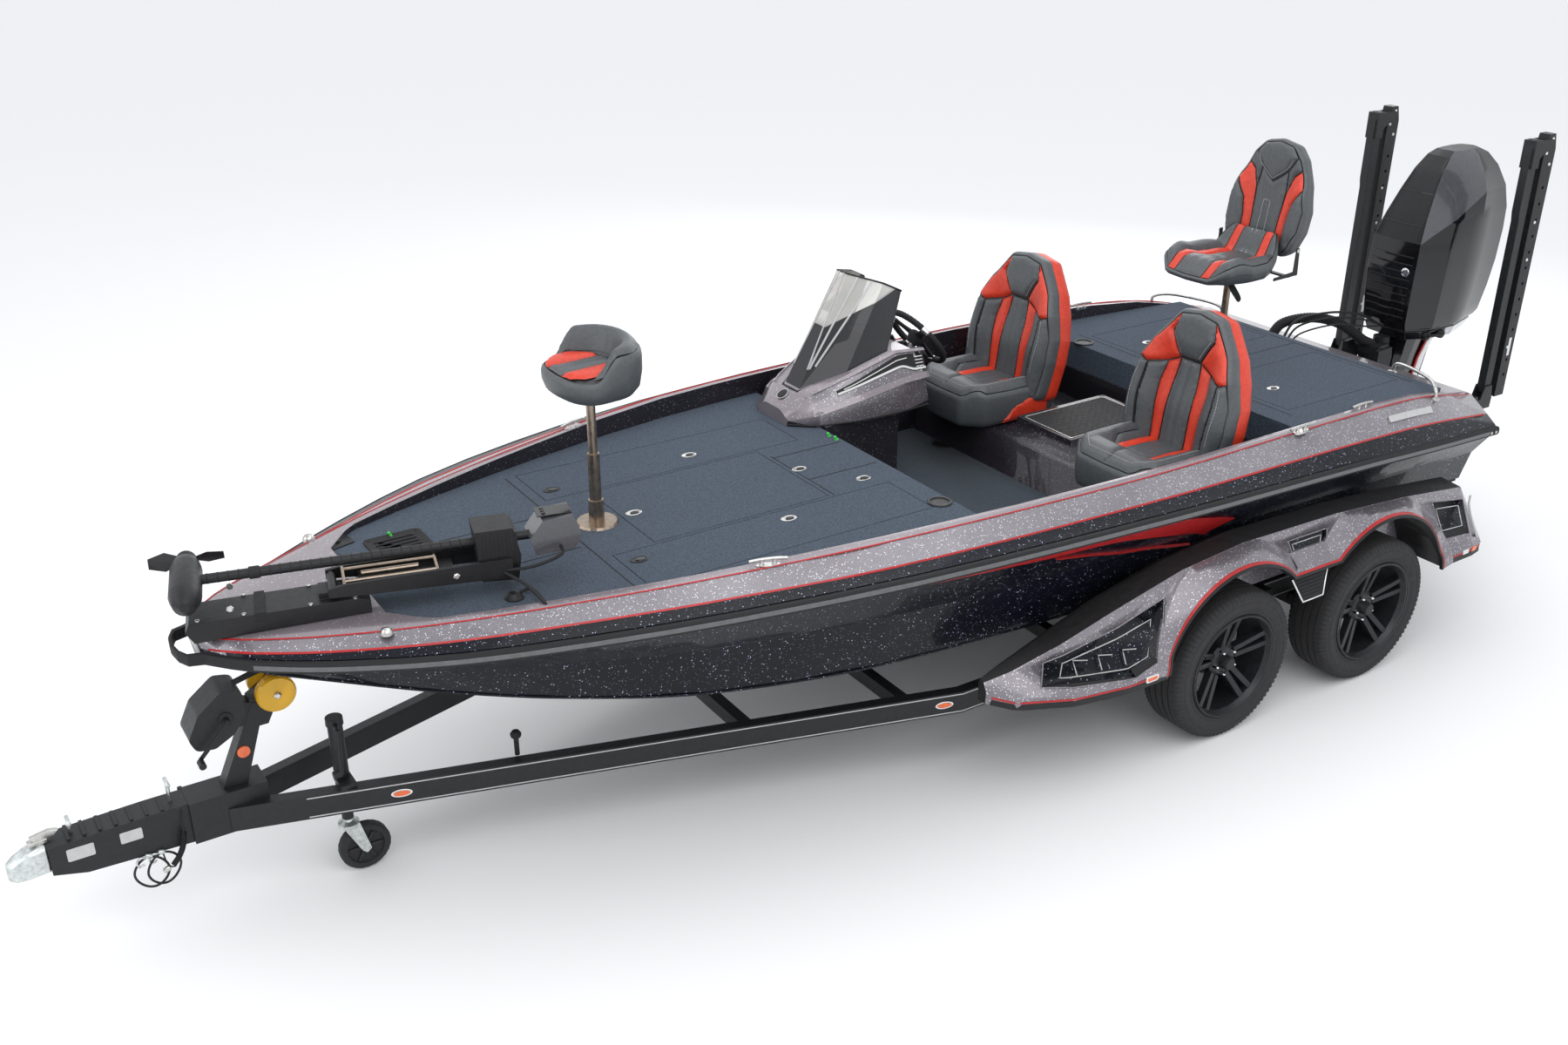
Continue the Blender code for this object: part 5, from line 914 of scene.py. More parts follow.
def butt_seat():
    post = at(4.368, 0, 1.690)

    def place(u, v, d):
        return post + Vector((v, u, d))

    def depth(u, v):
        ring = math.sqrt((u / 0.150) ** 2 + ((v - 0.075) / 0.165) ** 2)
        back = 0.085 * smooth(ring, 0.98, 1.30) * smooth(-v, -0.06, 0.035)
        edge = 0.014 * smooth(math.sqrt((u / 0.205) ** 2 + (v / 0.18) ** 2), 0.85, 1.0)
        return 0.128 + 0.10 * (-v) * 0.35 + back - edge

    outline = []
    for angle in around(36):
        c, s = math.cos(angle), math.sin(angle)
        reach = 0.150 if s > 0 else 0.180
        outline.append((0.194 * math.copysign(abs(c) ** 0.85, c), reach * math.copysign(abs(s) ** 0.80, s)))
    middle = [(0.055, 0.142), (-0.055, 0.142), (-0.052, -0.074), (0.0, -0.088), (0.052, -0.074)]
    side = [(0.060, 0.142), (0.108, 0.128), (0.147, 0.084), (0.154, 0.022), (0.135, -0.008), (0.095, -0.050),
            (0.057, -0.072)]
    collar = [(0.165, 0.060), (0.192, 0.030), (0.191, -0.020), (0.172, -0.105), (0.120, -0.160), (0.055, -0.176),
              (0.0, -0.178), (-0.055, -0.176), (-0.120, -0.160), (-0.172, -0.105), (-0.191, -0.020),
              (-0.192, 0.030), (-0.165, 0.060), (-0.159, 0.018), (-0.138, -0.014), (-0.098, -0.056),
              (-0.055, -0.080), (0.0, -0.093), (0.055, -0.080), (0.098, -0.056), (0.138, -0.014), (0.159, 0.018)]
    panels = [(GREY, middle, 0.007, ((1, 0), 0.037, 0.005)),
              (RED, side, 0.011, None),
              (RED, [(-u, v) for u, v in reversed(side)], 0.011, None),
              (GREY, collar, 0.010, None)]
    rows = [(0.0, 0.0, GREY), (0.009, 0.06, GREY), (0.013, 0.20, GREY),
            (0.012, 0.50, GREY), (0.002, 0.80, GREY), (-0.022, 0.96, GREY),
            (-0.055, 1.0, DARK)]
    upholstered("bow_seat_cushion", "bow_seat", place, depth, 0.012, outline, panels, rows)
    shape = bmesh.new()
    angles = [math.radians(a) for a in range(-155, -24, 10)]
    arc = [(0.150 * 1.03 * math.cos(angle), 0.075 + 0.165 * 1.03 * math.sin(angle)) for angle in angles]
    seam_line(arc, place, depth, 0.0026, shape, 0.004, 40)
    finish("bow_seat_piping", shape, GREY, "bow_seat", slot="seat_vinyl")
    shape = bmesh.new()
    knob([(-0.001, 0.020), (0.0003, 0.046), (0.006, 0.048), (0.014, 0.060), (0.020, 0.060)], post, UP, 24,
         shape)
    finish("bow_seat_swivel_cup", shape, "black", "bow_seat", slot="black_plastic")


# Pieces that start from CAD nodes, and thin pieces laid on their surfaces


def refine(node, looks, pick=None, bevel=0.0, slot=None):
    """A piece that starts as a copy of a CAD node's mesh, with softened edges and a look for each face."""
    shape = bmesh.new()
    shape.from_mesh(CAD[node].data)
    bmesh.ops.remove_doubles(shape, verts=shape.verts[:], dist=0.00002)
    shape.normal_update()
    for face in shape.faces:
        spot = face.calc_center_median()
        face.material_index = pick(spot.x + MIDDLE, spot.y, spot.z, face.normal) if pick else 0
    bmesh.ops.dissolve_limit(shape, angle_limit=math.radians(1.0), verts=shape.verts[:], edges=shape.edges[:],
                             delimit={"MATERIAL"})
    finish(f"{node}_skin", shape, looks, BODY_OF[node], slot, replaces=(node,), bevel=bevel)


def both(shape):
    """Add the mirror image across the middle of the boat."""
    copied = bmesh.ops.duplicate(shape, geom=shape.verts[:] + shape.edges[:] + shape.faces[:])
    for part in copied["geom"]:
        if isinstance(part, bmesh.types.BMVert):
            part.co.y = -part.co.y
    return shape


def band(path, normals, wide, shape, lift=0.0012, sink=0.004):
    """A thin strip along a path of points that lies on a surface with these normals."""
    rows = []
    for i, point in enumerate(path):
        up = Vector(normals[i] if isinstance(normals, list) else normals).normalized()
        side = heading(path, i).cross(up).normalized() * wide / 2
        rows.append([point + side + up * lift, point - side + up * lift, point - side - up * sink,
                     point + side - up * sink])
    return rings(shape, rows)


def skin(upper, lower, surface, shape, lift=0.0015, sink=0.003, across=4):
    """A thin skin between two rows of (x, z) points, on the side surface y = surface(x, z)."""
    rows = []
    for (xa, za), (xb, zb) in zip(upper, lower):
        line = [(xa + (xb - xa) * k / across, za + (zb - za) * k / across) for k in range(across + 1)]
        rows.append([at(x, surface(x, z) + lift, z) for x, z in line]
                    + [at(x, surface(x, z) - sink, z) for x, z in reversed(line)])
    return rings(shape, rows)


def read(rows, key):
    """Read a table's other columns at a value of its first one; beyond its ends the end rows hold."""
    low, high = sorted((rows[0][0], rows[-1][0]))
    key = min(max(key, low), high)
    for near, far in zip(rows, rows[1:]):
        if min(near[0], far[0]) <= key <= max(near[0], far[0]):
            t = (key - near[0]) / (far[0] - near[0])
            return [a + (b - a) * t for a, b in zip(near[1:], far[1:])]


def along_x(points, stations):
    """Read (x, z) points at given stations."""
    return [(x, read(points, x)[0]) for x in stations]


# columns: station, keel z, chine y, chine z, rail y, rail z, pin y, pin z, crest y, crest z
CHINE_Y, CHINE_Z, RAIL_Y, RAIL_Z, PIN_Y, PIN_Z, CREST_Y, CREST_Z = range(2, 10)
HULL = (
    (0.000, 0.545, 0.860, 0.640, 1.040, 0.935, 0.975, 1.020, 0.870, 1.090),
    (0.550, 0.540, 0.875, 0.640, 1.090, 0.985, 1.015, 1.090, 0.940, 1.200),
    (1.200, 0.535, 0.885, 0.640, 1.140, 1.045, 1.065, 1.140, 0.985, 1.235),
    (2.400, 0.535, 0.885, 0.645, 1.185, 1.115, 1.100, 1.180, 1.000, 1.240),
    (3.600, 0.540, 0.825, 0.670, 1.090, 1.125, 1.020, 1.185, 0.920, 1.240),
    (4.300, 0.555, 0.690, 0.705, 0.955, 1.115, 0.880, 1.175, 0.780, 1.215),
    (4.800, 0.590, 0.520, 0.765, 0.810, 1.100, 0.735, 1.160, 0.640, 1.192),
    (5.200, 0.680, 0.360, 0.840, 0.640, 1.075, 0.575, 1.135, 0.500, 1.170),
    (5.550, 0.845, 0.220, 0.930, 0.440, 1.058, 0.395, 1.118, 0.345, 1.155),
    (5.800, 0.960, 0.120, 1.000, 0.265, 1.055, 0.235, 1.112, 0.200, 1.148),
    (5.930, 1.020, 0.040, 1.035, 0.120, 1.055, 0.100, 1.105, 0.080, 1.140),
)


def table(column, x):
    """Read one column of the hull's table at a station, on a smooth curve."""
    x = min(max(x, HULL[0][0]), HULL[-1][0])
    last = len(HULL) - 1
    i = 0
    while i < last - 1 and x > HULL[i + 1][0]:
        i += 1
    slopes = []
    for k in (i, i + 1):
        low, high = HULL[max(k - 1, 0)], HULL[min(k + 1, last)]
        slopes.append((high[column] - low[column]) / (high[0] - low[0]))
    span = HULL[i + 1][0] - HULL[i][0]
    t = (x - HULL[i][0]) / span
    rise = HULL[i + 1][column] - HULL[i][column]
    return (HULL[i][column] + t * t * (3 - 2 * t) * rise + span * slopes[0] * t * (1 - t) ** 2
            + span * slopes[1] * t * t * (t - 1))


def hull_side(x, z):
    """Outer face of the hull's side, between its chine and its rail."""
    chine_y, chine_z, rail_y, rail_z = (table(k, x) for k in (CHINE_Y, CHINE_Z, RAIL_Y, RAIL_Z))
    low = (chine_y + 0.035, chine_z + 0.008)
    mid = (chine_y + 0.035 + 0.30 * (rail_y - chine_y - 0.047), chine_z + 0.55 * (rail_z - chine_z))
    for a, b in ((low, mid), (mid, (rail_y - 0.012, rail_z))):
        if z <= b[1] or b[1] == rail_z:
            return a[0] + (b[0] - a[0]) * max(0.0, min(1.0, (z - a[1]) / (b[1] - a[1])))


def hull_and_gunwale():
    def on_cap(x, y, z, normal):
        silver, mauve, hull, liner = range(4)
        side = abs(y)
        crest_y = table(CREST_Y, x)
        if x < 0.02 and normal.x < -0.6:
            return hull
        if normal.z > 0.75 and side < crest_y + 0.004:
            return mauve
        if side > crest_y - 0.006:
            return silver if z > table(PIN_Z, x) - 0.003 else hull
        return liner

    refine("gunwale_cap", ["silver", "mauve", "hull", "liner"], on_cap)
    stations = [0.03 + 5.88 * k / 110 for k in range(111)]
    shape = bmesh.new()
    pin = [at(x, table(PIN_Y, x), table(PIN_Z, x)) for x in stations]
    crest = [at(x, table(CREST_Y, x), table(CREST_Z, x)) for x in stations]
    band(pin, (0, 0.75, 0.66), 0.008, shape, 0.0022)
    band(crest, (0, 0.55, 0.83), 0.005, shape, 0.0018)
    finish("gunwale_pinstripes", both(shape), "red", BOAT, slot="gunwale_mauve")

    # Insert and screw-on end caps of the rub rail
    path = [at(x, table(RAIL_Y, x) + 0.0155, table(RAIL_Z, x) + 0.0205) for x in stations[1:-2]]
    shape = both(band(path, (0, 1, 0), 0.018, bmesh.new(), 0.0025))
    finish("rub_rail_insert", shape, "insert", BOAT, slot="black_plastic", bevel=0.0015)
    shape = bmesh.new()
    for x in (0.035, 0.075):
        knob([(0, 0.008), (0.004, 0.008), (0.006, 0.004)],
             at(x, table(RAIL_Y, x) + 0.016, table(RAIL_Z, x) + 0.0205), (0, 1, 0), 10, shape)
    finish("rub_rail_screws", both(shape), "steel", BOAT, slot="stainless")

    # Red sweep along the side, under the rub rail
    under = [(x, table(RAIL_Z, x) - 0.0015) for x in (3.86, 3.6, 3.3, 3.0, 2.7, 2.45, 2.36)]
    top = under + [(2.20, 1.075), (2.01, 1.012), (1.86, 0.953)]
    low = [(3.86, table(RAIL_Z, 3.86) - 0.004), (3.50, 1.110), (3.20, 1.096), (2.98, 1.082), (2.85, 1.078),
           (2.70, 1.072), (2.57, 1.055), (2.37, 1.005), (2.10, 0.933), (1.98, 0.882), (1.92, 0.922), (1.86, 0.950)]
    at_x = sorted({round(3.86 - 2.0 * k / 64, 4) for k in range(65)} | {1.98, 1.92, 2.36}, reverse=True)
    shape = skin(along_x(top, at_x), along_x(low, at_x), hull_side, bmesh.new(), 0.009, 0.010)
    finish("side_sweep", both(shape), "red", BOAT, slot="hull_navy")
    line = along_x([(2.93, 1.064), (2.73, 1.019), (2.52, 0.955), (2.33, 0.915), (2.20, 0.882), (2.05, 0.852)],
                   [2.93 - 0.88 * k / 30 for k in range(31)])
    shape = bmesh.new()
    band([at(x, hull_side(x, z), z) for x, z in line], (0, 0.85, -0.5), 0.007, shape, 0.009, 0.010)
    finish("side_sweep_line", both(shape), "red", BOAT, slot="hull_navy")

    # The chine's edge catches the light as a thin soft lip
    chine = [at(x, table(CHINE_Y, x) + 0.033, table(CHINE_Z, x) + 0.004) for x in stations[:-3]]
    shape = tube(chine, 0.006, bmesh.new(), 8)
    finish("chine_lip", both(shape), "hull", BOAT, slot="hull_navy")


# Outboard motor

COWL_LEVELS = (
    # z, then (x, y) of the front middle, front corner, cheek, side, aft corner and aft middle
    (1.078, (-0.470, 0), (-0.480, 0.125), (-0.600, 0.178), (-0.780, 0.190), (-0.965, 0.140), (-1.020, 0)),
    (1.126, (-0.450, 0), (-0.460, 0.130), (-0.600, 0.190), (-0.790, 0.200), (-1.010, 0.150), (-1.068, 0)),
    (1.129, (-0.455, 0), (-0.465, 0.126), (-0.600, 0.185), (-0.790, 0.195), (-1.008, 0.146), (-1.064, 0)),
    (1.139, (-0.452, 0), (-0.462, 0.127), (-0.600, 0.186), (-0.790, 0.196), (-1.016, 0.147), (-1.074, 0)),
    (1.142, (-0.441, 0), (-0.452, 0.133), (-0.600, 0.195), (-0.795, 0.203), (-1.030, 0.154), (-1.085, 0)),
    (1.170, (-0.428, 0), (-0.440, 0.135), (-0.600, 0.200), (-0.800, 0.208), (-1.060, 0.160), (-1.115, 0)),
    (1.310, (-0.418, 0), (-0.431, 0.144), (-0.600, 0.210), (-0.812, 0.218), (-1.092, 0.170), (-1.155, 0)),
    (1.450, (-0.415, 0), (-0.428, 0.150), (-0.600, 0.216), (-0.820, 0.224), (-1.115, 0.175), (-1.180, 0)),
    (1.620, (-0.425, 0), (-0.438, 0.148), (-0.600, 0.213), (-0.830, 0.224), (-1.130, 0.175), (-1.198, 0)),
    (1.740, (-0.475, 0), (-0.485, 0.128), (-0.640, 0.200), (-0.840, 0.220), (-1.130, 0.171), (-1.198, 0)),
    (1.860, (-0.535, 0), (-0.545, 0.108), (-0.700, 0.160), (-0.860, 0.202), (-1.105, 0.155), (-1.175, 0)),
    (1.970, (-0.600, 0), (-0.610, 0.088), (-0.750, 0.122), (-0.880, 0.146), (-1.050, 0.120), (-1.120, 0)),
    (2.040, (-0.665, 0), (-0.675, 0.070), (-0.790, 0.088), (-0.880, 0.098), (-0.985, 0.086), (-1.040, 0)),
    (2.066, (-0.720, 0), (-0.725, 0.055), (-0.800, 0.066), (-0.870, 0.070), (-0.930, 0.062), (-0.960, 0)),
)
SPAN = 3                     # parts per cell of the table above
GREY_FROM = 8                # the level where the grey crown starts
PALE_FROM = 8                # the column where the foot turns pale


def cowl_half(level):
    """Points of one level from the front middle to the aft middle, port side."""
    z, *columns = level
    made = []
    for k in range(3):
        a, b = Vector(columns[k]), Vector(columns[k + 1])
        made += [a.lerp(b, i / SPAN) for i in range(SPAN)]
    cheek, side, corner, aft = (Vector(column) for column in columns[2:])
    ends = (cheek, side, corner, aft, Vector((corner.x, -corner.y)))
    for k, roundness in enumerate((0.0, 0.5)):
        for t in (i / SPAN for i in range(SPAN)):
            made.append(ends[k + 1].lerp(ends[k + 2], t).lerp(bend(ends[k:k + 4], t), roundness))
    made.append(aft)
    # the flank draws in a little aft of its widest place, clear of the anchors when the motor steers
    return [Vector((p.x, p.y * (1 - 0.06 * min(1.0, max(0.0, (-0.80 - p.x) / 0.22))), z)) for p in made]


def cowl():
    """The cowl's facets: black with a grey crown, which a diagonal divides from it, and a pale foot."""
    gloss, black, grey, pale = range(4)
    levels = [cowl_half(level) for level in COWL_LEVELS]
    grid = []
    for row, (low, high) in enumerate(zip(levels, levels[1:])):
        parts = SPAN if high[0].z - low[0].z > 0.05 else 1
        for k in range(parts):
            grid.append((row + k / parts, [a.lerp(b, k / parts) for a, b in zip(low, high)]))
    grid.append((len(levels) - 1.0, levels[-1]))
    shape = bmesh.new()
    made = []
    for _, half in grid:
        full = half + [Vector((p.x, -p.y, p.z)) for p in reversed(half[1:-1])]
        made.append([shape.verts.new(at(*p)) for p in full])
    count = len(made[0])
    port = len(levels[0]) - 1
    for (height, _), row, above in zip(grid, made, made[1:]):
        for i in range(count):
            j = (i + 1) % count
            column = i if i < port else count - 1 - i
            quad = (row[i], row[j], above[j], above[i])
            rise = height - GREY_FROM
            step = column / SPAN - 1
            shoulder = column // SPAN in (1, 2)
            if shoulder and abs(rise - step) < 0.01:
                lean = int(i >= port)    # the diagonal leans the other way on the starboard side
                shape.faces.new((quad[0], quad[1], quad[2 + lean])).material_index = gloss
                shape.faces.new((quad[lean], quad[2], quad[3])).material_index = grey
                continue
            look = gloss
            if column < SPAN and rise >= 0:
                look = black
            elif shoulder and rise > step:
                look = grey
            elif height < 1 and column >= PALE_FROM:
                look = pale
            shape.faces.new(quad).material_index = look
    shape.faces.new(list(reversed(made[0])))
    shape.faces.new(made[-1]).material_index = black
    finish("motor_cowl_skin", shape, ["gloss", "black", "grey_cowl", "pale_cowl"], BODY_OF["motor_cowl"], smooth=17,
           replaces=("motor_cowl",), bevel=0.003)


def cowl_trim():
    body = BODY_OF["motor_cowl"]
    face = [(z, front[0], corner[1]) for z, front, corner, *_ in COWL_LEVELS]

    def across(z, share, fall):
        """Points across the cowl's face, out to a share of its width, that fall back by its sides."""
        front_x, corner_y = read(face, z)
        return [at(front_x - fall * abs(s), s * corner_y * share, z) for s in (-1, -0.5, 0, 0.5, 1)]

    shape = bmesh.new()
    for z in (1.705, 1.862):
        band(across(z, 0.90, 0.008), (0.85, 0, 0.5), 0.006, shape, 0.0016)
    for share in (0.80, 0.90, -0.80, -0.90):
        path = []
        for z in (1.63 + 0.40 * k / 12 for k in range(13)):
            front_x, corner_y = read(face, z)
            path.append(at(front_x - 0.009, corner_y * share, z))
        band(path, (0.85, 0, 0.5), 0.004, shape, 0.0016)
    finish("motor_cowl_seams", shape, "gloss", body, slot="gloss_black")
    shape = bmesh.new()
    for k in range(9):
        band(across(1.205 + 0.042 * k, 0.86, 0.009), (1, 0, 0), 0.010, shape, 0.004)
    finish("motor_front_ribs", shape, "gloss", body, slot="gloss_black", bevel=0.0015)
    disc = [(0, 0.020), (0.002, 0.024), (0.004, 0.022), (0.005, 0.017), (0.0052, 0.004)]
    shape = knob(disc, at(-0.4225, 0.095, 1.460), (1, 0.02, 0), 28, bmesh.new())
    finish("motor_cowl_disc", shape, "chrome", body, slot="stainless")
    shape = bmesh.new()
    for x, y in ((-0.585, 0.172), (-0.690, 0.186)):
        knob([(-0.02, 0.026), (0.012, 0.026), (0.020, 0.023), (0.022, 0.012), (0.018, 0.006)], at(x, y, 1.098),
             (0, 1, 0), 24, shape)
    rod(at(-0.585, 0.190, 1.098), at(-0.690, 0.203, 1.098), 0.008, 12, shape)
    finish("motor_cowl_latches", shape, "black", body, slot="black_plastic")


# columns: z, front x, aft x, half width
LEG = ((0.62, -0.535, -0.795, 0.044), (0.72, -0.525, -0.805, 0.057), (0.93, -0.509, -0.838, 0.085),
       (1.0765, -0.505, -0.905, 0.112))


def motor_leg():
    """A pale fairing behind a red edge, over the leg's black castings."""
    body = BODY_OF["motor_leg"]
    low, high = LEG[0][0], LEG[-1][0]
    fairing = []
    for z in (low + (high - low) * k / 12 for k in range(13)):
        front, aft, half = read(LEG, z)
        long = front - aft
        side = [(front - 0.55 * long, 1.0), (front - 0.70 * long, 0.90), (front - 0.88 * long, 0.62),
                (aft - 0.004, 0.22)]
        fairing.append([at(x, half * share + 0.0025, z) for x, share in side]
                       + [at(x, -half * share - 0.0025, z) for x, share in reversed(side)])
    finish("motor_leg_fairing", rings(bmesh.new(), fairing), "pale_cowl", body, slot="gloss_black", smooth=60,
           bevel=0.002)
    shape = bmesh.new()
    for sign in (1, -1):
        edge = []
        for z in (1.070, 1.035, 1.00, 0.93, 0.83, 0.74, 0.66):
            front, aft, half = read(LEG, z)
            edge.append(at(front - 0.53 * (front - aft), sign * (half + 0.002), z))
        band(edge, (0, sign, -0.12), 0.016, shape, 0.002, 0.006)
    finish("motor_leg_accent", shape, "red", body, slot="gloss_black")


def rigging():
    """Thick hose and thin cables from the splash well to the motor's clamp."""
    hose = curve_points([at(0.20, -0.235, 1.10), at(0.13, -0.22, 1.185), at(0.0, -0.15, 1.215),
                         at(-0.14, -0.09, 1.185), at(-0.25, -0.05, 1.120), at(-0.33, -0.03, 1.062),
                         at(-0.40, -0.02, 1.030)], 60)
    shape = bmesh.new()
    tube(hose, 0.026, shape, 16)
    for k in range(2, len(hose) - 2):
        lathe([(-0.0022, 0.0262), (0, 0.0285), (0.0022, 0.0262)], hose[k], heading(hose, k), 16, shape)
    made = finish("rigging_hose", shape, "soft_black", None, slot="black_plastic", smooth=60)
    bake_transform(made)
    shape = bmesh.new()
    for offset_y, rise, radius in ((0.06, 0.02, 0.006), (0.085, -0.012, 0.005), (0.035, 0.042, 0.007)):
        path = curve_points([at(0.19, -0.20 + offset_y, 1.10), at(0.10, -0.19 + offset_y, 1.17 + rise),
                             at(-0.08, -0.12 + offset_y, 1.205 + rise), at(-0.26, -0.06 + offset_y, 1.18 + rise),
                             at(-0.40, -0.02 + offset_y * 0.6, 1.15)], 44)
        tube(path, radius, shape, 8)
    made = finish("steering_lines", shape, "black", None, slot="black_plastic", smooth=60)
    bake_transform(made)
    shape = bmesh.new()
    lathe([(-0.004, 0.030), (0.0, 0.052), (0.010, 0.054), (0.022, 0.036), (0.034, 0.031), (0.034, 0.028),
           (0, 0.027)], at(0.20, -0.235, 1.088), (0.05, 0, 1), 28, shape)
    finish("rigging_boot", shape, "black", BOAT, slot="black_plastic")


# Fenders

# columns: station, low z, top z, foot y, top y, crest y
FENDER = (
    (3.210, 0.470, 0.560, 1.060, 1.040, 1.020), (3.120, 0.455, 0.605, 1.150, 1.090, 1.035),
    (2.900, 0.450, 0.680, 1.245, 1.130, 1.045), (2.640, 0.445, 0.765, 1.285, 1.150, 1.050),
    (2.260, 0.445, 0.850, 1.285, 1.150, 1.050), (1.900, 0.450, 0.882, 1.285, 1.150, 1.050),
    (1.300, 0.460, 0.870, 1.285, 1.150, 1.050), (0.800, 0.470, 0.832, 1.285, 1.150, 1.050),
    (0.400, 0.476, 0.790, 1.285, 1.160, 1.050), (0.330, 0.480, 0.640, 1.275, 1.200, 1.060),
)
PANELS = (
    ((2.985, 0.624), (2.375, 0.765), (2.450, 0.536), (2.600, 0.506), (3.020, 0.540)),
    ((1.628, 0.826), (1.372, 0.824), (1.410, 0.702), (1.600, 0.704)),
    ((0.630, 0.772), (0.405, 0.738), (0.408, 0.585), (0.612, 0.600)),
)
FRONT_AXLE = 1.977
REAR_AXLE = 1.054
ARCH_R = 0.445
ARCH_Z = 0.385
FLARE_Y = 1.268
FLARE_WIDE = 0.075


def fender_row(x):
    return read(FENDER, x)


def fender_y(x, z):
    """Outer face of a fender's side."""
    low, top, foot_y, top_y, _ = fender_row(x)
    rise = (z - low - 0.050) / (top - low - 0.050)
    return foot_y + min(max(rise, 0.0), 1.0) * (top_y - foot_y)


def arch_path():
    """The fender's lower lip as (x, z, normal) from front to rear."""
    def arch(axle, start, stop):
        turns = [math.radians(start + (stop - start) * k / 40) for k in range(41)]
        return [(axle + ARCH_R * math.cos(a), ARCH_Z + ARCH_R * math.sin(a), (math.cos(a), math.sin(a)))
                for a in turns]

    bridge = [(1.6625 - 0.2945 * k / 10, 0.700, (0.0, 1.0)) for k in range(1, 10)]
    return arch(FRONT_AXLE, 9.5, 135) + bridge + arch(REAR_AXLE, 45, 170)


def flare_y(x, z, away):
    """Face of the flared lip at a distance from its edge."""
    side = fender_y(x, z)
    t = max(0.0, min(1.0, away / FLARE_WIDE))
    return side + (max(side, FLARE_Y) - side) * (1 - t)


def lip_band(shape, sign, offsets, lift, sink):
    """A skin along the arches between the first and last offset from the lip."""
    rows = []
    for x, z, (nx, nz) in arch_path():
        front = []
        back = []
        for d in offsets:
            px, pz = x + nx * d, z + nz * d
            top = fender_row(px)[1]
            away = d
            if pz > top - 0.001:
                pz = top - 0.001
                away = FLARE_WIDE if d >= FLARE_WIDE * 0.6 else d
            y = flare_y(px, pz, away)
            front.append(at(px, sign * (y + lift), pz))
            back.append(at(px, sign * (min(y, fender_y(px, pz)) - sink), pz))
        rows.append(front + back[::-1])
    return rings(shape, rows)


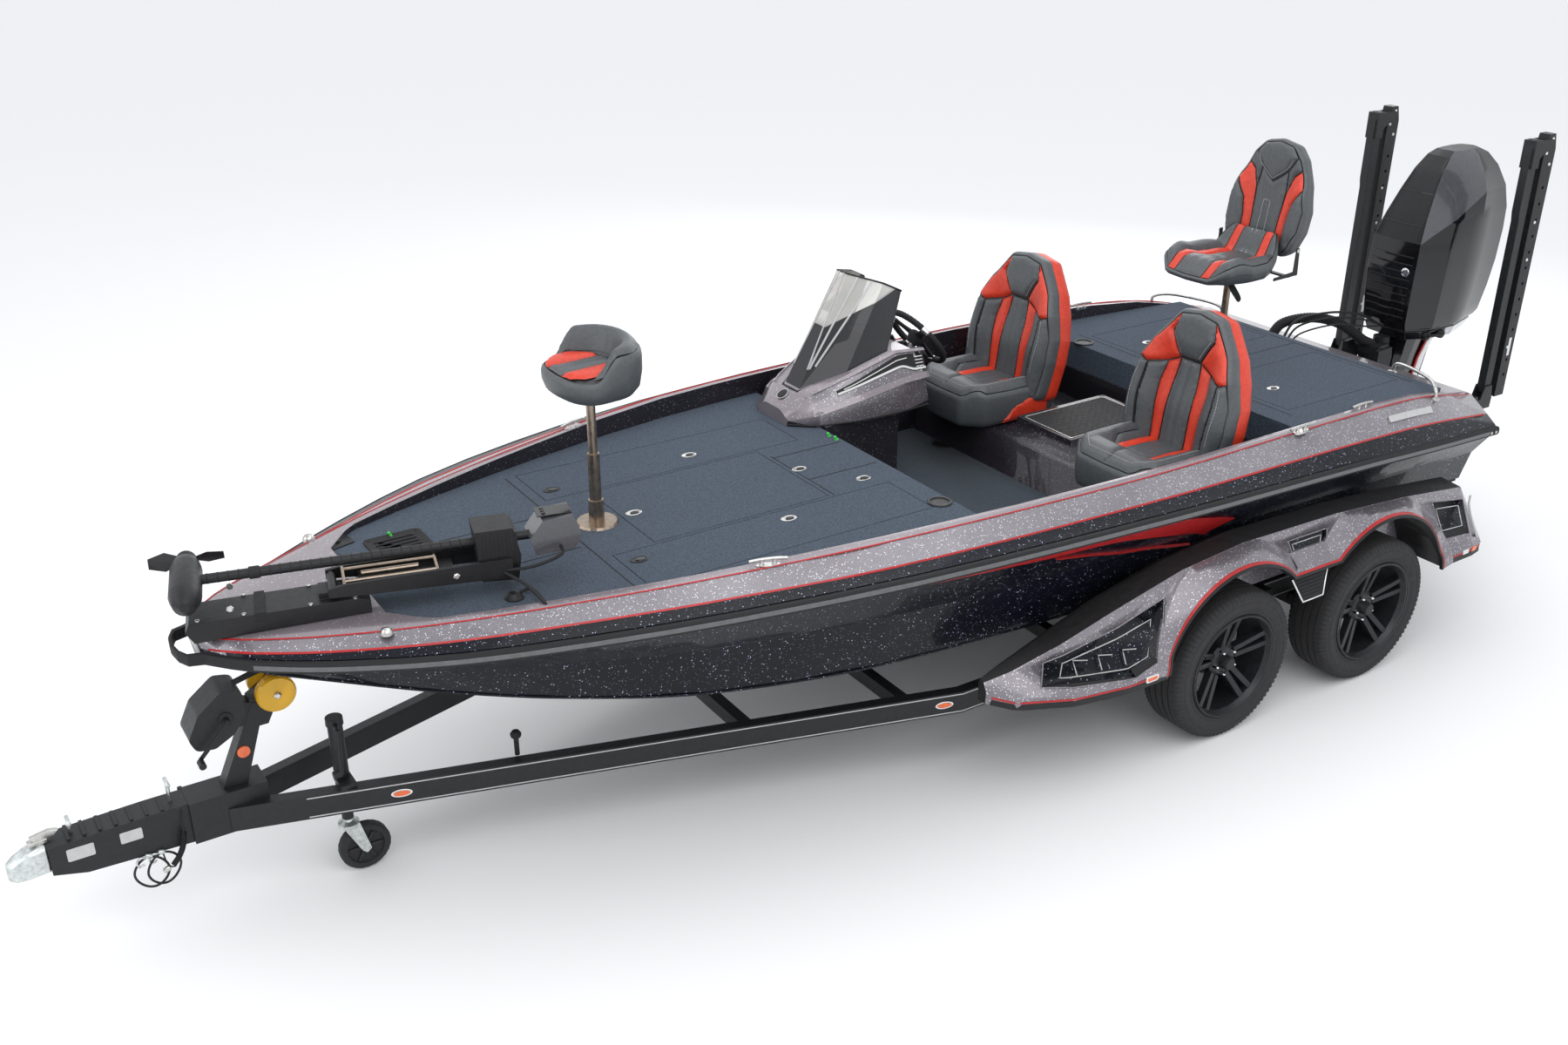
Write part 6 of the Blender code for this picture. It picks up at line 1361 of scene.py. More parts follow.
def fender(word, sign):
    def on_fender(x, y, z, normal):
        silver, soft_black, hull, black = range(4)
        y = abs(y)
        outward = normal.y * sign
        if normal.z > 0.7 and z > fender_row(x)[1] - 0.02:
            return soft_black
        if outward > 0.4 and 1.06 < y < fender_y(x, z) - 0.008:
            return hull
        return silver if outward > 0.25 else black

    refine(f"{word}_fender", ["silver", "soft_black", "hull", "black"], on_fender)
    for name, look, slot, offsets, lift, sink, more in (
            ("flare", "silver", "gunwale_mauve", (0.003, 0.015, 0.030, 0.050, FLARE_WIDE), 0.0012, 0.010,
             {"smooth": 25}),
            ("stripe", "red", "gunwale_mauve", (0.0045, 0.0125), 0.0030, 0.004, {}),
            ("lip", "black", "black_plastic", (-0.008, 0.0045), 0.0045, 0.012, {"bevel": 0.001})):
        finish(f"{word}_fender_{name}", lip_band(bmesh.new(), sign, offsets, lift, sink), look, BOAT, slot=slot,
               **more)

    # Red line and black edge along the foot, ahead of and behind the arches
    for look, wide, rise, lift in (("red", 0.008, 0.034, 0.002), ("black", 0.026, 0.014, 0.003)):
        shape = bmesh.new()
        for start, stop in ((3.195, 2.425), (0.610, 0.335)):
            path = []
            for x in (start + (stop - start) * k / 24 for k in range(25)):
                z = fender_row(x)[0] + rise
                path.append(at(x, sign * (fender_y(x, z) - 0.004 * (1 - rise / 0.05)), z))
            normals = [Vector((0.15 if p.x + MIDDLE > 2.7 else 0, sign, 0.05)) for p in path]
            band(path, normals, wide, shape, lift)
        finish(f"{word}_fender_foot_{look}", shape, look, BOAT, slot="gunwale_mauve")

    # Rims, shelves and fins of the recessed panels
    frames = bmesh.new()
    shelves = bmesh.new()
    fins = bmesh.new()
    for corners in PANELS:
        loop = [tuple(p) for p in dense(corners, 0.03)]
        mid_x, mid_z = (sum(column) / len(corners) for column in zip(*corners))

        def inward(points, share_x, share_z):
            return [(x + (mid_x - x) * share_x, z + (mid_z - z) * share_z) for x, z in points]

        tube([at(x, sign * fender_y(x, z), z) for x, z in loop], 0.0035, frames, 8, closed=True)
        ends = sorted(sorted(corners, key=lambda p: p[1])[:2], reverse=True)
        pulled = inward(ends, 0.16, 0.34)
        shelf = ((ends[0], 0.002), (pulled[0], 0.0115), (pulled[1], 0.0115), (ends[1], 0.002))
        rings(shelves, [[at(x, sign * (fender_y(x, z) - deep + 0.001), z) for (x, z), deep in shelf],
                        [at(x, sign * (fender_y(x, z) - 0.014), z) for (x, z), _ in shelf]])
        tube([at(x, sign * (fender_y(x, z) - 0.0115), z) for x, z in inward(loop, 0.26, 0.42)], 0.0026, fins, 6,
             closed=True)
    for k in range(3):
        x = 2.86 - 0.115 * k
        z = 0.560
        path = [at(x, sign * (fender_y(x, z + rise) - 0.0115), z + rise) for rise in (0.0, 0.020, 0.040, 0.055)]
        path += [at(x - 0.05, sign * (fender_y(x, z) - 0.0115), z + 0.055 + 0.002)]
        tube(path, 0.0026, fins, 6)
    finish(f"{word}_fender_panel_rims", frames, "silver", BOAT, slot="gunwale_mauve", smooth=60)
    finish(f"{word}_fender_panel_shelves", shelves, "soft_black", BOAT, slot="black_plastic")
    finish(f"{word}_fender_panel_fins", fins, "pin", BOAT, slot="gunwale_mauve", smooth=60)

    # Oval marker, tread step, light bar and lenses
    for name, look, (x, z), (long, tall), (near, far), bevel in (
            ("marker", "chrome", (2.474, 0.460), (0.074, 0.032), (1.279, 1.2865), 0.0025),
            ("marker_lens", "orange_lens", (2.484, 0.468), (0.054, 0.016), (1.283, 1.2885), 0.0015)):
        oval = rounded([(x, z), (x + long, z), (x + long, z + tall), (x, z + tall)], tall / 2)
        shape = prism(oval, "y", *sorted((sign * near, sign * far)))
        finish(f"{word}_fender_{name}", shape, look, BOAT, slot="stainless", bevel=bevel)

    def tread(u, v, out):
        """u from front to rear and v down the slanted step."""
        return at(1.515 + (0.115 - 0.050 * v) * u + 0.012 * v, sign * (1.222 + 0.044 * v + out), 0.660 - 0.100 * v)

    shape = rings(bmesh.new(), [[tread(u, v, out) for u, v in ((-1, 0), (1, 0), (1, 1), (-1, 1))]
                                for out in (-0.012, 0.0)])
    finish(f"{word}_fender_step", shape, "soft_black", BOAT, slot="black_plastic", bevel=0.002)
    shape = bmesh.new()
    for k in range(6):
        v = 0.14 + 0.14 * k
        band([tread(u, v, 0.0) for u in (-0.82, 0, 0.82)], (0, sign * 0.9, 0.4), 0.005, shape, 0.0025)
    finish(f"{word}_fender_step_ribs", shape, "black", BOAT, slot="black_plastic")
    edge = [tread(u, v, 0.0) for u, v in ((-1, 0), (-1, 0.5), (-1, 1), (0, 1), (1, 1), (1, 0.5), (1, 0))]
    finish(f"{word}_fender_step_edge", tube(edge, 0.0045, bmesh.new(), 8), "chrome", BOAT, slot="stainless",
           smooth=60)
    path = [at(0.352, sign * (fender_y(0.352, z) + 0.002), z) for z in (0.555, 0.60, 0.65, 0.70, 0.745)]
    shape = band(path, (-0.35, sign, 0.25), 0.014, bmesh.new(), 0.004)
    finish(f"{word}_fender_tail_bar", shape, "pin", BOAT, slot="stainless", bevel=0.002)
    for name, look, stations in (("lamp", "orange_lens", (0.41, 0.39, 0.37)),
                                 ("plate", "white", (0.475, 0.455, 0.435))):
        path = [at(x, sign * (fender_y(x, 0.512) - 0.001), 0.512) for x in stations]
        shape = band(path, (0, sign, 0), 0.022, bmesh.new(), 0.005)
        finish(f"{word}_fender_{name}", shape, look, BOAT, slot="stainless", bevel=0.002)


# Wheels

def tyre_profile(cut):
    """(along, radius) pairs from the outer bead over the tread to the inner bead; cut sinks the shoulder."""
    notch = 0.0045 * cut
    half = [(0.088, 0.2354), (0.093, 0.2385), (0.0965, 0.2470), (0.1005, 0.2500), (0.1022, 0.2600),
            (0.1005, 0.2625), (0.1035, 0.2700), (0.1058, 0.2830), (0.1070, 0.2960), (0.1074, 0.3010),
            (0.1058, 0.3024), (0.1058, 0.3060), (0.1073, 0.3075), (0.1070 - notch * 0.4, 0.3160),
            (0.1048 - notch * 0.9, 0.3270 - notch * 0.3), (0.1005 - notch, 0.3365 - notch),
            (0.0950 - notch * 0.6, 0.3430 - notch), (0.0860, 0.3470 - notch), (0.0760, 0.3486 - notch),
            (0.0665, 0.3491 - notch * 0.6), (0.0580, 0.3493), (0.0572, 0.3430), (0.0508, 0.3430), (0.0500, 0.3496),
            (0.0240, 0.3500), (0.0232, 0.3435), (0.0148, 0.3435), (0.0140, 0.3500)]
    return half + [(-a, r) for a, r in reversed(half)]


def wheel(name, x, side):
    centre = at(x, side * 1.155, 0.350)
    along, up, across = basis((0, side, 0))
    body = BODY_OF[f"{name}_rim"]

    def outward(angle):
        return up * math.cos(angle) + across * math.sin(angle)

    rows = []
    for k, angle in enumerate(around(264)):
        profile = tyre_profile(1 if k % 3 == 0 else 0)
        rows.append([centre + along * a + outward(angle) * r for a, r in profile])
    shape = rings(bmesh.new(), rows, caps=False)
    finish(f"{name}_tyre_skin", shape, "rubber", body, slot="tyre_rubber", smooth=30, replaces=(f"{name}_tyre",))
    refine(f"{name}_rim", ["charcoal"], bevel=0.0022, slot="satin_black")
    nuts = bmesh.new()
    for k in range(5):
        spot = centre + outward(math.radians(72 * k + 54)) * 0.0575
        knob([(0.028, 0.010), (0.052, 0.010), (0.060, 0.008), (0.066, 0.004)], spot, along, 6, nuts)
    finish(f"{name}_nuts", nuts, "chrome", body, slot="stainless", bevel=0.0008)
    shape = knob([(0.074, 0.030), (0.080, 0.029), (0.084, 0.024), (0.0845, 0.006)], centre, along, 36, bmesh.new())
    finish(f"{name}_cap", shape, "black", body, slot="black_plastic")
    stem = centre + outward(0.3) * 0.212 + along * 0.085
    shape = rod(stem, stem + along * 0.020, 0.004, 10, bmesh.new())
    # a fine ring at the rim's outer edge
    lathe([(0.1045, 0.2395), (0.1075, 0.2410), (0.1075, 0.2345), (0.1045, 0.2335)], centre, along, 96, shape)
    finish(f"{name}_valve", shape, "black", body, slot="black_plastic")


# Console, screen and helm

CONSOLE_Y = -0.590
# columns: station, half width, shoulder z, top z, half width of the top
CONSOLE = (
    (2.450, 0.255, 1.310, 1.420, 0.205),
    (2.640, 0.275, 1.310, 1.440, 0.215),
    (2.860, 0.265, 1.270, 1.370, 0.200),
    (3.060, 0.215, 1.220, 1.290, 0.140),
    (3.170, 0.120, 1.180, 1.215, 0.060),
)
CONSOLE_SKIN = BVHTree.FromPolygons([v.co.copy() for v in CAD["console"].data.vertices],
                                    [list(p.vertices) for p in CAD["console"].data.polygons])


def console_spot(x, share, side, out=0.0):
    """A point on the console's upper side, at a share of the way from its shoulder to its top."""
    half, shoulder, top, top_half = read(CONSOLE, x)
    nominal = at(x, CONSOLE_Y + side * (half + (top_half - half) * share), shoulder + (top - shoulder) * share)
    outward = Vector((0, side * 0.85, 0.53)).normalized()
    met = CONSOLE_SKIN.ray_cast(nominal + outward * 0.10, -outward, 0.16)[0]
    return (met or nominal) + outward * out


def helm():
    def on_console(x, y, z, normal):
        silver, mauve, black, liner = range(4)
        if z < 1.17:
            return liner
        return mauve if x > 3.02 or normal.z > 0.85 else silver

    refine("console", ["silver", "mauve", "black", "liner"], on_console)
    borders = bmesh.new()
    louvres = bmesh.new()
    lines = bmesh.new()
    foot = bmesh.new()
    for side in (1, -1):
        stations = [2.46 + 0.62 * k / 14 for k in range(15)]
        band([console_spot(x, 0.0, side) for x in stations], (0.15, side * 0.85, 0.5), 0.030, borders, 0.0025,
             0.006)
        band([console_spot(x, 0.97, side) for x in stations], (0.1, side * 0.5, 0.85), 0.018, borders, 0.0030,
             0.006)
        low = [(x, 0.22 + 0.18 * smooth(x, 2.54, 2.62)) for x in (2.475 + 0.475 * k / 24 for k in range(25))]
        high = [(x, 0.86 - 0.24 * max(0.0, (x - 2.60) / 0.35)) for x, _ in low]
        rows = []
        for (x, a), (_, b) in zip(low, high):
            shares = [a + (b - a) * k / 5 for k in range(6)]
            rows.append([console_spot(x, share, side, 0.004) for share in shares]
                        + [console_spot(x, share, side, -0.006) for share in reversed(shares)])
        rings(louvres, rows)
        normal = (0.1, side * 0.9, 0.42)
        band([console_spot(x, a + 0.06, side, 0.004) for x, a in low], normal, 0.010, lines, 0.0025)
        for k in range(4):
            share = 0.36 + 0.12 * k
            band([console_spot(2.485, share, side, 0.004), console_spot(2.535, share, side, 0.004)], normal, 0.004,
                 lines, 0.0025)
        band([console_spot(2.58 + 0.34 * k / 16, 0.72 - 0.17 * k / 16, side, 0.004) for k in range(17)], normal,
             0.004, lines, 0.0022)
        trim = [at(x, CONSOLE_Y + side * (read(CONSOLE, x)[0] + 0.001), 1.158) for x in stations + [3.12, 3.165]]
        tube(trim, 0.006, foot, 8)
    finish("console_borders", borders, "mauve", BOAT, slot="gunwale_mauve")
    finish("console_louvres", louvres, "soft_black", BOAT, slot="black_plastic")
    finish("console_lines", lines, "white", BOAT, slot="gunwale_mauve")
    finish("console_foot_trim", foot, "black", BOAT, slot="black_plastic", smooth=60)
    shape = bmesh.new()
    face = Vector((0.55, 0, 0.83))
    knob([(-0.004, 0.030), (0.003, 0.030), (0.006, 0.026), (0.007, 0.010)], at(3.112, CONSOLE_Y, 1.256), face, 28,
         shape)
    finish("console_nose_oval", shape, "black", BOAT, slot="black_plastic")
    shape = bmesh.new()
    lathe([(0.001, 0.0300), (0.007, 0.0300), (0.007, 0.0275), (0.001, 0.0275)], at(3.112, CONSOLE_Y, 1.256), face,
          28, shape)
    finish("console_nose_ring", shape, "chrome", BOAT, slot="stainless")

    # Gauges and switches on the helm side
    rims = bmesh.new()
    faces = bmesh.new()
    for y, z, radius in ((-0.13, 1.372, 0.034), (0.13, 1.372, 0.034), (-0.055, 1.392, 0.022),
                         (0.055, 1.392, 0.022)):
        spot = at(2.4500, CONSOLE_Y + y, z)
        lathe([(0.0, radius), (0.006, radius), (0.006, radius - 0.004), (0.0, radius - 0.004)], spot, (-1, 0, 0),
              28, rims)
        knob([(0.0, radius - 0.004), (0.003, radius - 0.005), (0.004, 0.004)], spot, (-1, 0, 0), 28, faces)
    for k in range(6):
        y = -0.075 + 0.030 * k
        box((2.441, CONSOLE_Y + y - 0.009, 1.255), (2.4497, CONSOLE_Y + y + 0.009, 1.290), faces)
    finish("helm_gauge_rims", rims, "chrome", BOAT, slot="stainless")
    finish("helm_gauges", faces, "gloss", BOAT, slot="black_plastic", bevel=0.001)
    shape = box((2.375, -0.812, 1.08), (2.452, -0.770, 1.175))
    rod(at(2.412, -0.79, 1.17), at(2.400, -0.79, 1.285), 0.011, 14, shape)
    rod(at(2.400, -0.812, 1.29), at(2.400, -0.745, 1.29), 0.017, 16, shape)
    finish("throttle_lever", shape, "black", BOAT, slot="black_plastic", bevel=0.004)


def windscreen():
    shape = bmesh.new()
    shape.from_mesh(CAD["windscreen"].data)
    spot, normal = at(2.72, CONSOLE_Y, 1.650), Vector((0.42, 0, 0.90)).normalized()
    bmesh.ops.bisect_plane(shape, geom=shape.verts[:] + shape.edges[:] + shape.faces[:], plane_co=spot,
                           plane_no=normal)
    for face in shape.faces:
        face.material_index = 1 if (face.calc_center_median() - spot).dot(normal) > 0 else 0
    finish("windscreen_skin", shape, ["smoke", "clear"], BOAT, slot="smoked_screen", smooth=20,
           replaces=("windscreen",))
    shape = bmesh.new()
    edge = bmesh.new()
    for side in (1, -1):
        foot, crown = Vector((3.070, side * 0.060, 1.271)), Vector((2.790, side * 0.040, 1.790))
        back, aft = Vector((2.650, side * 0.130, 1.745)), Vector((2.870, side * 0.165, 1.354))
        start = foot.lerp(crown, 0.20)
        quarter = (back - crown).cross(foot - crown).normalized()
        if quarter.y * side < 0:
            quarter.negate()
        front = Vector((0.88, 0, 0.475))
        for a, b, normal in ((start, crown.lerp(Vector((2.790, 0, 1.790)), 0.55), front),
                             (start + (aft - foot) * 0.04, crown.lerp(back, 0.30), quarter),
                             (start + (aft - foot) * 0.16, crown.lerp(back, 0.72), quarter)):
            lines = [a.lerp(b, k / 8) + Vector((0, CONSOLE_Y, 0)) for k in range(9)]
            band([at(*p) for p in lines], normal, 0.009, shape, 0.002)
        rim = [Vector((2.560, side * 0.150, 1.700)), back, crown, Vector((2.790, 0, 1.790))]
        tube([at(p.x - 0.002, CONSOLE_Y + p.y, p.z) for p in rim], 0.0045, edge, 8)
        low = [Vector((2.662, side * 0.186, 1.424)), Vector((2.871, side * 0.167, 1.358)),
               Vector((3.072, side * 0.061, 1.279)), Vector((3.072, 0, 1.279))]
        tube([at(p.x, CONSOLE_Y + p.y, p.z) for p in low], 0.007, edge, 8)
    finish("windscreen_lines", shape, "pin", BOAT, slot="smoked_screen")
    finish("windscreen_edge_trim", edge, "black", BOAT, slot="black_plastic", smooth=60)


def steering_wheel():
    body = BODY_OF["steering_wheel"]
    spokes = (0, 125, 235)       # in degrees round the rim, from its foot
    place = at(2.340, CONSOLE_Y, 1.400)
    tilt = math.radians(38)
    axis = Vector((-math.cos(tilt), 0, math.sin(tilt)))
    up = Vector((math.sin(tilt), 0, math.cos(tilt)))
    side = Vector((0, 1, 0))

    def rim_point(degrees, radius=0.165):
        angle = math.radians(degrees)
        return place + (side * math.sin(angle) - up * math.cos(angle)) * radius

    def spoke(degrees):
        out = (rim_point(degrees) - place).normalized()
        return out, axis.cross(out)

    shape = tube([rim_point(360 * k / 72) for k in range(72)], 0.0152, bmesh.new(), 14, closed=True)
    for k in range(48):
        lathe([(-0.006, 0.0150), (0, 0.0165), (0.006, 0.0150)], rim_point(7.5 * k),
              rim_point(7.5 * k + 2) - rim_point(7.5 * k), 10, shape)
    knob([(-0.050, 0.026), (-0.012, 0.045), (0.010, 0.042), (0.016, 0.032), (0.018, 0.010)], place, axis, 32, shape)
    section = ((-1, -0.4), (-0.7, -1), (0.7, -1), (1, -0.4), (1, 0.4), (0.7, 1), (-0.7, 1), (-1, 0.4))
    for degrees in spokes:
        out, across = spoke(degrees)
        rings(shape, [[place + out * reach + across * (a * wide) + axis * (b * thick) for a, b in section]
                      for reach, wide, thick in ((0.030, 0.024, 0.009), (0.085, 0.015, 0.007),
                                                 (0.158, 0.020, 0.007))])
    finish("steering_wheel_skin", shape, "soft_black", body, slot="black_plastic", smooth=50,
           replaces=("steering_wheel",))
    shape = bmesh.new()
    for degrees in spokes:
        tube([rim_point(degrees + k * 2 - 6) for k in range(7)], 0.0162, shape, 14)
        out, across = spoke(degrees)
        rings(shape, [[place + out * reach + across * (a * wide) + axis * lift
                       for a, lift in ((-1, 0.006), (1, 0.006), (1, 0.0095), (-1, 0.0095))]
                      for reach, wide in ((0.052, 0.007), (0.140, 0.004))])
    lathe([(0.014, 0.026), (0.019, 0.026), (0.019, 0.022), (0.014, 0.022)], place, axis, 32, shape)
    finish("steering_wheel_accents", shape, "chrome", body, slot="stainless")


# Decks and cockpit

def ellipse(x, y, long, wide, steps=28, turn=0.0):
    made = []
    for angle in around(steps):
        a, b = long * math.cos(angle), wide * math.sin(angle)
        made.append((x + a * math.cos(turn) - b * math.sin(turn), y + a * math.sin(turn) + b * math.cos(turn)))
    return made


def latch(name, x, y, z, body, look="steel"):
    """An oval plate with its lever set in a dish."""
    def stack(centre, levels):
        return rings(bmesh.new(), [[at(px, py, z + rise) for px, py in ellipse(centre, y, long, wide)]
                                   for rise, long, wide in levels])

    plate = stack(x, ((-0.001, 0.036, 0.025), (0.0018, 0.0355, 0.0245), (0.0030, 0.032, 0.021),
                      (0.0012, 0.027, 0.0165)))
    finish(f"{name}_plate", plate, look, body, slot="stainless", smooth=40)
    lever = stack(x - 0.004, ((0.0013, 0.018, 0.013), (0.0030, 0.018, 0.012), (0.0042, 0.013, 0.008)))
    finish(f"{name}_lever", lever, "charcoal" if look == "steel" else "gloss", body, slot="black_plastic",
           smooth=40)


FORE_Z = 1.1505              # just above the fore deck
AFT_Z = 1.1655               # just above the aft deck


def deck_details():
    for name, x, y, node, look in (
            ("starboard_rod_latch", 3.719, -0.409, "starboard_rod_lid", "steel"),
            ("starboard_rod_fore_latch", 4.385, -0.388, "starboard_rod_lid", "black"),
            ("port_rod_latch", 3.709, 0.382, "port_rod_lid", "steel"),
            ("port_rod_fore_latch", 4.385, 0.388, "port_rod_lid", "black"),
            ("centre_latch", 3.397, -0.017, "fore_deck", "steel"),
            ("small_hatch_latch", 3.225, 0.213, "fore_deck", "steel"),
            ("centre_fore_latch", 4.205, 0.0, "centre_lid", "steel"),
            ("bow_latch", 4.62, 0.02, "fore_deck", "black")):
        latch(name, x, y, FORE_Z, BODY_OF[node], look)
    latch("port_aft_latch", 0.93, 0.42, AFT_Z, BODY_OF["port_aft_lid"])
    latch("starboard_aft_latch", 0.93, -0.42, AFT_Z, BODY_OF["starboard_aft_lid"])

    # Fine seams of the hatches that stay shut, and a cup holder
    shape = bmesh.new()
    for z, lines in (
            (1.1503, (((3.075, 0.10), (3.425, 0.10)), ((3.075, -0.18), (3.425, -0.18)),
                      ((3.425, -0.20), (3.425, 0.29)), ((4.50, -0.60), (4.50, 0.60)),
                      ((4.52, -0.17), (4.98, -0.17)), ((4.52, 0.17), (4.98, 0.17)), ((4.98, -0.17), (4.98, 0.17)))),
            (1.1653, (((1.145, -0.72), (1.145, 0.72)), ((0.285, -0.72), (0.285, 0.72)), ((0.285, 0), (1.145, 0))))):
        for start, stop in lines:
            path = [at(*Vector(start).lerp(Vector(stop), k / 6), z) for k in range(7)]
            band(path, UP, 0.005, shape, 0.0007, 0.002)
    finish("deck_seams", shape, "soft_black", BOAT, slot="carpet")
    shape = bmesh.new()
    for x, y, z in ((3.105, 0.583, FORE_Z), (2.10, -0.66, 0.7605), (1.22, -0.60, AFT_Z)):
        knob([(0.0, 0.050), (0.003, 0.052), (0.006, 0.049), (0.006, 0.041), (0.0012, 0.038), (0.0008, 0.006)],
             at(x, y, z), UP, 32, shape)
    finish("cup_rings", shape, "black", BOAT, slot="black_plastic")
    shape = bmesh.new()
    for x, y in ((3.075, -0.262), (3.072, -0.210), (5.10, -0.322)):
        rod(at(x, y, 1.151), at(x + 0.008, y, 1.168), 0.006, 10, shape)
        knob([(0, 0.010), (0.003, 0.010), (0.004, 0.006)], at(x, y, 1.1503), UP, 16, shape)
    finish("deck_clips", shape, "green", BOAT, slot="carpet")

    # Recessed foot tray and switch panel at the bow
    shape = bmesh.new()
    rim = rounded([(4.985, -0.330), (5.215, -0.330), (5.215, -0.060), (4.985, -0.060)], 0.03, 4)
    rings(shape, [[at(x, y, 1.1502 + rise) for x, y in offset(rim, grow)]
                  for rise, grow in ((-0.001, 0.0), (0.006, 0.0), (0.007, -0.006), (0.003, -0.016),
                                     (0.0012, -0.050))])
    finish("bow_tray", shape, "soft_black", BOAT, slot="black_plastic")
    shape = bmesh.new()
    for k in range(7):
        y = -0.285 + 0.030 * k
        rod(at(5.02, y, 1.1535), at(5.18, y, 1.1535), 0.004, 8, shape)
    finish("bow_tray_ribs", shape, "black", BOAT, slot="black_plastic")
    shape = bmesh.new()
    panel = rounded([(5.245, -0.430), (5.440, -0.360), (5.420, -0.290), (5.235, -0.340)], 0.015, 3)
    rings(shape, [[at(x, y, 1.1502 + rise) for x, y in offset(panel, grow)]
                  for rise, grow in ((-0.001, 0.0), (0.004, 0.0), (0.006, -0.003))])
    for x, y in ((5.300, -0.372), (5.370, -0.352)):
        knob([(0.004, 0.018), (0.013, 0.017), (0.015, 0.012)], at(x, y, 1.1502), UP, 20, shape)
    finish("bow_switch_panel", shape, "black", BOAT, slot="black_plastic", bevel=0.001)


def cockpit():
    def on_liner(x, y, z, normal):
        return 0 if normal.z > 0.8 and z < 0.80 else 1

    refine("cockpit_liner", ["floor_carpet", "liner"], on_liner)
    # Diamond tread and edging of the centre step
    shape = bmesh.new()
    diamond = ((-0.010, 0), (0, -0.0055), (0.010, 0), (0, 0.0055))
    for i in range(24):
        for j in range(i % 2, 17, 2):
            x, y = 1.502 + 0.0208 * i, -0.150 + 0.01875 * j
            base, top = ([shape.verts.new(at(x + a * grow, y + b * grow, z)) for a, b in diamond]
                         for grow, z in ((1, 1.0499), (0.6, 1.0516)))
            for k in range(4):
                shape.faces.new((base[k], base[(k + 1) % 4], top[(k + 1) % 4], top[k]))
            shape.faces.new(top)
    finish("step_tread", shape, "black", BODY_OF["step_lid"], slot="black_plastic")
    shape = bmesh.new()
    edge = rounded([(1.484, -0.166), (1.996, -0.166), (1.996, 0.166), (1.484, 0.166)], 0.012, 3)
    tube([at(x, y, 1.0495) for x, y in edge], 0.0035, shape, 8, closed=True)
    finish("step_edging", shape, "steel", BODY_OF["step_lid"], slot="stainless", smooth=60)


def boat_hardware():
    # Cleats: two feet and a bar
    shape = bmesh.new()
    spots = [(1.428, 0.996, 1.240, 0.04), (0.94, 0.935, 1.225, 0.05), (4.079, 0.815, 1.226, -0.32)]
    for x, y, z, turn in spots:
        run = Vector((math.cos(turn), math.sin(turn), 0))
        middle = at(x, y, z)
        path = [middle + run * reach + Vector((0, 0, rise))
                for reach, rise in ((-0.072, 0.020), (-0.030, 0.024), (0.030, 0.024), (0.072, 0.020))]
        tube(curve_points(path, 15), 0.0065, shape, 12)
        for way in (1, -1):
            knob([(-0.008, 0.013), (0.002, 0.012), (0.008, 0.007), (0.024, 0.006)], middle + run * 0.024 * way, UP,
                 14, shape)
        rings(shape, [[at(px, py, z + rise) for px, py in ellipse(x, y, 0.046, 0.017, 24, turn)]
                      for rise in (-0.006, 0.0025)])
    finish("cleats", both(shape), "steel", BOAT, slot="stainless", smooth=50)

    # Grab rail over the port quarter, and trim plates on the gunwale
    shape = bmesh.new()
    rail = curve_points([at(0.215, 0.560, 1.160), at(0.222, 0.585, 1.205), at(0.262, 0.690, 1.222),
                         at(0.330, 0.850, 1.225), at(0.385, 0.925, 1.205), at(0.392, 0.935, 1.165)], 40)
    tube(rail, 0.009, shape, 14)
    for spot in (rail[0], rail[-1]):
        knob([(-0.004, 0.022), (0.004, 0.021), (0.007, 0.012)], spot, UP, 20, shape)
    finish("quarter_rails", both(shape), "steel", BOAT, slot="stainless", smooth=60)
    path = []
    for x in (0.46 + 0.36 * k / 8 for k in range(9)):
        y, z = (table(PIN_Y, x) + table(CREST_Y, x)) / 2, (table(PIN_Z, x) + table(CREST_Z, x)) / 2
        path.append(at(x, y + 0.004, z + 0.002))
    shape = band(path, (0, 0.80, 0.60), 0.032, bmesh.new(), 0.003, 0.006)
    finish("quarter_plates", both(shape), "pin", BOAT, slot="stainless", bevel=0.002)
    light_x, light_y = 5.384, 0.440
    shape = knob([(-0.004, 0.024), (0.006, 0.023), (0.016, 0.016), (0.020, 0.006)],
                 at(light_x, light_y, table(CREST_Z, light_x) + 0.001), UP, 24, bmesh.new())
    finish("bow_lights", both(shape), "steel", BOAT, slot="stainless")


# Trolling motor

TROLL_TURN = math.radians(14)    # the stowed motor's turn from the boat's middle
TROLL_X, TROLL_Y = 5.960, 0.050


def troll(s, t, z):
    """A point at s aft along the stowed motor from its bow end, t across it, and z up."""
    c, n = math.cos(TROLL_TURN), math.sin(TROLL_TURN)
    return at(TROLL_X - s * c + t * n, TROLL_Y + s * n + t * c, z)


TROLL_RUN = troll(1, 0, 1) - troll(0, 0, 1)


def troll_box(low, high, shape):
    (a, b, c), (d, e, f) = low, high
    return rings(shape, [[troll(s, b, c), troll(s, e, c), troll(s, e, f), troll(s, b, f)] for s in (a, d)])


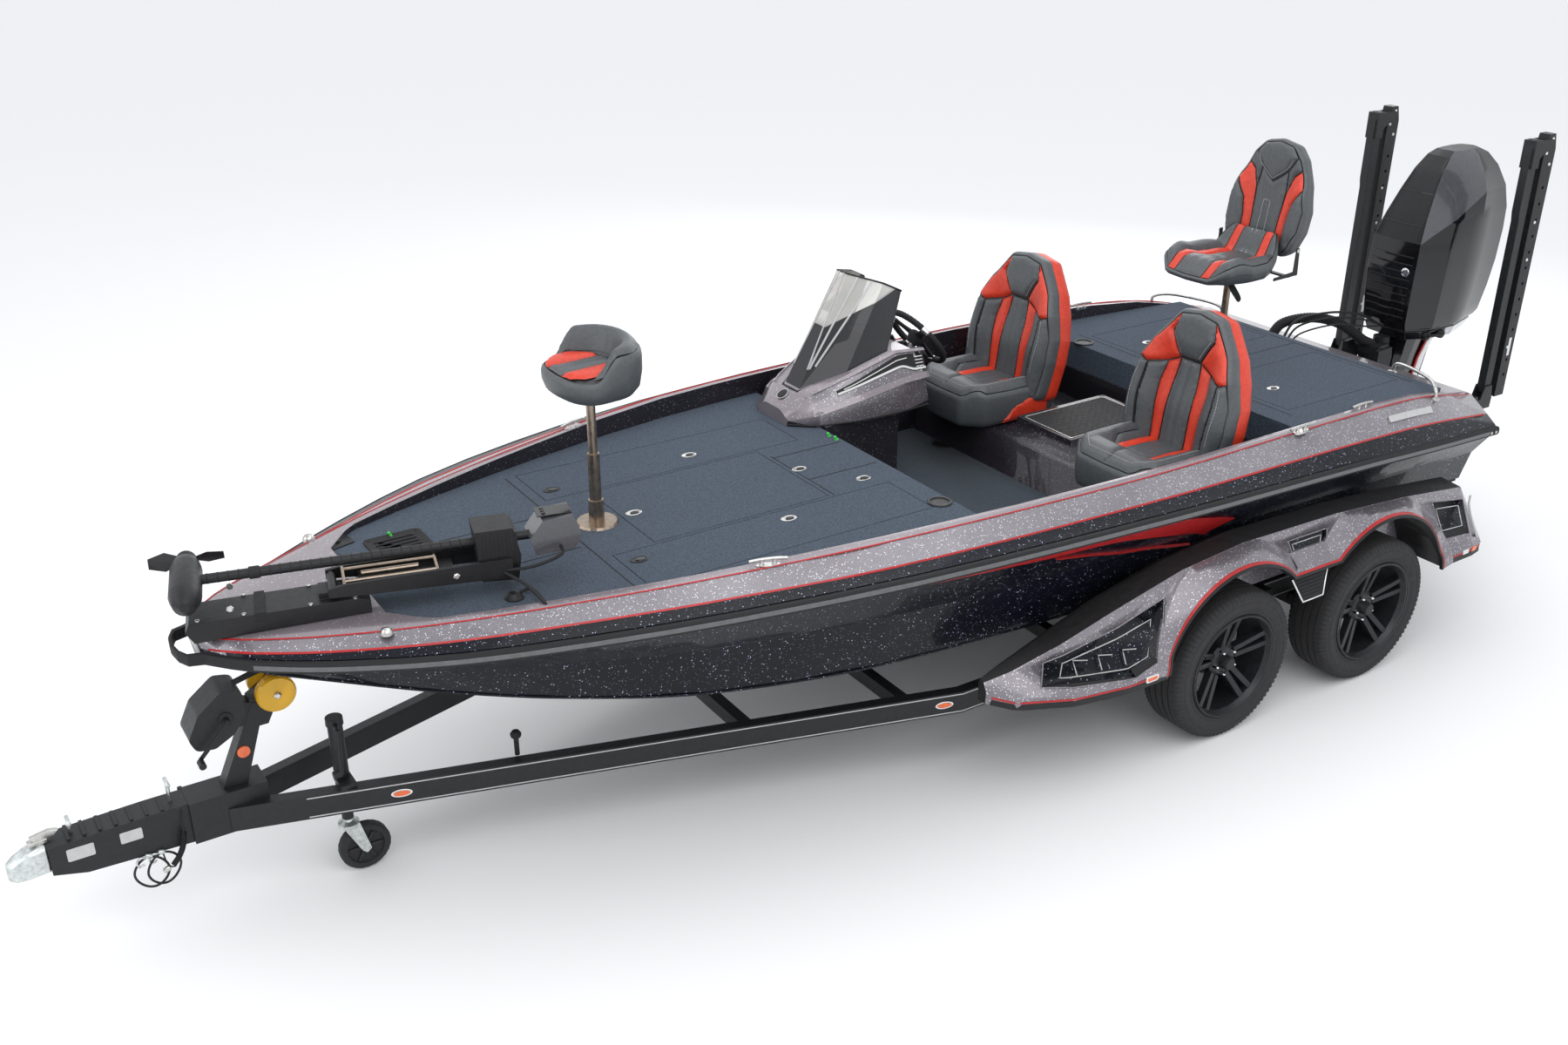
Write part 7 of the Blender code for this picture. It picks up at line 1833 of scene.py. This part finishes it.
def trolling_motor():
    refine("trolling_base", ["black"], bevel=0.003)
    refine("trolling_arm", ["black"], bevel=0.003)

    def on_shaft(x, y, z, normal):
        reach = (TROLL_X - x) * math.cos(TROLL_TURN) + (y - TROLL_Y) * math.sin(TROLL_TURN)
        return 1 if reach > 1.18 and z > 1.30 else 0

    refine("trolling_shaft", ["black", "grey_cowl"], on_shaft, bevel=0.006)
    base, arm = BODY_OF["trolling_base"], BODY_OF["trolling_arm"]
    head = BODY_OF["trolling_shaft"]
    shape = bmesh.new()
    for t, radius, start, stop in ((0.050, 0.007, 0.54, 0.86), (-0.050, 0.007, 0.54, 0.86),
                                   (0.0, 0.010, 0.60, 0.80)):
        rod(troll(start, t, 1.284), troll(stop, t, 1.284), radius, 14, shape)
    for s in (0.54, 0.86):
        rod(troll(s, -0.072, 1.284), troll(s, 0.072, 1.284), 0.006, 12, shape)
    finish("trolling_gas_springs", shape, "bronze", arm, slot="stainless", bevel=0.001)
    shape = bmesh.new()
    for s in (0.16, 0.92):
        for side in (1, -1):
            knob([(0, 0.013), (0.005, 0.013), (0.009, 0.008)], troll(s, side * 0.086, 1.262),
                 troll(s, side * 1.0, 1.262) - troll(s, 0, 1.262), 6, shape)
    for s in (0.05, 0.20, 0.42, 0.57):
        for side in (1, -1):
            knob([(0, 0.008), (0.004, 0.008), (0.006, 0.004)], troll(s, side * 0.074, 1.2275), UP, 12, shape)
    finish("trolling_bolts", shape, "steel", base, slot="stainless")
    shape = bmesh.new()
    loop = [(-0.0845, 1.200), (-0.0845, 1.2305), (0.0845, 1.2305), (0.0845, 1.200)]
    rows = []
    for s in (0.235, 0.270):
        rows.append([troll(s, t, z) for t, z in loop] + [troll(s, t * 0.965, z - 0.003) for t, z in reversed(loop)])
    rings(shape, rows)
    finish("trolling_strap", shape, "soft_black", base, slot="black_plastic")
    shape = knob([(-0.018, 0.0180), (-0.017, 0.0220), (0.017, 0.0220), (0.018, 0.0180)], troll(0.252, 0, 1.345),
                 TROLL_RUN, 20, bmesh.new())
    finish("trolling_strap_collar", shape, "soft_black", head, slot="black_plastic")
    shape = bmesh.new()
    for k in range(5):
        s = 1.022 + 0.028 * k
        troll_box((s, -0.0725, 1.225), (s + 0.010, 0.0725, 1.395), shape)
    finish("trolling_collar_ribs", shape, "black", arm, slot="black_plastic", bevel=0.001)
    shape = bmesh.new()
    troll_box((1.225, -0.040, 1.4235), (1.350, 0.040, 1.4290), shape)
    for t in (-0.022, 0.0, 0.022):
        knob([(0.004, 0.008), (0.009, 0.0075), (0.010, 0.004)], troll(1.250, t, 1.4235), UP, 14, shape)
    finish("trolling_head_panel", shape, "gloss", head, slot="black_plastic", bevel=0.0012)
    shape = bmesh.new()
    for s in (0.10 + 0.034 * k for k in range(26)):
        if not 0.97 < s < 1.17:
            lathe([(-0.003, 0.0176), (0, 0.0190), (0.003, 0.0176)], troll(s, 0, 1.345), TROLL_RUN, 16, shape)
    finish("trolling_shaft_coils", shape, "soft_black", head, slot="black_plastic")
    clip = troll(1.080, 0.074, 1.250)
    cable = curve_points([troll(1.300, 0.058, 1.310), troll(1.290, 0.110, 1.300), troll(1.190, 0.112, 1.270), clip],
                         30)
    made = finish("trolling_head_cable", tube(cable, 0.006, bmesh.new()), "soft_black", None, slot="black_plastic",
                  smooth=60)
    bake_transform(made)
    cable = curve_points([clip, troll(1.150, 0.160, 1.225), troll(1.200, 0.260, 1.190), at(4.840, 0.425, 1.172),
                          at(4.905, 0.418, 1.160)], 40)
    made = finish("trolling_deck_cable", tube(cable, 0.006, bmesh.new()), "soft_black", None, slot="black_plastic",
                  smooth=60)
    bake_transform(made)
    shape = knob([(0, 0.034), (0.004, 0.036), (0.010, 0.026), (0.022, 0.018), (0.024, 0.008)],
                 at(4.905, 0.418, FORE_Z), UP, 24, bmesh.new())
    finish("trolling_cable_boot", shape, "black", BOAT, slot="black_plastic")


# Anchors

def anchors():
    for word, side in (("port", 1), ("starboard", -1)):
        arm = BODY_OF[f"{word}_anchor_arm"]
        spike = BODY_OF[f"{word}_anchor_spike"]
        refine(f"{word}_anchor_arm", ["powder"], bevel=0.002)
        refine(f"{word}_anchor_bracket", ["powder"], bevel=0.002)
        middle_y = side * 0.475
        shape = bmesh.new()
        for z, dx in ((2.190, -0.012), (2.120, 0.022), (2.060, -0.020), (1.760, 0.0), (1.560, 0.0), (1.080, 0.012)):
            for way in (1, -1):
                knob([(-0.001, 0.0085), (0.003, 0.0080), (0.005, 0.0045)],
                     at(-0.850 + dx, middle_y + way * 0.030, z), (0, way, 0), 12, shape)
        finish(f"{word}_anchor_bolts", shape, "white", arm, slot="stainless")
        shape = bmesh.new()
        low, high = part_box(f"{word}_anchor_spike")
        middle = (low[0] + high[0]) / 2 + MIDDLE
        wide = max(0.006, (high[1] - low[1]) / 2)
        tag_outline = [(middle + a, z) for a, z in ((-0.010, 1.03), (0.010, 1.03), (0.010, 1.13), (-0.010, 1.13))]
        for way in (1, -1):
            y = (low[1] + high[1]) / 2 + way * wide
            prism(tag_outline, "y", *sorted((y - way * 0.001, y + way * 0.0012)), shape)
        finish(f"{word}_anchor_tag", shape, "white", spike, slot="black_plastic")


# Trailer

BEND_X, BEND_Y = 3.170, 0.875    # where the beams turn in towards the tongue
NOSE_X, NOSE_Y = 5.930, 0.070


def beam_face(x):
    """Outer face of the port beam as a point and its normal, in plan."""
    if x < BEND_X:
        return BEND_Y, Vector((0, 1, 0))
    slope = (BEND_Y - NOSE_Y) / (NOSE_X - BEND_X)
    return NOSE_Y + slope * (NOSE_X - x), Vector((slope, 1, 0)).normalized()


def beams():
    for node, bevel in (("trailer_frame", 0.003), ("starboard_beam", 0.003), ("winch_stand", 0.005),
                        ("jack", 0.0012), ("tongue_channel", 0.003)):
        refine(node, ["powder"], bevel=bevel)
    refine("coupler", ["zinc"], bevel=0.007)
    stations = [0.26 + 2.90 * k / 16 for k in range(17)] + [BEND_X + 2.50 * k / 16 for k in range(17)]
    for sign, name in ((1, "port"), (-1, "starboard")):
        shape = bmesh.new()
        for z in (0.4105, 0.3295):
            path = []
            normals = []
            for x in stations:
                y, normal = beam_face(x)
                path.append(at(x, sign * y, z))
                normals.append(Vector((normal.x, sign * normal.y, 0)))
            band(path, normals, 0.0045, shape, 0.0008, 0.002)
        finish(f"{name}_beam_pinstripes", shape, "pin", BOAT, slot="satin_black")
        shape = bmesh.new()
        lens = bmesh.new()
        for x in (5.345, 3.25):
            y, normal = beam_face(x)
            run = Vector((1, -normal.x, 0)).normalized()
            for target, long, tall, lift in ((shape, 0.040, 0.017, 0.004), (lens, 0.032, 0.011, 0.0065)):
                rings(target,
                      [[at(x + run.x * a + normal.x * out, sign * (y + run.y * a + normal.y * out), 0.372 + b)
                        for a, b in ellipse(0, 0, long, tall, 24)] for out in (-0.001, lift)])
        finish(f"{name}_beam_markers", shape, "chrome", BOAT, slot="stainless", bevel=0.001)
        finish(f"{name}_beam_marker_lenses", lens, "orange_lens", BOAT, slot="stainless", bevel=0.001)


def winch():
    """Winch strap, the covered winch's round covers and crank, the post's reflectors and the roller pin's nuts."""
    strap = curve_points([at(5.850, 0, 0.880), at(5.800, 0, 0.893), at(5.765, 0, 0.902), at(5.735, 0, 0.908)], 14)
    shape = sweep(strap, [(0.020, 0.0012), (0.020, -0.0012), (-0.020, -0.0012), (-0.020, 0.0012)], bmesh.new(), UP)
    finish("winch_strap", shape, "soft_black", BOAT, slot="black_plastic")
    shape = bmesh.new()
    for side in (1, -1):
        knob([(0, 0.026), (0.004, 0.026), (0.006, 0.022)], at(5.885, side * 0.068, 0.790), (0, side, 0), 24, shape)
    rod(at(5.885, 0.074, 0.790), at(5.885, 0.098, 0.790), 0.010, 14, shape)
    rings(shape, [[at(x, 0.098 + b, z + a) for a, b in ((-0.011, 0), (0.011, 0), (0.011, 0.006), (-0.011, 0.006))]
                  for x, z in ((5.885, 0.790), (5.955, 0.720), (6.005, 0.668))])
    rod(at(6.000, 0.104, 0.672), at(6.000, 0.150, 0.672), 0.013, 16, shape)
    finish("winch_crank", shape, "black", BOAT, slot="black_plastic", bevel=0.0012)
    shape = bmesh.new()
    for side in (1, -1):
        knob([(-0.001, 0.024), (0.004, 0.023), (0.006, 0.018)], at(5.838, side * 0.032, 0.615), (0, side, 0), 28,
             shape)
    finish("winch_post_reflectors", shape, "orange_lens", BOAT, slot="amber_urethane")
    shape = bmesh.new()
    for side in (1, -1):
        knob([(0, 0.014), (0.006, 0.014), (0.010, 0.009)], at(5.700, side * 0.083, 0.8345), (0, side, 0), 6, shape)
    finish("roller_pin_nuts", shape, "steel", BOAT, slot="stainless")


def tongue_details():
    """Ribs, hinge pin handles, plates, coupler latch, safety cables and the breakaway lead."""
    tongue = BODY_OF["tongue_channel"]
    shape = bmesh.new()
    for k in range(7):
        x = 6.14 + 0.052 * k
        box((x, -0.048, 0.4845), (x + 0.012, 0.048, 0.4885), shape)
    finish("tongue_ribs", shape, "black", tongue, slot="black_plastic", bevel=0.001)
    shape = bmesh.new()
    for x, top in ((6.110, 0.565), (6.445, 0.530)):
        rod(at(x, 0, 0.480), at(x, 0, top), 0.007, 14, shape)
        rod(at(x, -0.030, top), at(x, 0.030, top), 0.0075, 14, shape)
    finish("tongue_pins", shape, "zinc", tongue, slot="zinc", smooth=50)
    shape = bmesh.new()
    for x, long, tall, z in ((6.225, 0.075, 0.045, 0.405), (6.385, 0.090, 0.050, 0.400)):
        for side in (1, -1):
            near, far = sorted((side * 0.0549, side * 0.0562))
            prism(rounded([(x, z), (x + long, z), (x + long, z + tall), (x, z + tall)], 0.006, 3), "y", near, far,
                  shape)
    finish("tongue_plates", shape, "pin", tongue, slot="stainless")
    shape = box((6.520, -0.014, 0.476), (6.585, 0.014, 0.492))
    prism([(6.515, 0.478), (6.560, 0.486), (6.575, 0.508), (6.510, 0.520), (6.480, 0.512)], "y", -0.010, 0.010,
          shape)
    finish("coupler_latch", shape, "steel", tongue, slot="zinc", bevel=0.002)
    cables = bmesh.new()
    hooks = bmesh.new()
    for x, tilt in ((6.175, 0.35), (6.225, -0.30)):
        loop = []
        for angle in around(48):
            sway = 0.026 * tilt * math.sin(angle) + 0.004 * math.cos(3 * angle)
            loop.append(at(x + 0.058 * math.sin(angle) + 0.010 * tilt, 0.066 + sway,
                           0.262 - 0.062 * math.cos(angle)))
        tube(loop, 0.0045, cables, 8, closed=True)
        knob([(-0.012, 0.007), (-0.010, 0.009), (0.010, 0.009), (0.012, 0.007)], loop[24] + Vector((0, 0, 0.004)),
             (1, 0, 0.2), 14, hooks)
        hook = curve_points([loop[24] + Vector(p) for p in ((0.012, 0, 0.0), (0.030, 0, 0.004),
                                                            (0.044, 0.002, -0.012), (0.036, 0.002, -0.030),
                                                            (0.018, 0, -0.026))], 20)
        tube(hook, 0.0042, hooks, 10)
    finish("safety_cables", cables, "black", tongue, slot="black_plastic", smooth=60)
    finish("safety_cable_hooks", hooks, "zinc", tongue, slot="zinc", smooth=60)

    # Curly breakaway lead with its plug
    shape = bmesh.new()
    lead = [at(6.085, 0.057, 0.470), at(6.090, 0.066, 0.440), at(6.095, 0.072, 0.400)]
    core = curve_points([at(6.095, 0.074, 0.392), at(6.105, 0.078, 0.340), at(6.125, 0.080, 0.300),
                         at(6.150, 0.078, 0.268)], 181)
    coil = []
    coil_radius, points_a_turn = 0.0085, 9
    side = Vector((0, 1, 0))
    for k, point in enumerate(core):
        angle = 2 * math.pi * k / points_a_turn
        across = heading(core, k).cross(side).normalized()
        coil.append(point + side * coil_radius * math.cos(angle) + across * coil_radius * math.sin(angle))
    tail = [at(6.156, 0.076, 0.262), at(6.166, 0.070, 0.272), at(6.172, 0.062, 0.300), at(6.175, 0.0575, 0.330)]
    tube(curve_points(lead, 16) + coil + curve_points(tail, 14), 0.0028, shape, 8)
    finish("breakaway_lead", shape, "black", tongue, slot="black_plastic", smooth=60)
    shape = bmesh.new()
    knob([(0, 0.009), (0.004, 0.011), (0.020, 0.011), (0.026, 0.007)], at(6.162, 0.074, 0.262), (0.8, 0, -0.35), 16,
         shape)
    finish("breakaway_plug", shape, "steel", tongue, slot="stainless")


def caster_and_post():
    """The caster's spokes, and a guide post on the beam."""
    low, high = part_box("caster_wheel")
    hub = (Vector(low) + Vector(high)) / 2
    half = (high[1] - low[1]) / 2
    shape = bmesh.new()
    for side in (1, -1):
        for angle in around(6):
            out = Vector((math.cos(angle), 0, math.sin(angle)))
            over = Vector((-math.sin(angle), 0, math.cos(angle)))
            thick = Vector((0, side * 0.006, 0))
            rows = []
            for reach, wide in ((0.022, 0.007), (0.066, 0.005)):
                middle = hub + out * reach + Vector((0, side * half * 0.52, 0))
                rows.append([middle + over * wide, middle - over * wide, middle - over * wide + thick,
                             middle + over * wide + thick])
            rings(shape, rows)
    finish("caster_spokes", shape, "charcoal", BODY_OF["caster_wheel"], slot="tyre_rubber", bevel=0.0008)
    shape = bmesh.new()
    rod(at(4.900, 0.300, 0.415), at(4.900, 0.300, 0.500), 0.010, 14, shape)
    knob([(0, 0.020), (0.012, 0.022), (0.024, 0.014)], at(4.900, 0.300, 0.498), UP, 20, shape)
    finish("beam_post", shape, "soft_black", BOAT, slot="black_plastic")


set_stage()
dress()
for word, side in (("driver", -1), ("passenger", 1)):
    bucket_back(word, side)
    bucket_cushion(word, side)
fishing_seat()
fishing_seat_back()
butt_seat()
hull_and_gunwale()
cowl()
cowl_trim()
motor_leg()
rigging()
for word, side in (("port", 1), ("starboard", -1)):
    fender(word, side)
    wheel(f"front_{word}_wheel", FRONT_AXLE, side)
    wheel(f"rear_{word}_wheel", REAR_AXLE, side)
helm()
windscreen()
steering_wheel()
deck_details()
cockpit()
boat_hardware()
trolling_motor()
anchors()
beams()
winch()
tongue_details()
caster_and_post()
